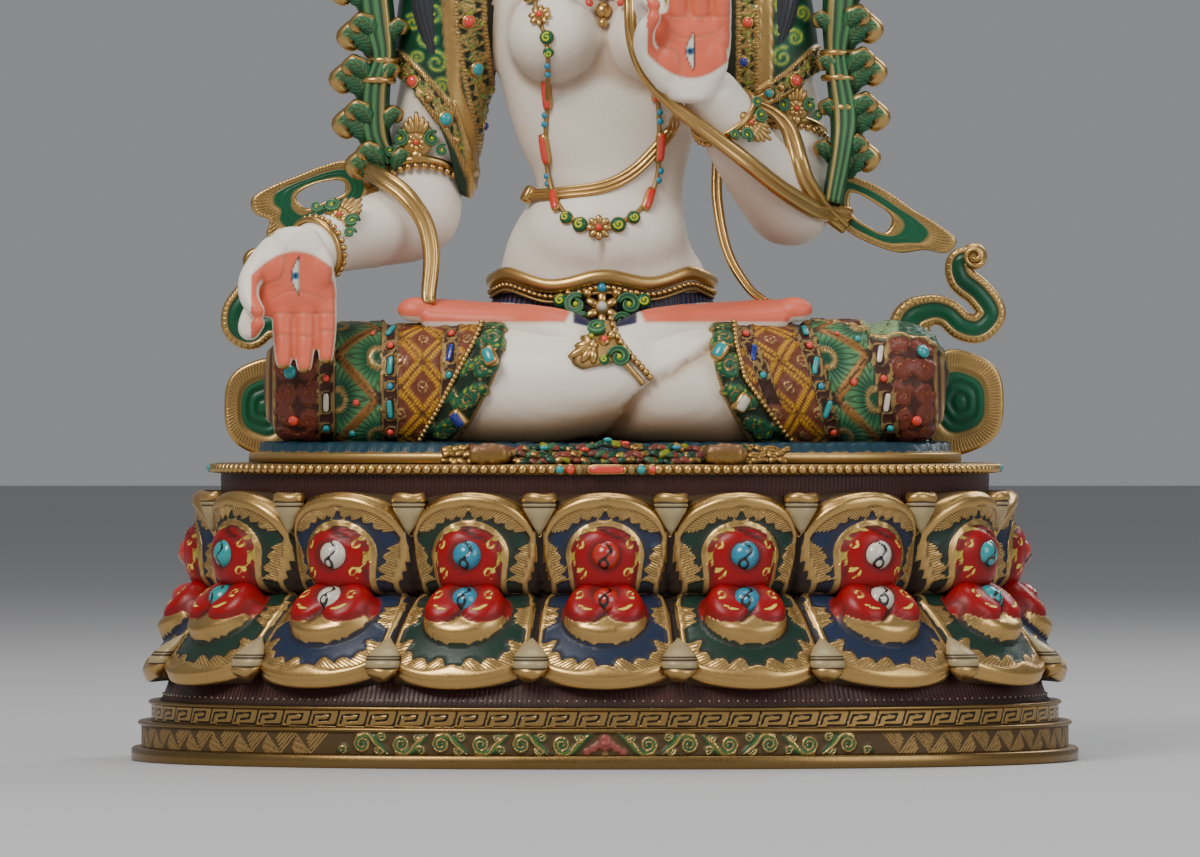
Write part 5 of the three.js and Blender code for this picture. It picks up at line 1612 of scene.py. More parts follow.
def sleeve_stones(form, s):
    """The sleeve's stones, its bead rope and the teardrops of its panels."""
    lines = SLEEVES[s]
    made = []
    for name, centre in BAND_CENTRES.items():
        lean = band_lean(s, centre or 62)
        for k, (z, kind) in enumerate(SETTINGS[name]):
            out = centre - lean * (z - 28) if centre else at_height(lines["lapis"], z)
            place, normal = form.rest(s * out, z, 0.5)
            slope = -s * (lean if centre else 0.3 * (s > 0))
            if kind == "bar":
                made.append(bar(place, normal, slope, 3.7, 1.15, name))
            else:
                made.append(gem(place, normal, 1.5, BEADS_IN[name][(k // 2) % 2]))
    z = np.linspace(4, 51.5, 30)
    place, normal = form.rest(s * at_height(lines["rope"], z), z, 0.5)
    made.append(beads(place, normal, 1.25))
    for colour, out, z in TEARDROPS[s]:
        place, normal = form.rest(s * out, z, 0.5)
        made.append(bar(place, normal, -s * 0.5, 4.2, 3.0, "gold", CAST))
        made.append(bar(place + normal * 0.9, normal, -s * 0.5, 3.3, 2.3, colour))
    for colour, out, z, radius in LOOSE_STONES[s]:
        place, normal = form.rest(s * out, z, 0.6)
        made.append(gem(place, normal, radius, colour, 0.7))
    return made


# Head and hair: the face is calm and plain, on even proportions

HEAD_Y, HEAD_Z, HEAD_HALF = -1.0, 270.0, (26.0, 29.0, 36.0)
EYES_OUT, EYE_HALF, BROWS_OUT, MOUTH_LEVEL, MOUTH_HALF = 10.4, 6.0, 11.0, -18.8, 6.6
CROWN_HALF_X, CROWN_HALF_Y, CROWN_Z = HEAD_HALF[0] + 5, HEAD_HALF[1] + 4, HEAD_Z + 17


def make_head():
    """Skull and face: an ellipsoid with a tapering jaw; brow, eyes, nose, lips and chin are bell curves in
    the turn round the head and the level on it; eyes, brows and lips are painted."""
    rows, columns = 104, 132
    lat = (np.pi * np.arange(1, rows) / rows - np.pi / 2)[:, None]
    even = turns(columns, 0.5) - np.pi
    turn = (even - 0.55 * np.sin(even))[None]
    level = np.sin(lat) * HEAD_HALF[2]
    jaw = np.where(lat < 0, 1 - 0.2 * np.sin(lat) ** 2, 1)
    side = np.sin(turn) * np.cos(lat) * HEAD_HALF[0] * jaw
    front = np.clip(np.cos(turn), 0, 1)
    a = np.abs(side)
    nose = 6.4 * bell(a, 0, 3.0) * bell(level, -9, 4.2) + 3.4 * bell(a, 0, 2.4) * bell(level, -1, 8)
    wings = 2.4 * bell(a, 3.6, 1.8) * bell(level, -10.5, 2.4)
    lips = 2.2 * bell(a, 0, 6.5) * (bell(level, -17.2, 1.6) + 1.05 * bell(level, -20.4, 1.7))
    chin = 3.2 * bell(a, 0, 7) * bell(level, -28.5, 4.4)
    sockets = -2.8 * bell(a, 10.5, 5.6) * bell(level, 1.5, 4.6)
    lids = 2.3 * bell(a, 10.4, 5.0) * bell(level, 0.2, 2.8)
    brow = 0.9 * bell(a, 11, 8) * bell(level, 8.5, 3.4)
    cheeks = 1.5 * bell(a, 14, 7) * bell(level, -11, 8)
    fold = (-0.7 * bell(a, 0, 8.5) * bell(level, -18.8, 0.55)
            - 0.8 * bell(a, 10.4, 5.4) * bell(level, 4.0, 0.7))
    out = front * (nose + wings + lips + chin + sockets + lids + brow + cheeks + fold)
    y = HEAD_Y - np.cos(turn) * np.cos(lat) * HEAD_HALF[1] * jaw - out
    points = rows_of(side, y, HEAD_Z + level)
    work = Ornament(rows_of(side, level + 0 * side), tone("ivory"))
    px, pz = work.points.T
    ahead = (front + 0 * side).ravel() > 0.2
    half = np.clip(1 - ((np.abs(px) - EYES_OUT) / EYE_HALF) ** 2, 0, 1)
    lid = only(np.abs(np.abs(px) - EYES_OUT) < EYE_HALF,
               np.maximum(pz - 1.4 - 1.7 * half, -1.5 - 1.1 * half - pz + 1.6))
    work.fill(only(ahead, lid), tone("shell") * 1.1, 0, 0.3)
    iris = np.hypot(np.abs(px) - 10.2, pz - 0.9) - 1.9
    work.fill(only(ahead & (lid < 0), iris), tone("dark"), 0, 0.3)
    upper = np.abs(pz - 1.4 - 1.9 * half) - 0.35
    brows = np.abs(pz - 9.2 - 1.6 * np.clip(1 - ((np.abs(px) - BROWS_OUT) / 8.5) ** 2, 0, 1)) - 0.4
    lines = np.minimum(only(half > 0, upper), only(np.abs(np.abs(px) - BROWS_OUT) < 8.0, brows))
    work.trace(only(ahead, lines), tone("dark") * 1.6)
    rise = pz - MOUTH_LEVEL
    bow = 1.9 - 0.5 * bell(px, 0, 1.3) - 0.045 * px ** 2
    mouth = only(np.abs(px) < MOUTH_HALF, np.maximum(rise - bow, 0.06 * px ** 2 - rise - 2.6))
    work.fill(only(ahead, mouth), tone("salmon") * (0.9, 0.55, 0.55, 0), 0, 0.3)
    eye = Ornament(work.points, tone("ivory"))
    eye.paint = work.paint
    painted_eye(eye, 0, 17, 4.4, 1.7)
    work.paint = np.where(ahead[:, None], eye.paint, work.paint)
    return closed_grid(points, SKIN, **work.facts(points.shape[:2]))


def lock(stations, side=ACROSS, count=14):
    """A lock of hair, its strands engraved evenly round it and leaning with its length."""
    sides = 28
    form = limb(stations, side, sides, count=34)
    rings = (len(form.points) - 2) // sides
    hatch = np.abs(np.arange(sides) / sides * 2 - 1)[None] * count + 0.12 * np.arange(rings)[:, None]
    return form.say(hatch=np.append(hatch.ravel(), [0, 0]), engrave=0.9, paint=tone("hair"))


def make_hair():
    """Cap, tall topknot with a bead rope and a jewel, a fall behind and a lock over each shoulder."""
    cap = ball((0, HEAD_Y + 6, HEAD_Z + 8.5), (HEAD_HALF[0] + 2, HEAD_HALF[1] - 2, HEAD_HALF[2] - 4), 56, 30)
    lon = np.abs(np.arctan2(cap.points[:, 0], -(cap.points[:, 1] - 5)))
    made = [cap.say(paint=tone("hair"), hatch=lon * 14, engrave=0.9),
            lock([(0, 6, 298, 18), (0, 6, 312, 14.5), (0, 6, 327, 17), (0, 6, 341, 10.5)], count=18)]
    made.append(lock([(0, 24, 270, 22, 12), (0, 31, 240, 26, 9), (0, 33, 212, 29, 7), (0, 32, 184, 24, 5)],
                     count=20))
    for s in (-1, 1):
        made.append(lock([(s * 18, 18, 250, 7), (s * 34, 14, 224, 6, 8), (s * 56, 2, 207, 5, 10),
                          (s * 69, -7, 186, 5, 9), (s * 68, -9, 160, 3, 4)], ACROSS_ARM, 10))
    for z, r in ((311, 15.2), (339, 12)):
        turn = turns(30)
        normal = outward(turn)
        made.append(beads(normal * r + (0, 6, z), normal, 1.5))
    made.append(limb([(0, 6, 345, 7), (0, 6, 353, 5), (0, 6, 360, 2.2)], sides=20, round_end=2.6))
    made.append(ball((0, -1.4, 350), (3.4, 2.2, 4.2), 14, 10, finish=STONE, paint=tone("turquoise")))
    for s in (-1, 1):
        ear = limb([(s * 26, 3, 276, 3, 5), (s * 27.5, 2, 258, 3, 4), (s * 27.6, 0, 248, 3, 3)], sides=16)
        made.append(ear.say(paint=tone("ivory")))
        hoop = turns(28)
        circle = rows_of(s * 28 + 5 * np.sin(hoop), 0, 241 + 6.5 * np.cos(hoop))
        made.append(hoop_tube(circle, 1.6))
        made.append(ball((s * 28, -2, 234), (3, 2.4, 3), 12, 8, finish=STONE, paint=tone("coral")))
    return made


def hoop_tube(path, radius, sides=8, flat=1.0, **facts):
    """A tube along a closed path, joined end to end; flat widens it across the path's own plane."""
    path = np.asarray(path, float)
    along = np.roll(path, -1, axis=0) - np.roll(path, 1, axis=0)
    along = unit(along)
    out = path - path.mean(axis=0)
    out -= along * np.einsum("ij,ij->i", out, along)[:, None]
    out = unit(out)
    wide = np.cross(along, out)
    angle = turns(sides)
    ring = out[:, None] * np.cos(angle)[None, :, None] + wide[:, None] * np.sin(angle)[None, :, None] * flat
    radius = np.broadcast_to(radius, (len(path),))
    return ring_skin(path[:, None] + ring * radius[:, None, None], **facts)


# Crown

def make_crown():
    """A gilt band round the brow with five flame leaves, each with a stone, and beads along the band."""
    normal = outward(turns(90))
    path = normal * (CROWN_HALF_X - 0.6, CROWN_HALF_Y - 0.6, 0) + (0, HEAD_Y, CROWN_Z)
    made = [hoop_tube(path, 1.4, 10, flat=2.2, recess=0.2)]
    normal = outward(turns(68))
    for level in (CROWN_Z - 3.4, CROWN_Z + 3.4):
        made.append(beads(normal * (CROWN_HALF_X, CROWN_HALF_Y, 0) + (0, HEAD_Y, level), normal, 1.0))
    for i in range(5):
        away = abs(i - 2)
        made += crown_leaf((i - 2) * 0.72, 36 - 5 * away, 19 - 2 * away)
    return made


def crown_leaf(turn, height, width):
    """A flame-shaped leaf of the crown, with relief veins and a stone in its middle."""
    out = outward(turn)
    foot = out * (CROWN_HALF_X, CROWN_HALF_Y, 0) + (0, HEAD_Y, CROWN_Z)
    t = np.linspace(0, 1, 32)
    lean = np.interp(t, [0, 0.25, 0.6, 1], [-1, 0, 1.5, 1])
    swell = 0.46 + 0.26 * np.sin(np.pi * np.clip(t / 0.55, 0, 1))
    half = width * swell * np.clip((1 - t) * 1.6, 0, 1) ** 0.7
    half = np.maximum(half * (1 + 0.05 * np.cos(t * 34)), 0.5)
    path = foot + out * lean[:, None] + np.outer(t * height, UP)

    def relief(place):
        return (np.abs(place) > 0.78) + 0.8 * (1 - np.abs(place))
    leaf = strap(path, half, out, 2.4, relief, 17, recess=lambda p,
                 s: 0.5 * plateau(np.abs(p), 0.5, 0.78, 0.08),
                 hatch=lambda p, s: np.abs(p) * 3 + s * 0.5, engrave=lambda p, s: 0.8 * (np.abs(p) < 0.75))
    place = foot + out * 3.0 + (0, 0, height * 0.3)
    return [leaf, *rosette(place, out, width * 0.3, "turquoise" if abs(turn) < 0.1 else "coral"),
            gem(np.array([foot + out * 2.6 + (0, 0, height * 0.62)]), out, 2.0, "coral")]


# Jewellery

def wound(place, normal, angle, times, reach):
    """A spiral in the plane of a face, as far from the place as reach says, and the face's inward normal."""
    across, inward, up = facing(normal)[0]
    turn = angle + TAU * times * np.linspace(0, 1, len(reach))
    return place + reach[:, None] * (np.cos(turn)[:, None] * across + np.sin(turn)[:, None] * up), inward


def curl_scroll(place, normal, radius, angle=0.0, way=1):
    """A raised spiral leaf: a green band with paler edges that narrows as it coils round a bead."""
    t = np.linspace(0, 1, 22)
    path, inward = wound(place, normal, angle, way * 1.12, radius * (1.0 - 0.64 * t))
    path = path - inward * (radius * (0.06 + 0.16 * t))[:, None]
    half = radius * (0.16 + 0.24 * np.sin(np.pi * np.clip(0.12 + t, 0, 1)))
    green, light = tone("leaf") * 0.75, tone("leaf") * 0.8 + tone("pale") * 0.4

    def edge(p):
        return bell(np.abs(p), 0.68, 0.2)
    return [strap(path, half, -inward, radius * 0.5,
                  lambda p: radius * (0.14 * (1 - p ** 2) + 0.12 * edge(p)), 7,
                  paint=lambda p, s: green + (light - green) * edge(p)[..., None],
                  recess=lambda p, s: 0.5 * bell(p, 0, 0.3)),
            ball(place - inward * radius * 0.22, np.full(3, radius * 0.3), 10, 7, paint=tone("lime"))]


def scroll_bead(place, normal, radius, angle=0.0):
    """A green bead with a yellow spiral laid on it, in a gold setting."""
    reach = radius * (0.66 - 0.56 * np.linspace(0, 1, 22))
    path, inward = wound(place, normal, angle, 1.25, reach)
    path = path - inward * (0.62 * np.sqrt(radius ** 2 - reach[:, None] ** 2))
    axes = facing(normal)[0]
    return [ball(place + inward * 0.3, (radius * 1.12, radius * 0.4, radius * 1.12), 14, 6, axes),
            ball(place, (radius, radius * 0.62, radius), 14, 8, axes, paint=tone("leaf")),
            tube(path, radius * 0.17, 6, side=inward, paint=tone("lime"))]


def hung(form, items, lift):
    """Stones, bars, flowers and scrolls laid on a form: rows of kind, x, height, size and turn."""
    made = []
    for kind, x, z, big, turn in items:
        place, normal = form.rest(x, z, lift)
        if kind == "flower":
            made += rosette(place[0], normal[0], big)
        elif kind == "bloom":
            made += rosette(place[0], normal[0], big, "shell", 6)
        elif kind == "scroll" and big < 3.5:
            made += scroll_bead(place[0], normal[0], big, turn)
        elif kind == "scroll":
            made += curl_scroll(place[0], normal[0], big, turn, 1 if turn < 2 else -1)
        elif kind.startswith("bar "):
            made.append(bar(place - normal * 0.3, normal, turn, big + 0.7, 2.0, "gold", CAST))
            made.append(bar(place + normal * 0.5, normal, turn, big, 1.6, kind[4:]))
        else:
            made.append(gem(place, normal, big, kind, 0.85))
    return made


LONG_NECKLACE = [
    ("scroll", -24.5, 196, 3.2, 1), ("sky", -27, 188.5, 1.5, 0), ("scroll", -28.9, 181, 3.2, 1),
    ("flower", -25.6, 173.4, 4.8, 0), ("scroll", -23, 165.2, 2.8, 1), ("scroll", -22.4, 159.6, 2.1, 3),
    ("sky", -22.8, 154.6, 1.4, 0), ("sky", -22.6, 151.4, 1.4, 0), ("bar coral", -22.9, 143, 5.8, 0),
    ("sky", -23.5, 134.8, 1.4, 0), ("sky", -23.6, 131.3, 1.4, 0), ("bar coral", -23.5, 121.4, 5.8, 0),
    ("sky", -22.5, 110.8, 1.4, 0), ("sky", -22.1, 107.5, 1.4, 0), ("bar coral", -19.7, 100.3, 4.6, 0.4),
    ("scroll", -15.2, 93.6, 2.6, 1), ("scroll", -9.8, 90.8, 3.0, 1), ("flower", -2.4, 89.6, 5.2, 0),
    ("scroll", 5.2, 90.8, 3.0, 3), ("scroll", 11.2, 93.6, 2.6, 3), ("bar coral", 17.0, 100.9, 4.6, -0.42),
    ("sky", 20.9, 108.8, 1.4, 0), ("sky", 21.7, 112.6, 1.4, 0), ("bar coral", 21.6, 122.2, 5.6, 0),
    ("sky", 21.6, 132.4, 1.4, 0), ("sky", 21.4, 136.0, 1.4, 0), ("bar coral", 21.0, 144.6, 5.2, 0),
    ("scroll", 21.2, 156, 2.4, 3), ("scroll", 22.4, 162, 2.8, 3), ("flower", 24.6, 170.5, 4.8, 0),
    ("scroll", 26.5, 179, 3.2, 3), ("sky", 25.6, 187, 1.5, 0), ("scroll", 24, 195, 3.2, 3),
]
NECKLACE_CORD = [(-22, 203), (-27, 190), (-28, 178), (-23, 163), (-22.8, 143), (-23.5, 121), (-21.5, 106),
                 (-15, 94), (-2.4, 90), (11, 94), (19.5, 105), (21.6, 122), (21, 145), (23, 166), (26.5, 180),
                 (22, 203)]
BELLY_CORD = [(-32, 102.8), (-24, 103), (-16.1, 103.7), (-0.4, 106.1), (10.8, 111.8), (18.9, 119.8),
              (26, 128.6), (31, 137)]
BELT_WAVE = [(-47, 68), (-39.7, 72.2), (-31, 68.6), (-22.9, 65.8), (-12, 67.4), (-1.2, 71.6), (9, 68.6),
             (17.7, 66.6), (26, 69), (34.5, 72.6), (44.5, 68)]


def laid(form, flat, count, lift, smooth=6, back=False):
    """A smooth path on a form's front through flat points, with its normals."""
    line = spline([(px, pz, 0.0) for px, pz in flat], count)
    place, normal = form.rest(line[:, 0], line[:, 1], lift, back)
    for _ in range(smooth):
        for rows in (place, normal):
            rows[1:-1] = (rows[:-2] + 2 * rows[1:-1] + rows[2:]) / 4
    return place, unit(normal)


def three_strands(p):
    """How high each of three strands is, at places from -1 to 1 across them."""
    return np.abs(np.cos(1.5 * np.pi * p))


def make_necklaces(body):
    """The long necklace, the collar of beads with its drops, and the cord across the belly."""
    place, normal = laid(body, NECKLACE_CORD, 110, 0.5)
    made = [tube(place, 1.0, 8, recess=0.4), *hung(body, LONG_NECKLACE, 1.3)]
    for back in (False, True):
        place, normal = laid(body, BELLY_CORD, 60, 0.3, back=back)
        made.append(strap(place, 2.7, normal, 1.4, lambda p: 0.9 * three_strands(p), 17,
                          recess=lambda p, s: 0.6 * (1 - step(three_strands(p), 0.1, 0.5))))
    place, normal = body.rest(-30, 102.9, 0.8)
    made.append(bar(place, normal, 0.0, 3.6, 3.0, "gold", CAST))
    turn = turns(64)
    for level, half_x, half_y, drop in ((209, 27, 20, 6), (202, 34, 24, 10)):
        loop = rows_of(half_x * np.sin(turn), 5 - half_y * np.cos(turn), level - drop * np.cos(turn))
        normals = rows_of(np.sin(turn), -np.cos(turn), 0.6)
        normals = unit(normals)
        made += [hoop_tube(loop, 1.3, 8), beads(loop - (0, 0, 2.6) + normals * 0.6, normals, 1.4)]
    for k, x in enumerate(np.linspace(-21, 21, 7)):
        drop = 6 - 0.008 * x ** 2
        colour = ("coral", "turquoise")[k % 2]
        made += hung(body, [("flower", x, 190 - drop + 0.012 * x ** 2, 4.2, 0)], 1.4)
        made += hung(body, [(colour, x, 183.5 - drop + 0.012 * x ** 2, 1.7, 0)], 1.2)
    made += hung(body, [("gold", -0.8, 176, 3.4, 0), ("gold", -0.8, 171, 2.0, 0)], 1.2)
    return made


def make_belt():
    """The gold belt with its wave, the bead row under it and the clasp of flower and scrolls."""
    turn = turns(150)
    x = -1.2 + 44.8 * signed_power(np.sin(turn), 2 / 2.2)
    y = 8.8 - 31.4 * signed_power(np.cos(turn), 2 / 2.2)
    wave = np.array(BELT_WAVE)
    z = np.interp(x, wave[:, 0], wave[:, 1])
    for _ in range(10):
        z = (np.roll(z, 1) + 2 * z + np.roll(z, -1)) / 4
    loop = rows_of(x, y, z)
    made = [hoop_tube(loop, 1.9, 12, flat=1.5, recess=0.05)]
    rows = spline(np.vstack([loop, loop[:1]]), 108)[:-1]
    normals = rows - (0, 9, 0)
    normals[:, 2] = 0
    normals = unit(normals)
    made.append(beads(rows - (0, 0, 4.4) + normals * 0.2, normals, 1.25, columns=9, rows=6))
    made.append(hoop_tube(loop - (0, 0, 6.4), 0.7, 6, recess=0.4))
    clasp = [("bloom", -1.2, 57.2, 7.4, 0), ("sky", -1.2, 65.6, 1.9, 0), ("gold", -7, 63.4, 2.0, 0),
             ("gold", 4.6, 63.4, 2.0, 0), ("scroll", -11.4, 58.6, 4.2, 1), ("scroll", 9.2, 58.6, 4.2, 3),
             ("scroll", -17.4, 60.4, 3.0, 1), ("scroll", 15.2, 60.4, 3.0, 3),
             ("scroll", -9, 51.6, 3.6, 1), ("scroll", 6.8, 51.6, 3.6, 3), ("gold", -14.6, 63.6, 1.3, 0),
             ("gold", 12.4, 63.6, 1.3, 0)]
    front = limb([(-1.2, 6, 44, 36, 33), (-1.2, 8, 56, 44, 31.5), (-1.2, 8.6, 70, 44, 30.5)], squareness=2.2,
                 sides=120)
    return made + hung(Form(front.points, front.faces, CAST), clasp, 1.2)


def arm_ring(centre, axis, radius, bead, peak=lambda normals: 0):
    """A ring of beads with a gold band beside it, square to an arm's axis."""
    axis = np.array(axis, float) / np.linalg.norm(axis)
    first = np.cross(axis, (0, 0, 1.0) if abs(axis[2]) < 0.9 else (0, 1.0, 0))
    first /= np.linalg.norm(first)
    second = np.cross(axis, first)
    count = int(TAU * radius / (bead * 2.15))
    made = []
    for number, lift, shift in ((count, 0.4, 0.0), (72, 0.1, bead * 1.9)):
        turn = turns(number)
        normals = np.cos(turn)[:, None] * first + np.sin(turn)[:, None] * second
        rise = peak(normals) + shift
        loop = (np.array(centre, float) + normals * (radius + lift)
                + axis * np.broadcast_to(rise, number)[:, None])
        made.append(beads(loop, normals, bead, columns=9, rows=6) if shift == 0
                    else hoop_tube(loop, bead * 0.75, 8, flat=1.4))
    return made


def crest(place, normal, height, angle=0.0):
    """An armlet's crest: a flower of stone, a gilt drop below and a fan above, scrolls on both sides."""
    axes = turned(facing(normal), angle)[0]

    def at(a, b, out=0.0):
        return place + axes[0] * a * height + axes[2] * b * height - axes[1] * out
    made = [ball(at(0, 0.3, -0.4), (height * 0.46, height * 0.1, height * 0.5), 18, 10, axes, recess=0.35),
            ball(at(0, -0.14, 0.6), (height * 0.17, height * 0.1, height * 0.15), 14, 9, facing(normal)[0]),
            *rosette(at(0, 0.2, 0.6), normal, height * 0.26)]
    for k in range(-2, 3):
        lean = k * 0.36
        foot, tip = at(0.08 * k, 0.42, 0.5), at(0.2 * k * (1 - 0.12 * abs(k)), 1.0 - 0.13 * abs(k), 0.9)
        made.append(tube(np.linspace(foot, tip, 8),
                         height * np.array([.05, .07, .085, .09, .085, .075, .06, .035]), 8,
                         side=axes[1], recess=0.1 + 0.1 * abs(lean)))
    for s in (-1, 1):
        made += curl_scroll(at(0.42 * s, 0.3, 0.5), normal, height * 0.19, angle + (1 if s > 0 else 2), s)
        made += curl_scroll(at(0.68 * s, 0.0, 0.4), normal, height * 0.15, angle + 1, s)
    return made


def make_arm_jewels():
    """Armlets with crests on both upper arms, and a bracelet with its crest on each wrist."""
    def peaked(reach):
        return lambda normals: reach * np.clip(-normals[:, 1], 0, 1) ** 1.5
    made = arm_ring((-74, 9, 107.5), (0.0, -0.12, 1), 17.6, 1.5, peaked(9.5))
    made += crest(np.array([-75.5, -9.4, 121]), (-0.1, -0.99, 0.05), 15.5)
    made += arm_ring((71, 9, 124), (-0.1, 0.0, 1), 17.8, 1.5, peaked(7))
    made += crest(np.array([76.5, -8.4, 135]), (0.26, -0.96, 0.05), 13.5)
    made += arm_ring((-113.4, -53.4, 81.2), (-0.59, -0.75, -0.27), 12.4, 1.35)
    made += crest(np.array([-107.5, -53.5, 92]), (-0.1, -0.75, 0.66), 15, -0.75)
    made += arm_ring((48.4, -35.8, 132.4), (-0.47, -0.53, 0.71), 13.6, 1.35)
    made += crest(np.array([55.6, -46, 132.6]), (0.45, -0.86, 0.25), 13.5, -2.3)
    return made


def make_anklet(body):
    """The beads over the ankle where the shins cross, and beside them a triangular crest: a gilt plate with
    ribs that fan out to its tip, two green scrolls and a coral."""
    place, normal = laid(body, [(2.5, 51.6), (4.8, 45.2), (9.6, 38.6), (17.3, 30.2)], 12, 1.4, 0)
    made = [beads(place, normal, 1.5, columns=9, rows=6)]
    place, normal = laid(body, [(3.4, 40.5), (8.4, 34.6), (14.8, 27.4)], 24, 1.0, 2)
    made.append(tube(place, 1.25, 8))
    midrib = [(0, 51.4), (-1.2, 46.5), (-2.2, 41.5), (-2.2, 37.6), (-1.6, 34.6)]
    place, normal = laid(body, midrib, 16, 0.6, 1)
    half = np.interp(place[:, 2], [34.6, 37.2, 41, 46, 51.4], [7.4, 11.4, 9, 6, 2.4])
    made.append(strap(place, half, normal, 2.0, lambda p: 0.4 * (1 - p ** 2), 11, recess=0.45))
    for x, z in ((-9.4, 44.6), (-11.8, 41.2), (-14.2, 37.2), (-9.2, 35.4), (-4.6, 34.8)):
        place, normal = laid(body, [(-4.4, 41.6), (0.45 * x - 2.4, 0.45 * z + 23), (x, z)], 8, 1.7, 1)
        made.append(tube(place, np.array([0.9, 1.4, 1.8, 2.0, 2.0, 1.8, 1.4, 0.8]), 8))
    made += hung(body, [("scroll", -2.6, 47.6, 3.8, 1), ("scroll", 5.2, 37.4, 4.0, 3),
                        ("scroll", -0.4, 36.4, 2.2, 1)], 1.6)
    return made + hung(body, [("gold", -4.6, 41.4, 2.3, 0), ("gold", 2.6, 45.0, 2.0, 0),
                              ("gold", -0.2, 42.6, 2.5, 0), ("lime", -5.2, 44.8, 1.0, 0)],
                       2.2) + hung(body, [("coral", -0.2, 42.6, 1.6, 0)], 3.6)


# Shawl, scarves and ribbons

SHAWL_LINES = {
    -1: {"plain": [(107, 52.6), (130.4, 55.7), (146, 60.3), (181.6, 62.8), (206, 62.8)], "plain half": 2.7,
         "inner": [(107, 46.4), (121.4, 47.4), (127.4, 48.2), (148, 50.6), (170, 53.8), (206, 55)],
         "inner half": [(107, 2.0), (121.4, 3.0), (148, 5.2), (181, 5.6)],
         "stones": [("coral", 54.6, 172.4, 2.4), ("turquoise", 51.4, 153.5, 2.6), ("lapis", 48.8, 131, 1.8),
                    ("coral", 76.9, 148.6, 2.3), ("turquoise", 63.8, 133.4, 2.7), ("gold", 70.5, 141.6, 1.3),
                    ("gold", 59.4, 125, 1.2)],
         "edge": [(46, 103), (53, 105), (56.2, 111), (60.3, 121.5), (65.9, 131), (73.1, 139), (79.2, 145.2),
                  (86, 149.5)],
         "spirals": [(67.6, 156, 4.6), (65.6, 146.6, 3.0), (71.6, 166, 4.0), (62.4, 139.4, 2.2),
                     (75, 158, 3.0), (69, 176, 4.4), (77, 172, 3.4), (66, 186, 4.0)]},
    1: {"plain": [(107, 62), (130.4, 63), (148, 64), (182, 64), (206, 64)], "plain half": 3.1,
        "inner": [(107, 55.4), (148, 57.2), (182, 57.2), (206, 56)],
        "inner half": [(107, 3.0), (148, 3.5), (182, 3.5)],
        "stones": [("lapis", 56, 156.3, 1.9), ("coral", 57.2, 172, 2.0), ("coral", 76.2, 148.8, 2.3),
                   ("turquoise", 65.6, 143.6, 1.7), ("gold", 70.6, 146, 1.3)],
        "edge": [(46, 131), (55, 134.5), (61.7, 137.5), (71.9, 141.8), (83.1, 149.5), (90, 153)],
        "spirals": [(71, 158, 4.2), (76, 166, 3.4), (70.6, 170, 3.2), (72, 180, 4.2), (79, 176, 3.0),
                    (70, 190, 4.0)]},
}


def embroider(work, across, run, half, inside):
    """A border on dark green between two gilt ropes: scrolls edged with gold, their cores yellow."""
    within = inside & (np.abs(across) < half + 0.8)
    work.change(within, line=FAR)
    work.fill(only(inside, np.abs(across) - half), tone("leaf") * 0.22, 0, 0.3, recess=0.5)
    field = rows_of(run, across * 4.6 / np.maximum(half, 1.0))
    strokes = []
    for k, place in enumerate(np.arange(run[within].min(), run[within].max() + 4, 6.6)):
        way = 1 if k % 2 else -1
        strokes += [coil(place, way * 0.9, 2.9, way * 1.4, way * 1.5, 0.8, 22),
                    stroke([(place + 1.6, -way * 3.6), (place + 3.2, -way * 0.6), (place + 5.0, way * 3.2)],
                           0.75, 10)]
    coils = only(within, gap_to(field, strokes))
    work.fill(coils, tone("leaf"), 0.8, 0.4, recess=0)
    work.fill(coils + 0.5, tone("lime"), 0.2, 0.3)
    work.trace(np.abs(coils) - 0.25)
    rope = only(inside, np.abs(np.abs(across) - half) - 0.95)
    work.fill(rope, tone("gold"), 0.9, 0.35, recess=0)
    work.change(rope < 0.8, hatch=run / 1.5)
    work.change(within, engrave=(rope < 0) * 0.9)


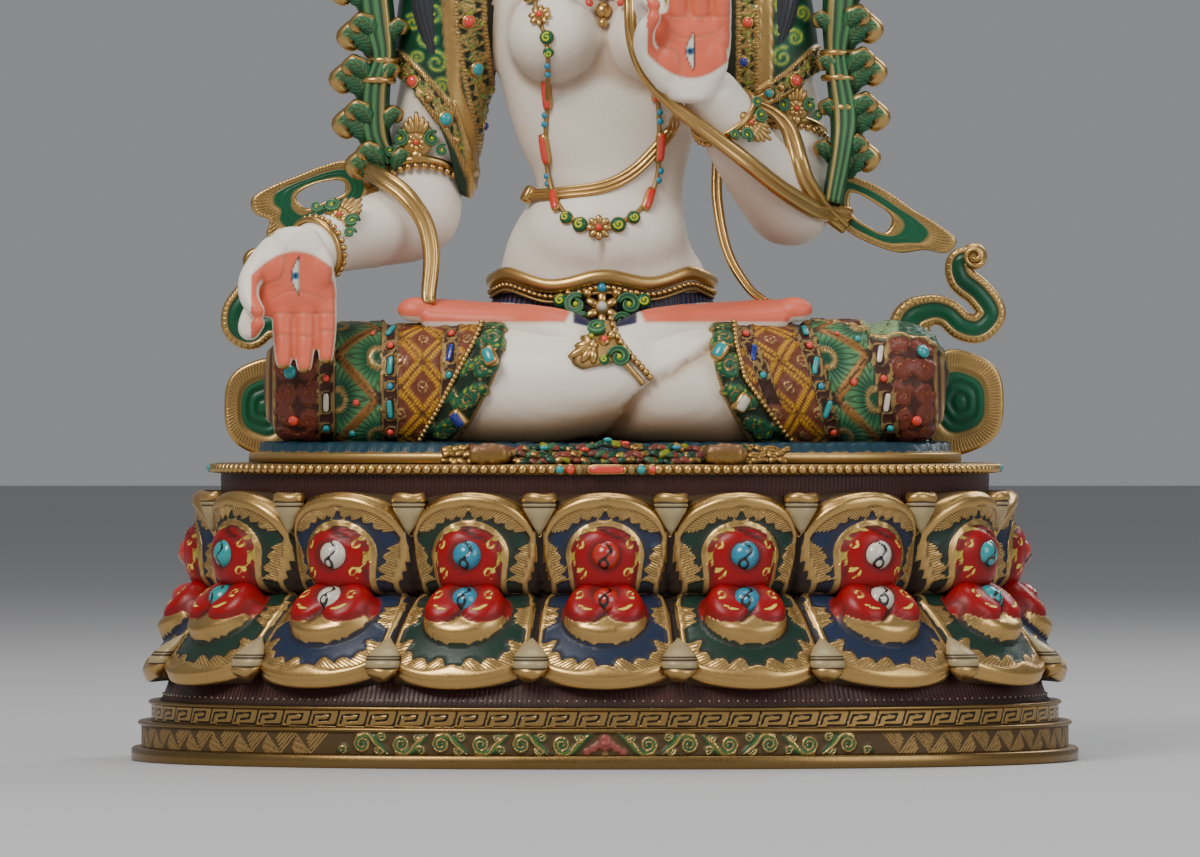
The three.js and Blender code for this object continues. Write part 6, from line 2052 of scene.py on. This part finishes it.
def make_shawl(s):
    """The shawl over one upper arm: green cloth with painted spirals, a plain gold band beside an embroidered
    border down its inner side, and an embroidered slanted edge; stones are set in both."""
    arm = LOWERED_ARM if s < 0 else RAISED_ARM
    lines = SHAWL_LINES[s]
    edge = np.array(lines["edge"])
    stations = [(x + s, y, z, r + 3.6) for x, y, z, r in [row[:4] for row in arm[:4]] if z > 145]
    stations.append((s * 69.5, 9, 131.5, 20.6))

    def to_edge(points):
        """The lower edge runs from low at the body to high outside."""
        return 131.5 - np.interp(s * points[..., 0], edge[:, 0], edge[:, 1])
    limb_skin = limb(stations, ACROSS_ARM, 130, count=116, round_end=0.02, reach=to_edge)
    form = Form(limb_skin.points, limb_skin.faces, CAST)
    x, y, z = form.points.T
    out = s * x
    around_arm = np.arctan2(out - 66, -(y - 8))
    h = np.abs(around_arm) * 20
    lean = np.interp(out, edge[:, 0], np.gradient(edge[:, 1], edge[:, 0]))
    level = (z - np.interp(out, edge[:, 0], edge[:, 1])) / np.hypot(1, lean)
    front = form.normals[:, 1] < 0.35
    work = Ornament(rows_of(out, z), tone("leaf") * 0.42)
    work.recess = 0.35 * (1 - step(level, 10, 17))
    for wide, colour, core in ((1.25, tone("leaf") * 0.95 + tone("pale") * 0.12, 0.0),
                               (0.42, tone("lime"), 0.3)):
        spirals = [coil(px, pz, r, 1.2 + k, (-1) ** k * 1.4, wide, 30)
                   for k, (px, pz, r) in enumerate(lines["spirals"])]
        work.fill(only(front, gap_to(work.points, spirals)), colour, core, 0.4)
    back = np.abs(np.mod(h + 0.3 * z, 15) - 7.5) - 0.6
    work.fill(np.where(front, 9.0, back), tone("pale") * 0.45 + tone("leaf") * 0.5, 0.2, 0.4)
    half = np.interp(out, [54, 82], [2.2, 4.8])
    embroider(work, level - half - 0.8, np.where(front, out * 1.7, 180 + y * 1.2), half, level < 14)
    plain = out - np.interp(z, *zip(*lines["plain"]))
    work.change(front & (np.abs(plain) < lines["plain half"] + 0.6), line=FAR)
    work.change(front & (np.abs(plain) < lines["plain half"]), engrave=0)
    work.fill(only(front, np.abs(plain) - lines["plain half"]), tone("gold"), 1.1, 0.4, recess=0)
    half = np.interp(z, *zip(*lines["inner half"]))
    across = out - np.interp(z, *zip(*lines["inner"]))
    embroider(work, across, z, half, front & (np.abs(across) < half + 1.6))
    work.add_dirt_and_shade(0.7 * (across < -half - 1.2) * front)
    form.wear(work)
    made = [form]
    for colour, px, pz, radius in lines["stones"]:
        place, normal = form.rest(s * px, pz, 0.4)
        made.append(beads(place, normal, radius * 1.3, "gold", CAST, 0.4, 14, 6))
        made.append(beads(place + normal * 0.5, normal, radius, colour, CAST if colour == "gold" else STONE,
                          0.7, 14, 8))
    return made


def outline_at(points, count):
    """A closed outline through flat points, count of them, evenly spaced."""
    loop = np.array(list(points) + [points[0]], float)
    padded = np.vstack([loop[-3:-1], loop, loop[1:3]])
    dense = curve_at(padded, np.linspace(0, 1, 1600))
    inside = dense[int(1600 * 2 / (len(padded) - 1)):int(1600 * (len(padded) - 3) / (len(padded) - 1)) + 1]
    return evenly(inside, run_along(inside), count, closed=True)


def framed_plate(outline, hole, y, relief, paint, engrave):
    """A plate in the frontal plane between an outline and a hole, or the outline's middle: relief and paint
    are given by the share of the way in from the rim."""
    count = 180
    outer = outline_at(outline, count)
    inner = outline_at(hole, count) if hole else outer.mean(axis=0) + (outer - outer.mean(axis=0)) * 0.03
    if hole:
        start = np.argmin(np.linalg.norm(inner - outer[0], axis=1))
        inner = np.roll(inner, -start, axis=0)
    share = np.concatenate([[0, 0.02], np.linspace(0.06, 0.96, 17), [1.0]])
    flat = outer[None] + (inner - outer)[None] * share[:, None, None]
    lift = relief(share) * (share > 0.01) * (1 if not hole else (share < 0.99))
    front = np.concatenate([flat, (y - PLATE / 2 - lift)[:, None, None] + 0 * flat[..., :1]],
                           axis=-1)[..., [0, 2, 1]]
    back_share = share[::-1][1:-1:3]
    back = outer[None] + (inner - outer)[None] * back_share[:, None, None]
    back = np.concatenate([back, y + PLATE / 2 + 0 * back[..., :1]], axis=-1)[..., [0, 2, 1]]
    along = np.arange(count) / count
    shares = np.concatenate([share, back_share])
    along_mm = run_along(outer)[-1] * np.abs(2 * along - 1) / 2
    facts = {"paint": paint(shares)[:, None], "recess": (0.5 * plateau(shares, 0.3, 0.4, 0.05))[:, None],
             "hatch": along_mm[None] / 1.5 + shares[:, None] * 3, "engrave": engrave(shares)[:, None]}
    if hole:
        return ring_skin(np.concatenate([front, back]), **facts)
    order = np.concatenate([front[::-1], back[::-1]])
    facts = {name: np.concatenate([value[:len(share)][::-1], value[len(share):][::-1]])
             for name, value in facts.items()}
    return closed_grid(order, **facts)


PLATE = 3.6
FLARES = {
    -1: ([(-104, 117), (-114, 115), (-124, 111), (-134, 107), (-142, 102), (-141, 96), (-135, 93), (-136, 87),
          (-129, 82), (-122, 87), (-112, 93), (-100, 98), (-92, 102), (-92, 112)],
         [(-106, 109), (-116, 108), (-124, 103), (-120, 98), (-112, 101), (-105, 104)], 10),
    1: ([(92, 112), (104, 109), (114, 104), (124, 97), (134, 91), (141, 85), (137, 80), (128, 81),
         (118, 80), (108, 83), (98, 88), (90, 95), (86, 102)],
        [(99, 104), (108, 100), (115, 94), (112, 88), (105, 91), (99, 96)], 0),
}
SCARF_RIBBONS = {
    -1: [(-93, 12, 107, 4.5), (-95, -8, 112, 4.5), (-90, -28, 110, 4.5), (-80, -36, 103, 4.5),
         (-72, -39, 92, 4.2), (-69, -42, 79, 4), (-70, -45, 64, 3.6), (-70, -47, 59, 3.2)],
    1: [(15, -21, 199, 3), (11, -38, 189, 3), (10, -46, 178, 3), (11, -48, 163, 3),
        (16.5, -48, 149.5, 3.2), (27, -50, 138, 3.2), (39, -52, 128.5, 3.6), (55, -49.5, 116.5, 4),
        (70, -37, 105, 4.2), (83, -21, 97.5, 4.5), (90, -9, 96, 4.5), (98, -1, 95, 4.5)],
}
ARM_RIBBON = [(62, -14, 139, 2), (68, -16, 135.5, 2.8), (73, -19, 130, 4), (75.6, -23, 123, 4.4),
              (77.4, -26, 116, 4.4), (80, -25, 109, 4.2), (84.5, -19, 101.5, 4.2), (89.5, -9, 95.5, 4),
              (96, -3, 90, 3.4)]
HANGING_RIBBON = [(45, -8, 118, 2.6), (45, -14, 100, 2.6), (49, -22, 80, 2.4), (57, -30, 66, 2.2),
                  (64, -36, 60, 2)]


# Share of the way in from a plate's rim at which its field starts
FIELD = 0.42


def gilt_ribbon(stations, thickness):
    """A gilt ribbon with two rounded flutes."""
    rows = spline(stations, 90)
    return strap(rows[:, :3], rows[:, 3] * 0.84, FRONT, thickness,
                 lambda p: 0.8 * np.abs(np.sin(np.pi * p)), 13, recess=lambda p, s: 0.6 * bell(p, 0, 0.14))


def ribs(share, width):
    """Round ribs side by side in a plate's field, which starts inside its rim."""
    return np.abs(np.sin(np.pi * (share - FIELD) / width)) * (share > FIELD)


def make_scarf(s):
    """A scarf's flared end, its rim engraved gold round a green field, and the ribbon that runs to it."""
    outline, hole, y = FLARES[s]
    colours = np.array([tone("gold"), tone("leaf") * 0.8])

    def paint(share):
        return colours[0] + (colours[1] - colours[0]) * plateau(share, FIELD, 0.84, 0.02)[:, None]

    def relief(share):
        bands = 0.8 * ribs(share, 0.15) * (share < 0.87)
        rim = 0.9 * dome(share / 0.08) * (1 - step(share, 0.36, FIELD))
        return rim + 0.7 * step(share, 0.86, 0.9) + bands
    plate = framed_plate(outline, hole, y, relief, paint, lambda share: 0.8 * plateau(share, 0.1, 0.34, 0.03))
    made = [plate, gilt_ribbon(SCARF_RIBBONS[s], 2.6)]
    return made + [gilt_ribbon(ARM_RIBBON, 2.4)] if s > 0 else made


SCROLL_DISCS = {-1: (-137.6, 18, 16.5, 19.8), 1: (143, 20, 18.5, 21.3)}
SCROLL_WAVES = {
    -1: [(-104, 30, 6), (-122, 35, 8.4), (-126, 50, 8), (-136, 52, 6.5), (-143, 47, 6), (-149, 50, 5.5),
         (-149, 57, 5.5), (-144, 64, 5.5), (-139, 71, 5), (-141, 77, 4)],
    1: [(104, 30, 6), (124, 34, 9), (123, 52, 8), (131, 57, 6.5), (138, 56, 6), (144, 51, 6),
        (151, 50, 6), (156, 56, 6), (151, 64, 6), (144, 70, 6), (143, 77, 5), (149, 79, 4)],
}


def make_knee_scroll(s):
    """A scroll at the knee: an engraved gold rim round green bands, and a wave ending in a curl."""
    x, z, half_x, half_z = SCROLL_DISCS[s]
    angle = turns(36)
    lobed = 1 + 0.03 * np.cos(5 * (angle - (0 if s > 0 else np.pi)) + np.pi)
    outline = list(zip(x + half_x * lobed * np.cos(angle), z + half_z * lobed * np.sin(angle)))

    def relief(share):
        return 1.3 * dome(share / 0.05) * (1 - step(share, 0.38, FIELD)) + 1.1 * ribs(share, 0.22)

    def paint(share):
        green = tone("leaf") * 0.45 + tone("leaf") * 0.45 * ribs(share, 0.22)[:, None]
        return np.where((share < 0.4)[:, None], tone("gold"), green)
    disc = framed_plate(outline, None, 26, relief, paint, lambda share: 0.8 * plateau(share, 0.08, 0.3, 0.02))
    rows = spline([(px, 26, pz, half) for px, pz, half in SCROLL_WAVES[s]], 110)
    wave = strap(rows[:, :3], rows[:, 3], FRONT, 4.2,
                 lambda p: 0.8 * (np.abs(p) > 0.5) + 0.7 * bell(p, 0, 0.26), 19,
                 paint=lambda p, r: np.where((np.abs(p) > 0.46)[..., None],
                                             tone("gold"), tone("leaf") * 0.75),
                 recess=lambda p, r: 0.6 * plateau(np.abs(p), 0.38, 0.52, 0.05),
                 hatch=lambda p, r: r / 1.5, engrave=lambda p, r: 0.6 * plateau(np.abs(p), 0.6, 0.9, 0.04))
    end_x, end_z = SCROLL_WAVES[s][-1][:2]
    t = np.linspace(0, 1, 30)
    turn = -s * (0.6 + TAU * 1.3 * t)
    reach = 4.4 * (1 - 0.8 * t)
    curl = rows_of(end_x + reach * np.cos(turn), 22.6 - 1.6 * t, end_z + reach * np.sin(turn))
    return [disc, wave, ball((end_x, 26, end_z), (5.4, 3.4, 5.4), 20, 10), tube(curl, 1.2 * (1 - 0.4 * t), 8)]


# Lotus stems

STEMS = {
    -1: [(-87, 1, 116, 4), (-92, -1, 128, 6), (-92, -2, 146, 6), (-89, -2, 158, 5), (-91, -2, 172, 7),
         (-93, -1, 190, 7), (-94, 0, 206, 6), (-95, 0, 214, 5)],
    1: [(91, -8, 100, 4), (95, -6, 122, 5), (96, -4, 136, 6), (93, -2, 158, 5), (94, -2, 174, 7),
        (95, -1, 190, 7), (96, 0, 206, 6), (96, 0, 214, 5)],
}


def curled_leaf(root, way, reach, curl, half, lift):
    """A leaf that leaves its root and curls over: its line turns ever faster, its half width swells then
    fades; it is green with veins, its outer edge and rolled tip gilt. way is the side it goes to."""
    t = np.linspace(0, 1, 30)
    heading = np.pi / 2 - lift - curl * t ** 2.8
    stride = reach / 29
    x = np.append(0, np.cumsum(np.cos(heading[:-1]) * stride)) * way
    z = np.append(0, np.cumsum(np.sin(heading[:-1]) * stride))
    path = np.asarray(root, float) + rows_of(x, -3.5 * np.sin(np.pi * t), z)
    swell = 0.4 + 0.85 * np.sin(np.pi * np.clip(t * 0.9 + 0.06, 0, 1)) ** 0.8
    wide = half * swell * (1 + 0.08 * np.sin(t * 34))
    gilt = step(t, 0.72, 0.8)[:, None]
    green = tone("leaf") * 0.75 + tone("pale") * 0.05

    def painted(p, s):
        outer = np.maximum(gilt, step(-way * p, 0.5, 0.62) * step(t, 0.35, 0.5)[:, None])[..., None]
        light = green + (tone("pale") * 0.8 - green) * 0.35 * plateau(-way * p, -0.2, 0.35, 0.25)[..., None]
        return light + (tone("gold") - light) * outer
    return strap(path, wide, FRONT, 2.4, lambda p: 1.2 * (1 - p ** 2) - 0.8 * bell(p, way * 0.1, 0.14), 13,
                 paint=painted, hatch=lambda p, s: s / 1.7 - np.abs(p) * 2.0,
                 engrave=lambda p, s: 0.7 * (1 - gilt) * (-way * p < 0.5),
                 recess=lambda p, s: 0.6 * bell(p, way * 0.1, 0.14) + 0.5 * (1 - step(t, 0, 0.2))[:, None])


def lotus_flower(x, y, z):
    """An open lotus: three rings of pointed petals, each a lens bent outward, round a domed gilt heart."""
    t = np.linspace(0, 1, 10)
    made = [ball((x, y, z + 17), (10, 10, 9), 24, 12)]
    for ring, (count, radius, rise, reach) in enumerate(((7, 14, 24, 12), (8, 19, 19, 15), (9, 22, 12, 17))):
        for k in range(count):
            turn = TAU * (k + ring * 0.5) / count
            out = outward(turn)
            line = (x, y, z + 2) + out * (2 + (radius - 2)
                                          * np.sin(t * 1.5)[:, None]) + np.outer(rise * t ** 1.5, UP)
            half = reach * 0.46 * np.sin(np.pi * np.clip(0.12 + t * 0.88, 0, 1)) ** 0.7
            white = tone("shell") * 1.1
            made.append(strap(line, np.maximum(half, 0.4), out, 1.4, lambda p: 0.4 * (1 - p ** 2), 7,
                              paint=lambda p, s: white + (tone("salmon") - white)
                              * step(s, 14, 26)[..., None] * 0.7,
                              hatch=lambda p, s: np.abs(p) * 4, engrave=0.35))
    return made


def make_stem(s):
    """A lotus stem beside the arm: a shaft with gold rings, leaves that curl outward and inward, a flower."""
    rows = spline(STEMS[s], 80)
    shaft = tube(rows[:, :3], rows[:, 3], 20, paint=tone("leaf") * 0.7)
    run = run_along(rows[:, :3])
    turn = np.abs(np.arange(20) / 20 * 2 - 1)
    hatch = (turn[None] * 8 + run[:, None] * 0.12).ravel()
    made = [shaft.say(hatch=np.append(hatch, [0, 0]), engrave=0.8)]
    levels = [(108, 30, 4.7), (124, 34, 4.9), (142, 33, 4.8), (159, 34, 4.9), (177, 36, 4.8)]
    for z, long, curl in levels:
        z = z + (3 if s > 0 else 0)
        x = np.interp(z, rows[:, 2], rows[:, 0])
        made.append(curled_leaf((x + s * 3.5, -5, z), s, long * 0.62, curl + 0.5, 4.4, 0.4))
        made.append(curled_leaf((x + s * 3.0, -8, z + 8), s, long * 0.4, curl + 0.3, 3.2, 0.5))
        made.append(curled_leaf((x - s * 3.0, -6, z + 6), -s, long * 0.34, curl, 2.6, 0.2))
    green, pale = tone("leaf") * 0.8 + tone("pale") * 0.05, tone("pale") * 0.7

    def painted(p, r):
        # Paler along the flutes' crests: a painted highlight.
        lit = green + (pale - green) * (0.5 * three_strands(p) ** 4)[..., None]
        return lit + (tone("gold") - lit) * (0.9 * bell(-s * p, 0.66, 0.15))[..., None]
    made.append(strap(rows[:, :3] - (0, 6.5, 0), rows[:, 3] * 0.8, FRONT, 4.0,
                      lambda p: 1.2 * three_strands(p), 13, paint=painted,
                      recess=lambda p, r: 0.8 * (1 - step(three_strands(p), 0.05, 0.45))))
    for z, r in ((149, 6.4), (157, 5.4)) if s < 0 else ((138, 7), (150, 6.2), (160, 5.6)):
        x = np.interp(z, rows[:, 2], rows[:, 0])
        hoop = turns(36)
        made.append(hoop_tube(rows_of(x + r * np.sin(hoop), -5 - r * np.cos(hoop), z), 1.5, 8))
    top = STEMS[s][-1]
    return made + lotus_flower(*top[:3])


# Seat

def make_seat():
    """The gilt plate under the figure, the blue-green cloth on it and the crumpled strip along its front."""
    share = shares_round(1.8, 4.0)
    profile = [(53, -3.9, 0), (47, -3.9, 0), (47, -0.6, 0), (47.6, 0, 0), (50.4, 0.1, 0.8), (51, 0.6, 1),
               (51.6, 3.3, 1), (53, 3.8, 1), (70, 4.0, 1)]
    inset, height, cloth = (np.array(column)[:, None] for column in zip(*profile))
    points = around(share[None], inset, height)
    folds = (cloth == 1) * (0.35 * np.sin(share * 900) + 0.3 * np.sin(share * 388 + 1))[None]
    points[..., 2] += folds
    blue = tone("lapis") * 0.12 + tone("turquoise") * 0.14 + tone("dark")
    seat = closed_grid(points, paint=np.where(cloth[..., None] > 0.9, blue, tone("gold")),
                       recess=0.15 + 0.5 * (cloth == 0.8), engrave=(cloth == 1) * 0.25,
                       hatch=np.abs(from_front(share))[None] * 500)
    return [seat, *make_strip()]


def make_strip():
    """The strip of small painted leaves before the shins, crumpled gold at its ends, with two lumpy knots."""
    k = np.arange(162)
    row, column = k % 3, k // 3
    x = -63 + 134 * (column + 0.33 * row) / 54 + 0.9 * np.sin(k * 2.7)
    y = np.array([-89.4, -88.9, -87.2])[row] + 0.0011 * x ** 2
    z = -2.7 + 2.2 * row + 0.5 * np.sin(k * 1.9) + 1.5 * bell(x, 2, 18) * (row == 2)
    palette = np.array([tone("leaf") * 0.55, tone("gold") * (0.62, 0.56, 0.45, 1), tone("leaf") * 0.3,
                        tone("lime") * 0.42, tone("brocade") * 0.9, tone("leaf") * 0.5 + tone("pale") * 0.12,
                        tone("salmon") * 0.3, tone("gold") * (0.4, 0.36, 0.3, 1)])
    paints = palette[(k * 3 + k // 7) % 8]
    paints[(x < -52) | (x > 55)] = palette[1]
    axes = turned(facing(np.tile([0.0, -0.9, 0.43], (len(k), 1))), 0.5 * np.sin(k * 1.3))
    lump = ball((0, 0, 0), (2.5, 1.0, 1.35), 8, 5, power=0.6)
    lump.say(recess=0.7 * step(np.abs(lump.points[:, 2]), 0.5, 1.2))
    made = [copies(lump, rows_of(x, y, z), axes, 0.8 + 0.35 * np.abs(np.sin(k * 2.3)), paints)]
    stone = ball((0, 0, 0), (1.9, 1.1, 0.9), 10, 7, finish=STONE)
    spots = np.array([[-24, -88.4, 2.2], [1, -87.4, 5.4], [8, -87.4, 4.0], [28, -88.4, 2.4],
                      [-8, -88.8, 1.6]])
    names = ("turquoise", "turquoise", "coral", "sky", "coral")
    made.append(copies(stone, spots, facing(np.tile([0.0, -0.9, 0.43], (5, 1))),
                       paints=np.array([tone(n) for n in names])))
    for kx in (-45.4, 47.4):
        knot = ball((0, 0, 0), (8.2, 3.0, 4.0), 36, 14, power=0.8)
        px, _, pz = knot.points.T
        knot.points *= (1 + 0.1 * np.abs(np.sin(px * 0.85 + 0.4)) + 0.05 * np.sin(pz * 2.2 + px))[:, None]
        top = step(pz, -0.4, 2.2)[:, None]
        knot.say(paint=tone("gold") * (0.6, 0.54, 0.44, 1) * (1 - top)
                 + (tone("maroon") * 1.6 + tone("gold") * 0.25) * top,
                 recess=0.6 * (1 - np.abs(np.sin(px * 0.85 + 0.4))) ** 2)
        knot.points += (kx, -89.6, -0.2)
        made.append(knot)
    return made


# Stage, in metres

SENSOR = 36
HALF_VIEW, CAMERA_X, CAMERA_AWAY, CAMERA_HEIGHT, AIM_HEIGHT = 0.2408, -0.002, 4.2, 0.148, 0.1326
LAMP_AIM = 0.2
# Name, place, extent, watts and tint of each lamp
LAMPS = (("key", (-1.1, -1.9, 1.9), 1.1, 62, (1, 0.965, 0.91)),
         ("fill", (1.7, -1.7, 1.0), 1.4, 22, (0.97, 0.98, 1)),
         ("top", (0.1, 0.3, 2.2), 1.2, 22, (1, 1, 1)), ("rim", (1.2, 1.4, 1.5), 0.9, 16, (1, 1, 1)))


def make_stage():
    """A pale floor, soft light from above and both sides, and the camera at the photograph's angle."""
    scene = bpy.context.scene
    scene.world = bpy.data.worlds.new("studio")
    scene.world.use_nodes = True
    air = scene.world.node_tree.nodes["Background"].inputs
    air["Color"].default_value, air["Strength"].default_value = (0.80, 0.81, 0.83, 1), 0.33
    mesh = bpy.data.meshes.new("floor")
    mesh.from_pydata([(-6, -8, 0), (6, -8, 0), (6, 12, 0), (-6, 12, 0)], [], [(0, 1, 2, 3)])
    paper = bpy.data.materials.new("pale floor")
    paper.use_nodes = True
    surface = paper.node_tree.nodes["Principled BSDF"].inputs
    surface["Base Color"].default_value, surface["Roughness"].default_value = (0.42, 0.42, 0.43, 1), 0.75
    mesh.materials.append(paper)
    floor = bpy.data.objects.new("floor", mesh)
    scene.collection.objects.link(floor)
    for name, place, extent, power, tint in LAMPS:
        light = bpy.data.lights.new(name, "AREA")
        light.energy, light.size, light.color = power, extent, tint
        lamp = bpy.data.objects.new(name, light)
        lamp.location = place
        away = np.array(place) - (0, 0, LAMP_AIM)
        lamp.rotation_euler = (math.atan2(math.hypot(away[0], away[1]), away[2]), 0,
                               math.atan2(away[0], -away[1]))
        scene.collection.objects.link(lamp)
    camera = bpy.data.cameras.new("camera")
    camera.sensor_width = SENSOR
    camera.lens = SENSOR / 2 / (HALF_VIEW / CAMERA_AWAY)
    camera.clip_end = 20
    view = bpy.data.objects.new("camera", camera)
    view.location = (CAMERA_X, -CAMERA_AWAY, CAMERA_HEIGHT)
    view.rotation_euler = (math.pi / 2 - math.atan2(CAMERA_HEIGHT - AIM_HEIGHT, CAMERA_AWAY), 0, 0)
    scene.collection.objects.link(view)
    scene.camera = view


# Operators

class TARA_OT_finishes(bpy.types.Operator):
    """Makes the shared finishes"""
    bl_idname = "tara.finishes"
    bl_label = "Finishes"

    def execute(self, context):
        make_finishes()
        return {"FINISHED"}


class TARA_OT_stage(bpy.types.Operator):
    """Sets the floor, the lights and the camera"""
    bl_idname = "tara.stage"
    bl_label = "Stage"

    def execute(self, context):
        make_stage()
        return {"FINISHED"}


class TARA_OT_base(bpy.types.Operator):
    """Builds the base's body, bands, petals, sepals, stones and bead rail"""
    bl_idname = "tara.base"
    bl_label = "Lotus base"

    def execute(self, context):
        build("base_body", [make_base_body(), neck_dots()], ["lotus_base"])
        for name, surfaces in (
                ("scroll_band", [make_scroll_band()]), ("fret_band", [make_fret_band()]),
                ("petals_upper", [make_petal_row(UPPER_MIDDLE, UPPER_EDGE, 23.4, draw_upper_petal, 1)]),
                ("petals_lower", [make_petal_row(LOWER_MIDDLE, LOWER_EDGE, 24.8, draw_lower_petal, -1)]),
                ("sepals", make_sepals()), ("petal_stones", make_petal_stones()),
            ("bead_rail", make_bead_rail())):
            build(name, surfaces)
        return {"FINISHED"}


class TARA_OT_figure(bpy.types.Operator):
    """Builds the figure's skin, jewellery, hands, feet, head, hair and crown"""
    bl_idname = "tara.figure"
    bl_label = "Figure"

    def execute(self, context):
        body = make_body()
        on_seat("body", [body], replaces=["tara"])
        on_seat("necklaces", make_necklaces(body))
        on_seat("belt", make_belt())
        on_seat("arm_jewels", make_arm_jewels())
        on_seat("anklet", make_anklet(body))
        on_seat("hand_lowered", [make_hand(LOWERED_HAND)])
        on_seat("hand_raised", [make_hand(RAISED_HAND)])
        on_seat("foot_left", [make_foot(-1)])
        on_seat("foot_right", [make_foot(1)])
        on_seat("head", [make_head()])
        on_seat("hair", make_hair())
        on_seat("crown_dressed", make_crown(), ["crown"])
        return {"FINISHED"}


class TARA_OT_clothing(bpy.types.Operator):
    """Builds the sleeves, the shawl, the scarves and the seat"""
    bl_idname = "tara.clothing"
    bl_label = "Clothing"

    def execute(self, context):
        for side, s in (("left", -1), ("right", 1)):
            on_seat("sleeve_" + side, make_sleeve(s))
            on_seat("shawl_" + side, make_shawl(s))
            on_seat("scarf_dressed_" + side, make_scarf(s), ["scarf_" + side])
            on_seat("scroll_dressed_" + side, make_knee_scroll(s), ["knee_scroll_" + side])
            on_seat("stem_dressed_" + side, make_stem(s), ["lotus_stem_" + side])
        on_seat("ribbon_dressed", [gilt_ribbon(HANGING_RIBBON, 2.2)], ["hanging_ribbon"])
        on_seat("seat", make_seat())
        return {"FINISHED"}


class TARA_PT_panel(bpy.types.Panel):
    """Lists the steps and the sizes and colours they use"""
    bl_idname = "TARA_PT_panel"
    bl_label = "Seated Tara"
    bl_space_type = "VIEW_3D"
    bl_region_type = "UI"
    bl_category = "Tara"

    def draw(self, context):
        for operator in OPERATORS:
            self.layout.operator(operator.bl_idname)
        for group in (context.scene.tara_sizes, context.scene.tara_colours):
            for name in group.bl_rna.properties.keys():
                if name not in ("rna_type", "name"):
                    self.layout.prop(group, name)


OPERATORS = (TARA_OT_finishes, TARA_OT_stage, TARA_OT_base, TARA_OT_figure, TARA_OT_clothing)
CLASSES = (TaraColours, TaraSizes) + OPERATORS + (TARA_PT_panel,)


def register():
    """Registers the classes and hangs the sizes and colours on the scene."""
    for item in CLASSES:
        bpy.utils.register_class(item)
    bpy.types.Scene.tara_colours = bpy.props.PointerProperty(type=TaraColours)
    bpy.types.Scene.tara_sizes = bpy.props.PointerProperty(type=TaraSizes)


def unregister():
    """Takes away what register has made."""
    del bpy.types.Scene.tara_sizes
    del bpy.types.Scene.tara_colours
    for item in reversed(CLASSES):
        bpy.utils.unregister_class(item)


def main():
    """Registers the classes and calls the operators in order."""
    register()
    for operator in OPERATORS:
        group, name = operator.bl_idname.split(".")
        getattr(getattr(bpy.ops, group), name)()


if __name__ == "__main__":
    main()
